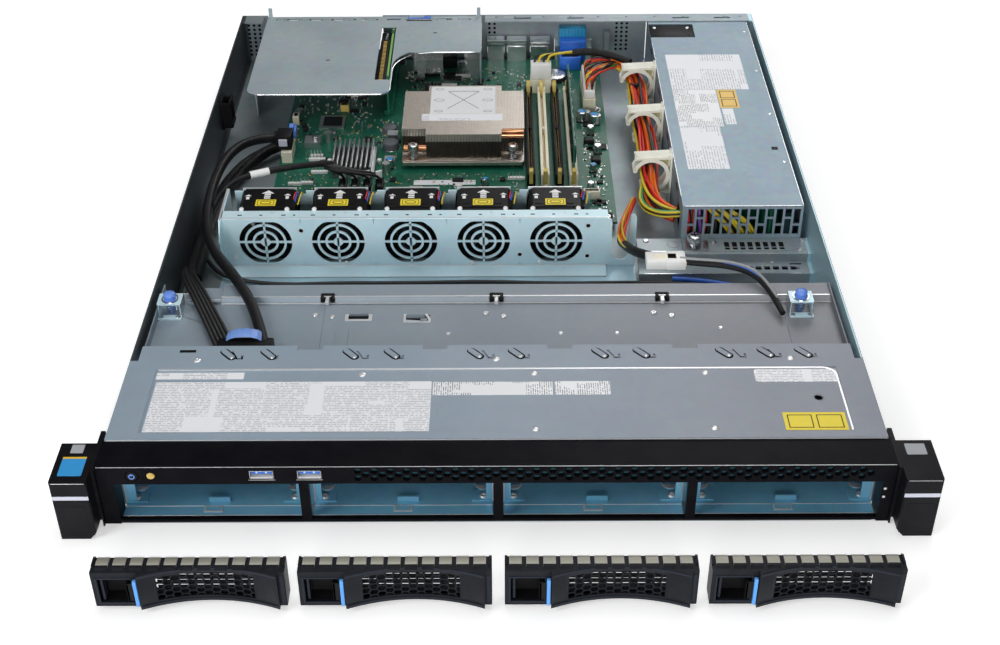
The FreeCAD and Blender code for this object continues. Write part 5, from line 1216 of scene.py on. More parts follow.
def makeCover():
    s = Shape()
    top, panel = cover["top"], cover["panel"]
    slant = math.radians(-48)
    for x in cover["slots"]:
        # dark capsule under each slot as painted shade, the raised steel over it, and a pale dot beside it
        s.plate(capsule((x + 0.6, 99.4), 13.0, 5.6, slant), 0.06, 2, flatOn(top + 0.01))
        s.plate(capsule((x + 0.3, 99.9), 11.6, 3.6, slant), 0.22, 0, flatOn(top + 0.06), 0.1)
        s.lathe([(0, 0.55), (0.6, 0.5), (1.0, 0.2), (1.1, 0.0)], (x + 3.1, 96.2, top + 0.2), steps=10,
                paint=1)
    # dimples, pale as painted highlight
    for x, y in cover["dimples"]:
        level = panel if y < 85.5 else top
        s.lathe([(0, 0.25), (0.9, 0.2), (1.2, 0.5), (1.9, 0.35), (2.3, 0.0)], (x, y, level), steps=16,
                paint=1)
    # painted highlight as a pale rim round the recessed panel, rounded at the rear right
    rim = [(-199.5, 85.6), (192, 85.6)] + [(192 + 8 * math.sin(a), 77.6 + 8 * math.cos(a)) for a in
                                           [math.pi / 2 * step / 6
                                            for step in range(1, 7)]] + [(200.2, 28.4)]
    inner = [(x - (1.1 if x > 195 else 0.4 if x > 191 else 0), y - (1.1 if y > 84 else 0.5 if y > 79 else 0))
             for x, y in rim]
    for a, b, c, d in zip(rim, rim[1:], inner[1:], inner):
        s.plate([d, c, b, a], 0.45, 1, flatOn(panel - 0.02))
    s.block((-200.4, 28, panel - 0.02), (-199.6, 85.6, panel + 0.42), 0.1)
    # punched mark on the rear lip, dark as painted shade, and the small raised latch marks
    s.block((-189.8, 101.5, top), (-180, 104, top + 0.1), 0.05, paint=2)
    s.lathe([(2.3, 0.0), (2.6, 0.25), (3.1, 0.2), (3.3, 0.0)], (185.3, 57.3, panel), steps=24)
    s.done("coverMarks", "chassis", ["coverSteel", "edgeWhite", "slotDark"], "zinc_steel")
    k = Shape()
    for outline, paint in ((rounded(-198.5, 28.8, -37.6, 73.6, 0.8), 0),
                           (rounded(-200, 76.3, -148, 82.4, 0.5), 0),
                           (rounded(-36.8, 60.8, 32.8, 72.9, 0.4), 1),
                           (rounded(34.1, 60.8, 66.2, 73.2, 0.4), 1),
                           (rounded(151.4, 71.9, 200.0, 83.8, 2.0), 0),
                           (rounded(162.3, 28.6, 197.6, 44.1, 0.4), 2)):
        k.plate(outline, 0.10, paint, flatOn(panel), 0.03)
    # dark key lines printed round the two halves of the yellow sticker
    for left, right in ((164.5, 178.5), (181.0, 195.5)):
        for a, b in outlineBars(left, 30.6, right, 42.0, 0.6):
            k.block((*a, panel + 0.08), (*b, panel + 0.125), 0, paint=3)
    k.done("coverLabels", "chassis", ["labelFlat", "labelBars", "stickerYellow", "inkBlack"], "cream_plastic",
           smooth=0)


deck = {"top": 30.8, "bar": 34.8, "hooks": (-108, 0, 106)}


def makeDeck():
    s = Shape()
    top, bar = deck["top"], deck["bar"]
    for x in deck["hooks"]:
        # dark clasp with a silver tongue through it, and the pair of screws in front
        s.block((x - 4.4, 167.4, bar - 2.6), (x - 2.2, 173.4, bar + 0.5), 0.5, paint=2, segments=2)
        s.block((x + 2.2, 167.4, bar - 2.6), (x + 4.4, 173.4, bar + 0.5), 0.5, paint=2, segments=2)
        s.block((x - 4.4, 171.6, bar - 1.4), (x + 4.4, 173.8, bar + 0.6), 0.5, paint=2, segments=2)
        s.block((x - 1.3, 165.2, bar - 3.2), (x + 1.3, 173, bar - 0.2), 0.35, paint=1)
        for dx, dy in ((-6.5, 155.8), (4.6, 152.6)):
            s.screw((x + dx, dy, top + 0.8 if -109 < x + dx < 182 else top), 1.9, 0.9, paint=1)
    # the crossbar steps down to pass under the leads, and pale strips of painted highlight along its folds
    s.block((-198, 168.2, top - 0.1), (-175.8, 183.8, 32.6), 0.15)
    s.block((-198, 170.2, 32.5), (-176, 171.2, 32.72), 0.08, paint=1)
    s.block((-176, 170.2, bar - 0.05), (214, 171.2, bar + 0.16), 0.08, paint=1)
    s.block((-176, 167.2, top + 0.2), (214, 167.9, top + 1.1), 0.08, paint=1)
    s.block((-214, 179.4, top - 0.02), (-177, 180.0, top + 0.4), 0.08, paint=1)
    # lifted tabs at the two openings of the deck, each with a pale rim as painted highlight and a black plate
    # as painted shade in the opening
    s.plate(rounded(-95.6, 148.4, -78.4, 155.6, 0.8), 0.2, 1, flatOn(top + 0.8), 0.08)
    s.plate(rounded(-93.4, 150.2, -80.6, 153.8, 0.6), 0.26, 2, flatOn(top + 0.8))
    s.block((-93, 153.2, top + 0.6), (-81, 154.4, top + 3.2), 0.3)
    s.plate([(-58.6, 146.4), (-41.4, 146.4), (-41.4, 150.2), (-43.6, 155.6), (-58.6, 155.6)], 0.2, 1,
            flatOn(top + 0.8), 0.08)
    s.plate([(-57, 149.4), (-43, 147.8), (-43, 150), (-45, 154), (-57, 154)], 0.28, 2, flatOn(top + 0.8))
    s.block((-56.5, 150.6, top + 0.6), (-45, 151.8, top + 4.4), 0.3)
    s.block((-48, 147.4, top + 0.6), (-43.4, 150.6, top + 1.5), 0.3)
    # stiffening beads and rivets on the open plate
    for x in (-30, 40, 75, 140):
        s.lathe([(0, 0.5), (1.0, 0.42), (1.6, 0.0)], (x, 140 - (x % 7), top + 0.8), steps=12, paint=1)
    s.plate(rounded(20, 118, 96, 122, 1.8), 0.35, 0, flatOn(top + 0.8), 0.15)
    s.plate(rounded(-100, 112, -92, 140, 1.8), 0.35, 0, flatOn(top + 0.8), 0.15)
    # side rails of the cage, folded up beside the case walls
    for side in (-1, 1):
        s.block((side * 214.6, 112, top), (side * 213.6, 182, top + 6), 0.2)
        s.block((side * 214.6, 176, top), (side * 209, 182, top + 1.2), 0.2)
    s.done("deckDetails", "chassis", ["deckSteel", "edgeWhite", "socketBlack"], "zinc_steel")


def makePlungers():
    for side, x in (("left", -206.5), ("right", 192.6)):
        y = 161.0
        s = Shape()
        s.lathe([(0, 44.95), (2.2, 44.9), (3.4, 44.5), (3.9, 43.7), (3.9, 43.0), (3.3, 42.6), (3.3, 42.1),
                 (3.9, 41.8), (3.9, 40.45), (1.8, 40.4), (1.8, 24.85), (0, 24.85)],
                (x, y, 0), steps=32)
        piece = s.done("plungerKnob_" + side, "plunger_" + side, ["touchBlue"], "blue_plastic", smooth=40)
        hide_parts("plunger_" + side)
        k = Shape()
        # coil spring under the bracket's bridge, rivets and a bent stop
        k.spring(x, y, 31.4, 38.4, 2.9, 0.35, 4, 40)
        for dx in (-5.4, 5.4):
            k.screw((x + dx, y - 8, 31.8), 1.5, 0.7)
        k.lathe([(4.7, 0), (4.7, 0.5), (5.3, 0.5), (5.5, 0.0)], (x, y, 40.3), steps=24)
        k.block((x - 7.6, y - 6.2, 31.0), (x - 6.9, y + 6.2, 40.2), 0.2)
        k.block((x + 6.9, y - 6.2, 31.0), (x + 7.6, y + 6.2, 40.2), 0.2)
        k.done("plungerFittings_" + side, "chassis", ["plated"], "zinc_steel", smooth=40)


# fans and their cage

fans = {
    "first": -159.6, "pitch": 50.2, "axis": 21.5, "front": 264.4, "depth": 28.0,
    "cage": {"front": 254.5, "wall": 1.0, "left": -189.0, "right": 96.0, "floor": 1.2, "top": 41.0,
             "rear": 293.0},
    "rings": ((14.5, 12.9), (9.0, 7.4)), "hole": 18.2, "clip": (4.4, 37.9),
    "hub": 10.5, "tip": 16.9, "duct": 18.9, "blades": 7,
}


def ringPlate(shape, outer, inner, y, thick, paint=0):
    # a flat band between two outlines in X and Z that have the same number of points
    front = [[shape.bm.verts.new((x, level, z)) for x, z in line] for line in (outer, inner)
             for level in (y, y + thick)]
    a, c, b, d = front
    made = []
    for i in range(len(a)):
        j = (i + 1) % len(a)
        made += [shape.bm.faces.new(four) for four in ((a[i], a[j], b[j], b[i]), (c[j], c[i], d[i], d[j]),
                                                       (a[j], a[i], c[i], c[j]), (b[i], b[j], d[j], d[i]))]
    for face in made:
        face.material_index = paint
    bmesh.ops.recalc_face_normals(shape.bm, faces=made)
    return a + b + c + d


def roundLine(x, z, radius, sides=48, low=-1e3, high=1e3):
    turns = [2 * math.pi * side / sides for side in range(sides)]
    return [(x + radius * math.cos(turn), min(max(z + radius * math.sin(turn), low), high)) for turn in turns]


def squareLine(x, z, half, rise, power):
    # a square that is rounded at its corners; a high power leaves them nearly sharp
    spots, sides = [], 48
    for side in range(sides):
        c, s = math.cos(2 * math.pi * side / sides), math.sin(2 * math.pi * side / sides)
        reach = (abs(c) ** power + abs(s) ** power) ** (-1 / power)
        spots.append((x + half * reach * c, z + rise * reach * s))
    return spots


def makeFanCage():
    c = fans["cage"]
    y, t, floor, top = c["front"], c["wall"], c["floor"], c["top"]
    s = Shape()
    low, high = fans["clip"]
    middle, rise = (floor + top - 1.2) / 2, (top - 1.2 - floor) / 2
    for index in range(5):
        x = fans["first"] + fans["pitch"] * index
        z = fans["axis"]
        ringPlate(s, squareLine(x, middle, fans["pitch"] / 2, rise, 60),
                  roundLine(x, z, fans["hole"], 48, low, high), y, t)
        for outer, inner in fans["rings"]:
            ringPlate(s, roundLine(x, z, outer), roundLine(x, z, inner), y, t)
        s.plate(roundLine(0, 0, 3.5, 8), t, 0,
                Matrix.Translation((x, 0, z)) @ facing(y + t) @ Matrix.Rotation(math.radians(22.5), 4, "Z"))
        s.block((x - 0.75, y, low - 0.5), (x + 0.75, y + t, high + 0.5), 0.08)
        s.block((x - fans["hole"] - 0.5, y + 0.02, z - 0.75),
                (x + fans["hole"] + 0.5, y + t - 0.02, z + 0.75), 0.08)
    s.block((c["left"], y, floor), (fans["first"] - fans["pitch"] / 2 + 0.1, y + t, top - 1.2), 0)
    # right end with the deep U cut and its lug
    right = fans["first"] + fans["pitch"] * 4.5 - 0.1
    cut = arcSpots(85.5, 12, 6, 0, -180, 12)
    outline = [(right, floor), (96, floor), (96, 40.5), (95, 42.6), (93.2, 43.2), (91.9, 42.2),
               (91.5, 40)] + cut + \
        [(79.5, 36.5), (78.2, 39.4), (76.0, 39.8), (right, 39.8)]
    s.plate(outline, t, 0, facing(y + t), 0.12)
    s.plate([(91.5, 13), (92.3, 13), (92.6, 41.4), (93.4, 43.1), (92.2, 42.6), (91.5, 40)], 3.2, 1,
            facing(y + 1.2), 0.1)
    # folded top with the guards' slots as dark marks in painted shade, rounded at the bend, with a pale strip
    # of painted highlight along the bend
    bend = [(y, 39.7), (y, 40.2), (y + 0.25, 40.75), (y + 0.8, top), (y + 9.7, top), (y + 9.7, top - 1),
            (y + 1.2, top - 1), (y + 1.0, 39.7)]
    s.prism(bend, c["left"], 76.4, 0)
    s.block((c["left"] + 0.5, y + 0.1, 40.5), (76, y + 0.8, 41.12), 0.1, paint=1)
    for index in range(5):
        x = fans["first"] + fans["pitch"] * index
        for dx, width in ((-18, 3), (-3, 2), (12, 3), (20, 1.6)):
            s.block((x + dx, y + 3.4, top - 0.1), (x + dx + width, y + 4.6, top + 0.04), 0, paint=2)
        s.screw((x + 5.5, y + 6.2, top), 1.0, 0.4, paint=1)
    # foot folded forwards, with pale strips of painted highlight along its edges, and its rivets
    s.block((c["left"] + 4, y - 14, floor), (76, y + 0.1, floor + 0.8), 0.1)
    s.block((c["left"] + 4, y - 14.2, floor + 0.5), (76, y - 13.6, floor + 0.95), 0.06, paint=1)
    s.block((c["left"] + 4, y - 0.9, floor + 0.7), (76, y - 0.1, floor + 1.2), 0.1, paint=1)
    for x, z in ((-181.8, 9.5), (-104.5, 4.2), (-16.7, 4.2), (30, 4.2)):
        s.screw((x, y, z), 1.6, 0.7, (0, -1, 0), 1)
    # holes with a pale ring as painted highlight and a dark middle as painted shade
    for x, z in ((-134.4, 30.9), (16.0, 10.6), (62.9, 34.1), (62.9, 9.2)):
        ringPlate(s, roundLine(x, z, 2.0, 20), roundLine(x, z, 1.45, 20), y - 0.12, 0.2, 1)
        s.plate(roundLine(x, z, 1.5, 20), 0.04, 2, facing(y))
    # rear wall: posts, sill and lintel of each outlet; and the end plate with its curled edge
    for index in range(5):
        x, rear = fans["first"] + fans["pitch"] * index, c["rear"]
        s.block((x - 25.1, rear, floor), (x - 18, rear + t, top - 1.6), 0.15)
        s.block((x + 18, rear, floor), (x + 25.1, rear + t, top - 4.4), 0.15)
        s.block((x - 18.2, rear, floor), (x + 18.2, rear + t, 3.5), 0.1)
        s.block((x - 19, rear, 38.3), (x + 19, rear + t, top + 0.5), 0.2)
        # pale strip of painted highlight along the lintel's top
        s.block((x - 19, rear - 0.1, top + 0.3), (x + 19, rear + t + 0.1, top + 0.75), 0.1, paint=1)
    s.block((c["left"], y - 2, floor), (c["left"] + 1, y + 39.5, top), 0.2)
    curl = arcSpots(y - 8, 27, 2.2, 90, 270, 10)
    s.prism([(y, floor), (y, top), (y - 2, top), (y - 8, 29.2)] + curl + [(y - 8, floor)], c["left"] - 1.0,
            c["left"])
    # pale strip of painted highlight along the end plate's top
    s.block((c["left"] - 1.1, y - 2, top - 0.2), (c["left"] + 0.3, y + 39, top + 0.35), 0.12, paint=1)
    piece = s.done("fanCageSheet", "chassis", ["cageSteel", "edgeWhite", "slotDark"], "zinc_steel", smooth=20)
    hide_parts("fan_cage")


def arrow(shape, x, y, z, width, length, bars, paint):
    # a plain arrow that points to the rear, with its stem broken into bars
    half = width / 2
    shape.plate([(-half, 0), (half, 0), (0, half * 0.95)], 0.12, paint, Matrix.Translation((x, y, z)))
    step = length / bars
    for bar in range(bars):
        shape.block((x - half * 0.5, y - step * (bar + 0.85), z),
                    (x + half * 0.5, y - step * bar - step * 0.2, z + 0.12), 0, paint)


def makeFans():
    s = Shape()
    front, depth, axis = fans["front"], fans["depth"], fans["axis"]
    for index in range(5):
        x = fans["first"] + fans["pitch"] * index
        duct = roundLine(x, axis, fans["duct"])
        for y in (front, front + depth - 4.0):
            ringPlate(s, squareLine(x, axis, 20.0, 20.0, 9), duct, y, 4.0)
        ringPlate(s, squareLine(x, axis, 19.7, 19.4, 4.5), duct, front + 3.9, depth - 7.8)
        # carrier over the housing: sloped shoulders, sunk fields and ribs
        s.plate([(x - 18.4, 39.0), (x + 19.6, 39.0), (x + 19.6, 39.6), (x + 17.0, 42.1), (x - 16.0, 42.1),
                 (x - 18.4, 39.9)],
                depth - 3.4, 0, facing(front + depth - 1.4), 0.3)
        for a, b in (((x - 14.5, front + 6), (x - 9.6, front + 9)),
                     ((x + 7.2, front + 6), (x + 12.2, front + 9)),
                     ((x - 8.2, front + 3.0), (x + 7.2, front + 3.8)),
                     ((x - 15.2, front + 18.6), (x - 13.8, front + 24))):
            s.block((*a, 42.0), (*b, 42.45), 0.15)
        for dx in (-16.2, 15.2):
            s.lathe([(0, 1.1), (1.2, 0.95), (1.75, 0.3), (1.75, -0.6)], (x + dx, front + 1.0, 41.6), steps=14,
                    paint=1)
        # struts and the bearing's disc behind the rotor
        rear = front + depth
        s.block((x - 1.3, rear - 2.0, axis + 9), (x + 1.3, rear - 0.05, axis + 19.1), 0.2)
        for turn in (180, 270, 360):
            middle, way = Vector((x, rear - 1.0, axis)), Vector((math.cos(math.radians(turn)), 0,
                                                                 math.sin(math.radians(turn))))
            s.rod(middle + way * 9, middle + way * 19.1, 1.0, sides=8)
        ringPlate(s, roundLine(x, axis, 10.4), roundLine(x, axis, 1.56), rear - 2.0, 1.95)
    piece = s.done("fanHousings", "chassis", ["fanBlack", "whiteNylon"], "black_plastic", smooth=28)
    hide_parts("fan_frames")
    k = Shape()
    for index in range(5):
        x = fans["first"] + fans["pitch"] * index
        top = 42.1
        arrow(k, x - 0.2, front + 20.8, top, 8.6, 7.2, 3, 1)
        arrow(k, x - 13.6, front + 17.4, top, 4.6, 5.0, 1, 1)
        arrow(k, x + 13.8, front + 18.2, top, 4.6, 5.2, 1, 1)
        k.plate(rounded(x - 7.4, front + 4.4, x + 6.6, front + 12.6, 0.4), 0.14, 0, flatOn(top), 0.04)
        for a, b in outlineBars(x - 6.2, front + 5.4, x + 5.4, front + 11.6, 0.4):
            k.block((*a, top + 0.12), (*b, top + 0.17), 0, paint=2)
        k.plate(capsule((x - 0.4, front + 8.5), 7.6, 3.6, 0.0), 0.05, 2, flatOn(top + 0.12))
        k.plate(capsule((x - 0.4, front + 8.5), 6.4, 2.4, 0.0), 0.08, 0, flatOn(top + 0.12))
    k.done("fanMarks", "chassis", ["stickerYellow", "whiteNylon", "inkBlack"], "cream_plastic", smooth=0)
    for index in range(5):
        x = fans["first"] + fans["pitch"] * index
        makeRotor(index + 1, x)
    # each fan's leads climb over its right shoulder and run back to the board
    lines = []
    rng = random.Random(5)
    for index in range(5):
        x = fans["first"] + fans["pitch"] * index
        for number, paint in enumerate(("wireRed", "wireBlue", "wireBlack", "wireYellow")):
            drift = rng.uniform(-0.6, 0.6)
            dx = 18.0 + 1.25 * number
            lines.append(([(x + dx - 0.6, front + 12, 38.2), (x + dx + drift, front + 15, 41.4),
                           (x + dx + 0.6, front + 20 + drift, 42.2 - 0.5 * number),
                           (x + dx + 1.0, front + 26, 40.8),
                           (x + dx + 1.6 + drift, front + 34, 30), (x + dx + 1.0, front + 41, 14)], 0.5,
                          paint))
    layWires("fanLeads", "chassis", lines, sides=2)
    plugs = Shape()
    for index in range(5):
        x = fans["first"] + fans["pitch"] * index + 18
        plugs.block((x, front + 38.5, 8), (x + 7.5, front + 43.5, 15.5), 0.4)
        plugs.block((x - 0.5, front + 37.9, 8), (x + 8.0, front + 44, 11.5), 0.3, paint=1)
    plugs.done("fanPlugs", "chassis", ["whiteNylon", "socketBlack"], "cream_plastic")


def makeRotor(number, x):
    body = "fan_rotor_%d" % number
    front, axis, hub = fans["front"], fans["axis"], fans["hub"]
    s = Shape()
    s.lathe([(0, 3.0), (hub - 2.4, 3.05), (hub - 0.9, 3.5), (hub, 4.6), (hub, 25.85), (1.5, 25.9),
             (1.5, 27.9), (0, 27.9)],
            (x, front, axis), (0, 1, 0), 32)
    # label ring on the hub's face
    s.lathe([(1.0, 2.98), (1.2, 2.9), (6.6, 2.9), (6.8, 3.04)], (x, front, axis), (0, 1, 0), 28, 1)
    across, along = 5, 6
    for blade in range(fans["blades"]):
        base = 2 * math.pi * blade / fans["blades"]
        grid = []
        for i in range(across + 1):
            reach = hub - 0.8 + (fans["tip"] - hub + 0.8) * i / across
            row = []
            for j in range(along + 1):
                part = j / along
                sweep = math.radians((24 + 5 * i / across) * (part - 0.5)) + 0.09 * i / across
                y = front + 5.4 + 18.5 * part + 1.6 * math.sin(math.pi * part) * (1 - 0.4 * i / across)
                angle = base + sweep
                row.append(s.bm.verts.new((x + reach * math.cos(angle), y, axis + reach * math.sin(angle))))
            grid.append(row)
        faces = [s.bm.faces.new((grid[i][j], grid[i + 1][j], grid[i + 1][j + 1], grid[i][j + 1]))
                 for i in range(across) for j in range(along)]
        raised = bmesh.ops.extrude_face_region(s.bm, geom=faces)["geom"]
        backs = [item for item in raised if isinstance(item, bmesh.types.BMVert)]
        middle = base + 0.05
        bmesh.ops.translate(s.bm, verts=backs, vec=(-0.85 * math.sin(middle), -0.25, 0.85 * math.cos(middle)))
        verts = backs + [vert for row in grid for vert in row]
        bmesh.ops.recalc_face_normals(s.bm, faces=list({face for vert in verts if vert.is_valid
                                                  for face in vert.link_faces}))
    piece = s.done("fanRotor_%d" % number, body, ["fanBlack", "chipBlack"], "black_plastic", smooth=35)
    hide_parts(body)


makeCover()
makeDeck()
makePlungers()
makeFanCage()
makeFans()
print("cover, deck and fans")

# system board and what stands on it

board = {"left": -166, "right": 86, "front": 301, "rear": 560, "top": 8.0}
crowd = {
    "keep": ((-76, 370, 25, 468), (19, 343, 66, 496), (-128, 358, -88, 410), (-120, 326, -80, 350),
             (-170, 380, -150, 412),
             (66, 458, 84, 520), (24, 494, 50, 514), (-100, 455, -78, 552), (-76, 545, 90, 575),
             (-146, 436, -118, 462)),
    "seed": 31,
    "batches": 8, "small": 145, "chips": 13, "pins": 3,
}


def freeSpot(rng, size):
    while True:
        x, y = rng.uniform(board["left"] + 3,
                           board["right"] - 3), rng.uniform(board["front"] + 3, board["rear"] - 3)
        if not any(a - size < x < c + size and b - size < y < d + size for a, b, c, d in crowd["keep"]) and \
                not (x < -128 and y > 536):
            return x, y


def capacitor(shape, x, y, radius, height, paints):
    top = board["top"]
    shape.lathe([(0, height), (radius * 0.8, height), (radius, height - 0.5), (radius, 1.6),
                 (radius * 0.92, 1.3), (radius, 1.0), (radius, 0.3),
                 (radius * 0.9, 0)], (x, y, top), steps=18, paint=paints[0])
    shape.plate(roundLine(x, y, radius * 0.78, 16), 0.06, paints[1], flatOn(top + height - 0.01))
    shape.block((x - radius - 0.4, y - radius - 0.4, top), (x + radius + 0.4, y + radius + 0.4, top + 0.8),
                0.3, paint=paints[2])


def makeBoardParts():
    rng = random.Random(crowd["seed"])
    top = board["top"]
    for batch in range(crowd["batches"]):
        s = Shape()
        # chip resistors and capacitors: body with two tinned ends
        for count in range(crowd["small"]):
            x, y = freeSpot(rng, 1.5)
            long = rng.choice((1.0, 1.6, 1.6, 2.2))
            wide = long * 0.52
            a, b = (long, wide) if rng.random() < 0.5 else (wide, long)
            tall = rng.uniform(0.45, 0.9)
            s.block((x - a / 2, y - b / 2, top), (x + a / 2, y + b / 2, top + tall), 0,
                    paint=rng.choice((0, 1, 1, 2)))
            if a > b:
                for end in (x - a / 2 - 0.12, x + a / 2 - long * 0.22):
                    s.block((end, y - b / 2 - 0.04, top),
                            (end + long * 0.22 + 0.12, y + b / 2 + 0.04, top + tall + 0.05), 0, paint=3)
            else:
                for end in (y - b / 2 - 0.12, y + b / 2 - long * 0.22):
                    s.block((x - a / 2 - 0.04, end, top),
                            (x + a / 2 + 0.04, end + long * 0.22 + 0.12, top + tall + 0.05), 0, paint=3)
        # small packages with rows of leads
        for count in range(crowd["chips"]):
            wide, deep = rng.choice(((4, 5), (5, 4), (3, 3), (6, 8), (8, 5), (2.4, 3)))
            x, y = freeSpot(rng, 4)
            s.block((x - wide / 2, y - deep / 2, top + 0.15), (x + wide / 2, y + deep / 2, top + 1.25), 0.12)
            for lead in range(int(deep / 1.27)):
                level = y - deep / 2 + 0.5 + 1.27 * lead
                s.block((x - wide / 2 - 0.9, level, top), (x - wide / 2 + 0.1, level + 0.45, top + 0.6), 0,
                        paint=3)
                s.block((x + wide / 2 - 0.1, level, top), (x + wide / 2 + 0.9, level + 0.45, top + 0.6), 0,
                        paint=3)
            s.lathe([(0, 0.02), (0.25, 0.02), (0.3, 0)], (x - wide / 2 + 0.8, y + deep / 2 - 0.8, top + 1.25),
                    steps=8, paint=1)
        for count in range(crowd["pins"]):
            x, y = freeSpot(rng, 5)
            pins = rng.randint(2, 5)
            s.block((x, y, top), (x + 2.54 * pins, y + 2.5, top + 2.4), 0.2, paint=rng.choice((0, 4)))
            for pin in range(pins):
                s.block((x + 0.95 + 2.54 * pin, y + 0.95, top + 2.3),
                        (x + 1.6 + 2.54 * pin, y + 1.6, top + 6.2), 0.12, paint=3)
        s.done("boardParts_%d" % (batch + 1), "chassis",
               ["chipBlack", "paperGrey", "goldNylon", "plated", "whiteNylon"], "fin_aluminium", smooth=20)
    k = Shape()
    # main controller chips, each with its frame of leads, coils, capacitors and labels
    for x, y, half in ((-131.5, 449.5, 7.5), (-53, 507, 7), (-37, 527, 7)):
        k.block((x - half, y - half, top + 0.3), (x + half, y + half, top + 1.8), 0.2)
        k.block((x - half + 1, y - half + 1, top + 1.7), (x + half - 1, y + half - 1, top + 1.85), 0.05)
        for lead in range(13):
            level = -half + 0.8 + (2 * half - 1.6) * lead / 12.6
            for a, b in (((x - half - 1.6, y + level), (x - half + 0.1, y + level + 0.5)),
                         ((x + half - 0.1, y + level), (x + half + 1.6, y + level + 0.5)),
                         ((x + level, y - half - 1.6), (x + level + 0.5, y - half + 0.1)),
                         ((x + level, y + half - 0.1), (x + level + 0.5, y + half + 1.6))):
                k.block((*a, top), (*b, top + 0.7), 0, paint=1)
    for x, y, r in ((-84.9, 434, 5.6), (-82.7, 410, 6.2)):
        k.lathe([(0, 5.4), (r - 1.2, 5.4), (r - 0.2, 4.9), (r, 4.0), (r, 0)], (x, y, top), steps=28, paint=2)
        ring = [(r + 0.6, 0), (r + 0.9, 0.5), (r + 1.5, 0.5), (r + 1.7, 0)]
        k.lathe(ring, (x, y, top), steps=28, paint=1)
    for x, y, r, high, blue in ((-141.6, 414, 2.6, 8.0, 1), (-81.7, 379, 3.0, 7.6, 3),
                                (68.2, 452, 4.0, 8.4, 3), (77.6, 447, 4.0, 8.4, 3),
                                (-8.7, 352, 2.3, 6.0, 3), (74, 430, 3.0, 7.0, 1), (78, 400, 3.0, 7.0, 1),
                                (73, 372, 2.6, 6.4, 3), (-128, 424, 2.4, 6.4, 1),
                                (-30, 341, 2.4, 6.0, 1), (70, 345, 2.6, 6.4, 1)):
        capacitor(k, x, y, r, high, (1, blue, 0))
    for x, y, wide, deep, high, paint in ((-160.6, 449, 5, 7, 8, 4), (-123.6, 470, 7, 5, 6, 5),
                                          (-160, 425, 4, 12, 6, 4), (72, 415, 8, 6, 4, 0),
                                          (76, 385, 7, 7, 4, 0), (70, 333, 12, 5, 7, 4),
                                          (-60, 341, 9, 4, 5, 4), (10, 332, 4, 9, 5, 0)):
        k.block((x - wide / 2, y - deep / 2, top), (x + wide / 2, y + deep / 2, top + high), 0.35,
                paint=paint, segments=2)
        k.block((x - wide / 2 + 1, y - deep / 2 + 1, top + high - 0.1),
                (x + wide / 2 - 1, y + deep / 2 - 1, top + high + 0.08), 0.05)
    k.plate(rounded(-62.5, 352.6, -16, 359.4, 0.4), 0.12, 6, flatOn(top))
    k.plate(rounded(-80, 316, -40, 324, 0.4), 0.12, 6, flatOn(top))
    # button cell in its holder
    k.lathe([(0, 3.2), (8.6, 3.2), (9.8, 2.8), (10, 1.0)], (48, 528, top), steps=36, paint=1)
    k.lathe([(10.1, 0), (10.1, 2.4), (11.4, 2.4), (11.6, 0)], (48, 528, top), steps=36)
    k.block((36, 524, top), (39.4, 532, top + 4), 0.3)
    # blue latch of the long lead's socket, and two board screws
    k.block((-159.8, 412, top + 6), (-156.4, 424, top + 13), 0.6, paint=7, segments=2)
    for x, y in ((-160, 306), (-40, 306), (80, 306), (80, 470), (-30, 555), (-160, 470), (30, 338)):
        k.lathe([(3.6, 0), (3.7, 0.15), (4.2, 0.15), (4.3, 0)], (x, y, top), steps=20, paint=1)
        k.screw((x, y, top), 3.0, 1.4, paint=1)
    k.done("boardLarge", "chassis", ["chipBlack", "plated", "coilGrey", "stickerBlue", "creamNylon",
                                     "goldNylon", "labelFlat", "touchBlue"],
           "fin_aluminium", smooth=32)
    # chipset heatsink: wavy comb of fins on a foot
    f = Shape()
    f.block((-125, 362, top), (-93, 406, top + 3), 0.3)
    for fin in range(9):
        x = -125 + 3.6 * fin
        f.block((x, 362, top + 2.8), (x + 1.3, 406, top + 10), 0.3, segments=2)
        if fin < 8:
            f.block((x + 1.1, 362, top + 2.9), (x + 3.6, 405, top + 3.2), 0, paint=1)
    for x, y in ((-128, 384), (-90, 384)):
        f.lathe([(0, 4.5), (1.6, 4.2), (2.0, 3.2), (1.2, 2.4), (1.2, 0)], (x, y, top), steps=14, paint=2)
    f.done("chipsetFins", "chassis", ["finAlloy", "chipBlack", "whiteNylon"], "fin_aluminium", smooth=30)


sink = {"left": -72.5, "right": 21.0, "front": 375.0, "rear": 463.0, "seat": 11.5, "base": 14.5, "top": 36.0,
        "corner": 18.0, "pitch": 1.15, "fin": 0.36,
        "screws": ((-63.5, 381), (12.0, 381), (-63.5, 457), (12.0, 457))}


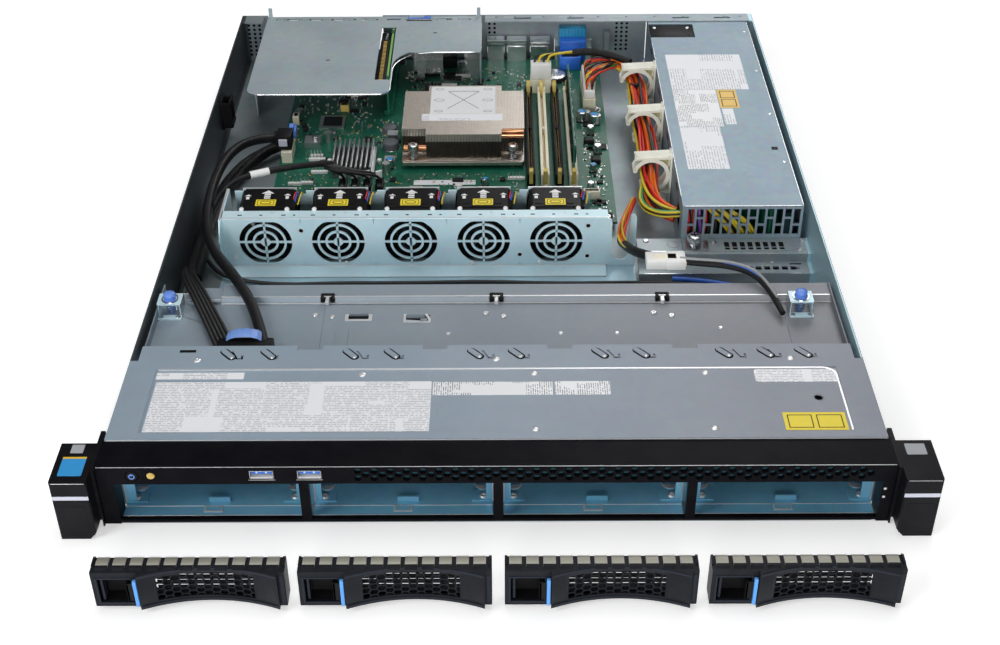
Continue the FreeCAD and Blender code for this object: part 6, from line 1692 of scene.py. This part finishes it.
def makeHeatsink():
    s = Shape()
    left, right, front, rear = (sink[key] for key in ("left", "right", "front", "rear"))
    # foot with rounded corners, drawn fin by fin above it
    s.plate(rounded(left, front, right, rear, 2.5), sink["base"] - sink["seat"], 2, flatOn(sink["seat"]),
            0.35)
    count = int((right - left) / sink["pitch"])
    for fin in range(count):
        x = left + 0.5 + sink["pitch"] * fin
        side = x < left + sink["corner"] or x > right - sink["corner"]
        y0, y1 = (front + 14, rear - 14) if side else (front + 5, rear - 5)
        # each fin's body is the darker bronze, painted shade between the fins, under its lighter bronze cap
        s.block((x, y0, sink["base"] - 0.1), (x + sink["fin"], y1, sink["top"] - 0.4), 0, paint=1)
        s.block((x - 0.02, y0 - 0.35, sink["top"] - 0.65), (x + sink["pitch"] - 0.14, y1 + 0.35, sink["top"]),
                0)
        s.block((x - 0.02, y0 - 0.3, sink["top"] - 6.5),
                (x + sink["pitch"] * 0.62, y0 + 0.4, sink["top"] - 0.5), 0)
        s.block((x - 0.02, y0 - 0.25, sink["base"]), (x + sink["pitch"] * 0.55, y0 + 0.3, sink["base"] + 1.2),
                0, paint=2)
    # heat pipe that shows at the right front corner, and another on the left
    for x0, x1, height in ((right - sink["corner"] - 1, right - 0.8, 30.5),
                           (left + 1.5, left + sink["corner"] + 1, 20.0)):
        s.rod((x0, front + 13.0, height), (x1, front + 13.0, height), 2.4, sides=18, paint=3)
    s.block((right - sink["corner"] + 0.5, front + 10.4, 33.4), (right - 0.6, front + 13.8, 35.0), 0.5,
            paint=3, segments=2)
    # retaining bars across the foot
    for y in (front + 2.2, rear - 3.2):
        s.block((left + 1, y, sink["base"] - 0.05), (right - 1, y + 1.0, sink["base"] + 0.35), 0.12, paint=2)
    piece = s.done("sinkFins", "chassis", ["finBronze", "finShade", "finPale", "copper"], "bronze_fins",
                   smooth=25)
    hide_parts("cpu_heatsink")
    k = Shape()
    for x, y in sink["screws"]:
        k.rod((x, y, 8.05), (x, y, 23.2), 1.75, sides=16)
        k.spring(x, y, 14.9, 22.7, 3.0, 0.42, 5, 60)
        k.lathe([(1.4, 25.2), (1.6, 27.0), (3.0, 27.0), (3.9, 26.4), (4.2, 25.2), (4.2, 23.6), (3.9, 23.2),
                 (0, 23.2)], (x, y, 0), steps=28)
        k.lathe([(0, 25.2), (1.5, 25.2)], (x, y, 0), steps=28)
    piece = k.done("sinkScrews", "chassis", ["plated"], "screw_steel", smooth=40)
    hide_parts("heatsink_screws")
    m = Shape()
    top = sink["top"]
    m.plate(rounded(-51.5, 412, -1.0, 456.4, 0.4), 0.14, 0, flatOn(top))
    m.plate(rounded(-57.5, 401, 4.5, 411.4, 0.4), 0.16, 2, flatOn(top))
    for (x0, y0), (x1, y1) in (((-38, 448), (-14, 420)), ((-14, 448), (-38, 420)),
                               ((-38, 448.5), (-14, 448.5))):
        m.rod((x0, y0, top + 0.13), (x1, y1, top + 0.13), 0.22, sides=4, paint=1)
    for x, y, wide in ((-45, 452, 6.5), (-7, 452, 6.5), (-45, 434, 8), (-7, 434, 8), (-45, 416, 6.5),
                       (-7, 416, 6.5)):
        outer = [(x + wide / 2 * math.cos(a), y + wide / 4 * math.sin(a))
                 for a in [2 * math.pi * i / 24 for i in range(24)]]
        inner = [(x + (wide / 2 - 0.4) * math.cos(a), y + (wide / 4 - 0.4) * math.sin(a))
                 for a in [2 * math.pi * i / 24 for i in range(24)]]
        m.plate(outer, 0.04, 1, flatOn(top + 0.13))
        m.plate(inner, 0.06, 0, flatOn(top + 0.13))
    m.done("sinkLabels", "chassis", ["paperWhite", "inkBlack", "labelFlat"], "cream_plastic", smooth=0)


memory = {"first": 25.7, "pitch": 10.6, "front": 348.0, "rear": 490.0, "low": 8.0, "high": 16.5}


def makeMemory():
    s = Shape()
    low, high, front, rear = (memory[key] for key in ("low", "high", "front", "rear"))
    for number in range(4):
        x = memory["first"] + memory["pitch"] * number
        shade = 1 if number % 2 else 0
        for side in (-1, 1):
            s.block((x + side * 3.2, front + 5.4, low), (x + side * 0.95, rear - 5.4, high), 0.35,
                    paint=shade, segments=2)
            for y in range(int(front) + 8, int(rear) - 8, 3):
                s.block((x + side * 1.15, y, high - 1.2), (x + side * 0.75, y + 1.4, high - 4.5), 0, paint=2)
        s.block((x - 1.2, front + 5.4, low), (x + 1.2, rear - 5.4, low + 3), 0, paint=shade)
        s.block((x - 1.1, 424, low), (x + 1.1, 427, high - 0.2), 0.1, paint=shade)
        for y0, y1 in ((front, front + 5.8), (rear - 5.8, rear)):
            for side in (-1, 1):
                s.block((x + side * 3.2, y0, low), (x + side * 1.62, y1, high + 2.6), 0.4, paint=shade,
                        segments=2)
            s.block((x - 1.7, y0, low), (x + 1.7, y1, low + 2), 0, paint=shade)
    piece = s.done("memorySockets", "chassis", ["socketBlack", "creamNylon", "lensGold"], "cream_plastic",
                   smooth=25)
    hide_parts("dimm_sockets")
    for number in range(4):
        x = memory["first"] + memory["pitch"] * number
        for end, y, way in (("front", front, 1), ("rear", rear, -1)):
            k = Shape()
            line = [(0.6, 2.8), (3.2, 2.8), (3.9, 4.4), (3.9, 13.0), (3.4, 14.6), (2.4, 15.6), (-1.2, 15.6),
                    (-1.8, 14.8), (-1.5, 13.2), (0.2, 12.2)]
            line = [(y + a * way, low + b) for a, b in line]
            k.prism(line, x - 1.48, x + 1.48, 0, 0.25)
            k.rod((x - 2.1, y + 2.0 * way, low + 4.5), (x + 2.1, y + 2.0 * way, low + 4.5), 0.88, sides=16)
            for dy in (0.2, 1.4):
                k.block((x - 1.2, y + dy * way, low + 15.4), (x + 1.2, y + (dy + 0.6) * way, low + 15.95),
                        0.1)
            k.block((x - 0.7, y - 0.7 * way, low + 14.9), (x + 0.7, y + 0.0 * way, low + 15.7), 0.1)
            name = "dimm_latch_%s_%d" % (end, number + 1)
            piece = k.done("memoryLatch_%s_%d" % (end, number + 1), name, ["goldNylon"], "gold_plastic",
                           smooth=30)
            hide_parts(name)
    m = Shape()
    a, b = corners("memory_module")
    x = a.x
    m.block((x, a.y, a.z), (x + 1.2, b.y, b.z), 0.06)
    for chip in range(9):
        y = a.y + 6 + 13.6 * chip
        m.block((x + 1.15, y, b.z - 18), (b.x, y + 9, b.z - 6), 0.12, paint=1)
        m.block((x - 0.9, y, b.z - 18), (x + 0.02, y + 9, b.z - 6), 0.12, paint=1)
        for spot in range(4):
            m.block((x + 1.15, y + 2.2 * spot, b.z - 3.6), (x + 1.6, y + 1.1 + 2.2 * spot, b.z - 2.4), 0,
                    paint=2)
    for pad in range(60):
        y = a.y + 5 + 2.1 * pad
        m.block((x - 0.04, y, a.z + 0.2), (x + 1.24, y + 1.5, a.z + 3.4), 0, paint=3)
    piece = m.done("memoryStick", "chassis", ["boardGreen", "chipBlack", "plated", "lensGold"], "green_board",
                   smooth=0)
    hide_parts("memory_module")


makeBoardParts()
makeHeatsink()
makeMemory()
print("system board")

# power supply, its bracket and what shows through its openings

supply = {"left": 128.5, "right": 212.0, "front": 266.0, "rear": 572.0, "top": 42.0}


def makeSupply():
    s = Shape()
    top = supply["top"]
    labels = ((137.2, 438.6, 197.6, 499.6, 0), (137.2, 378.9, 170.9, 438.2, 1),
              (137.2, 316.4, 167.4, 378.5, 0), (172.4, 382.2, 180.8, 407.0, 0))
    for left, low, right, high, paint in labels:
        s.plate(rounded(left, low, right, high, 0.5), 0.10, paint, flatOn(top), 0.02)
    s.plate(rounded(171.6, 408.2, 186.6, 438.0, 0.5), 0.14, 2, flatOn(top), 0.02)
    for low, high in ((410.5, 422.0), (424.0, 435.5)):
        for a, b in outlineBars(173.4, low, 184.8, high, 0.7):
            s.block((*a, top + 0.12), (*b, top + 0.17), 0, paint=3)
    s.done("supplyLabels", "chassis", ["labelDeep", "labelBars", "stickerOrange", "inkBlack"],
           "cream_plastic", smooth=0)
    k = Shape()
    # black cover in the rear window, set just below the case, with its two screws
    k.block((128.7, 532.2, 40.1), (165.3, 557.8, 41.2), 0.3, segments=2)
    for x in (133, 160.6):
        k.screw((x, 551.5, 41.2), 1.7, 0.5, paint=1)
        k.screw((x, 537.5, 41.2), 1.0, 0.3)
    k.plate(rounded(201.3, 343.6, 205.9, 348.0, 0.3), 0.06, 2, flatOn(top))
    k.plate(rounded(202.1, 344.4, 205.1, 347.2, 0.3), 0.10, 0, flatOn(top))
    # pale plated strips along the front and side folds of the case as painted highlight, and lid seam
    left, right, front, rear = (supply[key] for key in ("left", "right", "front", "rear"))
    k.block((left + 1.5, front - 0.05, top - 0.8), (right - 1.5, front + 0.6, top + 0.10), 0.12, paint=1)
    k.block((left - 0.06, front + 14, top - 0.7), (left + 0.35, rear - 48, top + 0.06), 0.1, paint=1)
    k.block((right - 0.4, front + 2, top - 0.7), (right + 0.08, rear - 6, top + 0.06), 0.1, paint=1)
    k.block((left - 0.10, front + 14, 31.8), (left + 0.1, rear - 14, 32.2), 0, paint=2)
    for y in (300, 372, 444, 516):
        k.screw((right - 4.2, y + 26, top), 1.5, 0.35, paint=1)
        k.block((left - 0.12, y, 34), (left + 0.1, y + 10, 36), 0, paint=2)
    # boards and leads behind the grille
    k.block((190, 270, 5), (191.4, 296, 36), 0.1, paint=4)
    k.block((199, 269, 4), (207.5, 300, 34), 0.4, paint=5)
    k.block((132, 270, 3.2), (209, 300, 4.6), 0.1, paint=4)
    for number in range(6):
        k.lathe([(0, 12), (2.6, 12), (3.2, 11.4), (3.2, 0)],
                (162 + 6.5 * (number % 4), 276 + 9 * (number // 4), 4.6), steps=16,
                paint=0 if number % 2 else 5)
    k.done("supplyFittings", "chassis", ["socketBlack", "plated", "slotDark", "whiteNylon", "boardGreen",
                                         "tealDark"], "screw_steel", smooth=30)
    lines = []
    rng = random.Random(17)
    for number, paint in enumerate(("wireRed", "wireBlack", "wireRed", "wirePurple", "wireRed", "wireBlack",
                                    "wireBlack")):
        x = 131.5 + 3.2 * number
        lines.append(([(x, 268.4 + rng.uniform(0, 1.5), 6), (x + rng.uniform(-2, 3), 270, 18),
                       (x + rng.uniform(-1, 3), 271, 30), (x, 276, 38)], 1.25, paint))
    for number in range(8):
        x = 152 + 2.6 * number
        lines.append(([(x - 6, 273, 37 - 0.5 * number), (x + 2, 269.6 + 0.5 * (number % 2), 30),
                       (x + 9, 269.8, 21), (x + 13, 273, 12)],
                      1.05, "wireBlack" if number % 3 == 2 else "wireYellow"))
    layWires("supplyLeads", "chassis", lines)
    b = Shape()
    # bracket: screws on both levels, plated strips along the folds as painted highlight, dark slots as
    # painted shade, and the turned up lug
    for x, y, z in ((213.4, 262.6, 16), (209.6, 250.7, 16), (104.0, 262.5, 16), (121.1, 247.5, 9),
                    (190.7, 247.0, 9), (150.9, 260.5, 16)):
        b.screw((x, y, z), 2.0, 0.8)
    for low, high in (((101, 231.9, 8.6), (214.6, 232.6, 9.15)), ((101, 248.9, 15.6), (215, 249.6, 16.15))):
        b.block(low, high, 0.1)
    for number in range(8):
        x = 158 + 5.4 * number
        b.block((x, 254.8, 15.98), (x + 3.4, 260.6, 16.06), 0, paint=1)
        b.block((x, 251.4, 15.98), (x + 3.4, 253.8, 16.06), 0, paint=1)
    b.block((202, 243, 8.98), (210, 244.4, 9.06), 0, paint=1)
    b.block((204, 238, 8.98), (208, 239, 9.06), 0, paint=1)
    b.lathe([(0, 0.5), (2.8, 0.5), (4.0, 0.3), (4.3, 0)], (122.5, 258, 16), steps=24, paint=2)
    b.block((128.5, 250.2, 15.95), (147, 266, 16.5), 0.2)
    b.done("bracketFittings", "chassis", ["plated", "slotDark", "traySteel"], "screw_steel")
    a, c = corners("psu_thumbscrew")
    x, y = (a.x + c.x) / 2, (a.y + c.y) / 2
    r = (c.x - a.x) / 2
    n = Shape()
    n.lathe([(0, c.z - 0.9), (0.9, c.z - 0.9), (1.4, c.z - 0.2), (r * 0.62, c.z - 0.15),
             (r * 0.86, c.z - 0.8), (r * 0.93, c.z - 1.6), (r * 0.93, c.z - 4.6),
             (r * 0.80, c.z - 5.0), (r * 0.80, c.z - 5.5), (r * 0.97, c.z - 5.8), (r * 0.97, c.z - 6.6),
             (r * 0.6, c.z - 6.9), (r * 0.6, a.z), (0, a.z)], (x, y, 0), steps=40)
    for tooth in range(26):
        turn = 2 * math.pi * tooth / 26
        n.rod((x + (r - 0.36) * math.cos(turn), y + (r - 0.36) * math.sin(turn), c.z - 4.4),
              (x + (r - 0.36) * math.cos(turn), y + (r - 0.36) * math.sin(turn), c.z - 1.7), 0.34, sides=5)
    # cross in the head's top, dark as painted shade in the recess
    n.block((x - r * 0.6, y - 0.45, c.z - 0.2), (x + r * 0.6, y + 0.45, c.z - 0.08), 0, paint=1)
    n.block((x - 0.45, y - r * 0.6, c.z - 0.2), (x + 0.45, y + r * 0.6, c.z - 0.08), 0, paint=1)
    piece = n.done("supplyScrew", "psu_thumbscrew", ["plated", "slotDark"], "screw_steel", smooth=35)
    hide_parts("psu_thumbscrew")


# riser cage

riser = {"left": -196, "right": -13, "front": 433, "shelf": -84, "arm": 506, "rear": 574.7, "top": 42.4}


def makeRiser():
    s = Shape()
    top, left, right, front, shelf, arm, rear = (riser[key]
                                                 for key in ("top", "left", "right", "front", "shelf", "arm",
                                                             "rear"))
    # pale plated rim round the plate as painted highlight, from the left side to the arm's end
    edge = [(left, rear - 12)] + arcSpots(left + 9, front + 9, 9, 180, 270, 6) + \
        arcSpots(shelf - 9, front + 9, 9, 270, 360, 6) + [(shelf, arm - 30)] + \
        arcSpots(shelf + 32, arm - 32, 32, 180, 112, 6)[1:] + [(shelf + 32, arm)] + \
        arcSpots(right - 8, arm + 8, 8, 270, 360, 6) + [(right, rear - 12)]
    for (x0, y0), (x1, y1) in zip(edge, edge[1:]):
        if abs(x1 - x0) + abs(y1 - y0) > 0.4 and (y0 < 500 or x0 > -60 or x1 > -60):
            s.rod((x0, y0, top - 0.55), (x1, y1, top - 0.55), 0.55, sides=8, paint=1)
    # two holes, dark as painted shade, each with a pale strip of painted highlight along its front edge
    for x, y in ((-137.1, 491.6), (-51.7, 541.7)):
        s.plate(capsule((x, y), 3.4, 1.7, 0), 0.06, 2, flatOn(top))
        s.block((x - 1.6, y - 1.0, top), (x + 1.6, y - 0.7, top + 0.12), 0, paint=1)
    # coined slots along the rear fold, each with a pale rim as painted highlight and running to a dark point
    # as painted shade
    for x in (-182, -163, -144, -125, -106, -46, -27):
        s.plate([(x - 6, 566.6), (x + 3.5, 566.6), (x + 5.4, 568.2), (x + 3.5, 569.8), (x - 6, 569.8)], 0.08,
                1, flatOn(top))
        s.plate([(x - 5.4, 567.1), (x + 3.2, 567.1), (x + 3.2, 569.3), (x - 5.4, 569.3)], 0.12, 0,
                flatOn(top))
        s.plate([(x + 3.2, 567.2), (x + 5.2, 568.2), (x + 3.2, 569.2)], 0.14, 2, flatOn(top))
    # blue touch points at the front edge and at the rear, with its silver loop
    s.plate([(-96.8, 433.6), (-82.6 - 5, 433.6), (-85.4, 436.2), (-88.5, 437.6), (-93.5, 437.6),
             (-96.2, 436.2)], 0.35, 3, flatOn(top - 0.2), 0.15)
    s.plate(rounded(-76, 569.2, -56, 574.4, 2.0), 0.5, 3, flatOn(top - 0.1), 0.2)
    s.plate(rounded(-78.5, 566.8, -53.5, 568.9, 0.9), 0.5, 1, flatOn(top - 0.1), 0.2)
    s.plate(rounded(-77.2, 565.2, -54.8, 566.6, 0.6), 0.2, 2, flatOn(top - 0.1))
    s.done("riserMarks", "riser", ["riserSteel", "plated", "slotDark", "touchBlue"], "zinc_steel", smooth=40)
    k = Shape()
    # long black socket on the card, its contacts, and the card's bright edge
    k.block((-96.9, 457.4, 30), (-88.5, 536, 38.8), 0.5, segments=2)
    # dark slot along the socket's top, painted shade
    k.block((-94.6, 460, 38.5), (-91.0, 533, 38.95), 0.1, paint=2)
    k.block((-96.9, 538, 30), (-89, 553.6, 37), 0.4)
    for y in (540.5, 545, 549.5):
        k.lathe([(0, 1.3), (0.8, 1.2), (1.2, 0.8), (1.3, 0)], (-93 + 0.6 * (y % 2), y, 37), steps=12, paint=1)
    k.block((-88.06, 457.5, 39.4), (-86.34, 553.5, 40.96), 0.1, paint=3)
    for pin in range(30):
        y = 461 + 2.45 * pin
        k.block((-94.3, y, 38.8), (-91.3, y + 1.1, 39.1), 0, paint=4)
    k.done("riserSocket", "riser", ["socketBlack", "plated", "slotDark", "cardEdge", "lensGold"],
           "black_plastic")


# rear wall

ports = {"screen": (54, 76), "wall": 574.8}


def makeRear():
    s = Shape()
    wall = ports["wall"]
    # perforations left of the riser and beside the supply, drawn as dark discs in painted shade, and slots in
    # the folded top, each running to a dark point as painted shade
    for column in range(3):
        for row in range(8):
            x, z = -213.6 + 4.6 * column, 7 + 3.9 * row
            s.plate(roundLine(x, z, 1.25, 10), 0.05, 1, facing(wall))
    for x in (-6.5, -2.0, 103, 107.4, 111.8):
        for row in range(7):
            s.plate(roundLine(x, 11 + 4 * row, 1.2, 10), 0.05, 1, facing(wall))
    for x in (-4, 12, 36, 59, 83, 107, 131, 155, 190, 204):
        s.plate([(x - 6, 569.2), (x + 3.5, 569.2), (x + 5.2, 570.6), (x + 3.5, 572), (x - 6, 572)], 0.06, 2,
                flatOn(43.0))
        s.plate([(x + 2.8, 569.6), (x + 4.8, 570.6), (x + 2.8, 571.6)], 0.09, 1, flatOn(43.0))
    s.block((-9, 563.9, 42.1), (90, 564.5, 42.9), 0.15, paint=3)
    s.block((124, 563.9, 42.1), (214, 564.5, 42.9), 0.15, paint=3)
    for x, z in ((94.5, 36), (94.5, 22), (-3, 40)):
        s.screw((x, wall, z), 1.8, 0.8, (0, -1, 0), 3)
    # earthing tabs over the ports and the fold between them
    for left, right in ((-28, -14), (-8, 6), (9, 25), (29, 45)):
        s.block((left - 0.6, 559.5, 21), (right + 0.6, 573.8, 24.5), 0.5, paint=3, segments=2)
        s.block((left + 2, 560, 24.4), (right - 2, 564, 25.1), 0.25, paint=2)
    s.block((-8.6, 558.4, 24.4), (25.8, 559.2, 27), 0.2, paint=3)
    s.done("rearPunching", "chassis", ["traySteel", "slotDark", "riserSteel", "plated"], "zinc_steel",
           smooth=30)
    k = Shape()
    # blue screen socket: ribbed hood at the wall and its deeper body on the board
    left, right = ports["screen"]
    k.block((left, 556, 8), (right, 566, 27), 0.6, segments=2)
    k.block((left - 0.6, 566, 8), (right + 0.6, wall - 0.4, 34), 0.6, paint=1, segments=2)
    for rib in range(8):
        x = left + 0.8 + 2.8 * rib
        k.block((x, 565.4, 26), (x + 1.1, wall - 1.2, 34.5), 0.2, paint=1)
    k.block((left - 1, 540, 8), (right - 5, 553, 20), 0.6, segments=2)
    k.block((left + 1, 541.5, 19.9), (right - 7, 551.5, 20.2), 0.2, paint=2)
    k.block((-46, 545, 8), (-34, 553, 17), 0.5, paint=2, segments=2)
    k.block((92, 566.5, 14), (97, 574.6, 30), 0.5, paint=3)
    k.done("screenSocket", "chassis", ["portBlue", "hoodBlue", "socketBlack", "traySteel"], "blue_plastic",
           smooth=30)


# cable clips beside the supply and the guide on the left wall

clips = {"x": 113.0, "z": 26.0, "first": 340.0, "pitch": 71.5, "outer": 13.9, "inner": 11.0, "half": 5.4,
         "back": 128.2}


def makeClips():
    s = Shape()
    x, z, half, back = clips["x"], clips["z"], clips["half"], clips["back"]
    for number in range(3):
        y = clips["first"] + clips["pitch"] * number
        # C ring, open at its lower left, with a thicker lip on both faces
        for outer, inner, low, high in ((clips["outer"] - 0.4, clips["inner"] + 0.4, y - half, y + half),
                                        (clips["outer"], clips["inner"], y - half - 0.2, y - half + 1.6),
                                        (clips["outer"], clips["inner"], y + half - 1.6, y + half + 0.2)):
            line = arcSpots(x, z, outer, -118, 162, 35) + arcSpots(x, z, inner, 162, -118, 35)
            s.plate(line, high - low, 0, facing(high))
        for turn in (-118, 162):
            a = math.radians(turn)
            middle = (x + 12.4 * math.cos(a), z + 12.4 * math.sin(a))
            s.rod((middle[0], y - half - 0.2, middle[1]), (middle[0], y + half + 0.2, middle[1]), 1.7,
                  sides=16)
        # sloping top bar with an upstand, its web and pocket, with the pocket in a darker tone of the nylon
        # as painted shade, and the tall plate at the supply
        bar = [(x - 12.2, 38.3), (x - 12.2, 40.1), (back, 41.6), (back, 39.2)]
        s.plate(bar, 2 * half, 0, facing(y + half), 0.2)
        s.plate([(x - 12.6, 39.6), (x - 10.8, 39.9), (x - 11.4, 44.4), (x - 12.3, 44.2)], 2.2, 0,
                facing(y - half + 2.2), 0.15)
        s.plate([(x + 5.6, 38.8), (back, 40.6), (back, 16), (x + 13.6, 24), (x + 11.0, 33)], 1.6, 0,
                facing(y + 0.8), 0.2)
        s.plate([(x + 7.0, 38.2), (x + 12.6, 38.8), (x + 12.6, 32.4)], 0.3, 1, facing(y - 0.78))
        s.block((back - 1.5, y - half - 1.2, 2.6), (back, y + half + 1.2, 42.6), 0.4, segments=2)
        s.block((back - 3.4, y - half - 0.6, 41.0), (back, y - half + 1.2, 43.6), 0.4, segments=2)
        s.block((x - 3, y - half, 10.6), (back - 1, y + half, 12.4), 0.3, segments=2)
        for level in (18, 30):
            s.rod((back - 2.1, y, level), (back - 1.3, y, level), 1.3, sides=14, paint=1)
    # guide on the left wall: channel with two arms and a slanted cap
    s.block((-216.7, 430.5, 12), (-214.9, 445.5, 38), 0.4, paint=2, segments=2)
    for y in (430.5, 443.4):
        s.prism([(y, 14), (y + 2.1, 14), (y + 2.1, 35), (y, 35)], -215.2, -208.4, 2, 0.3)
    s.block((-209.6, 430.5, 14), (-207.9, 445.5, 17), 0.5, paint=2, segments=2)
    s.block((-209.6, 430.5, 33), (-207.9, 445.5, 37.6), 0.5, paint=2, segments=2)
    s.block((-215, 434.6, 12.4), (-209, 441.4, 14.2), 0.3, paint=2)
    piece = s.done("cableClips", "chassis", ["clipNylon", "clipShade", "socketBlack"], "cream_plastic",
                   smooth=30)
    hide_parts("cable_clips")


makeSupply()
makeRiser()
makeRear()
makeClips()
print("supply, riser and rear")
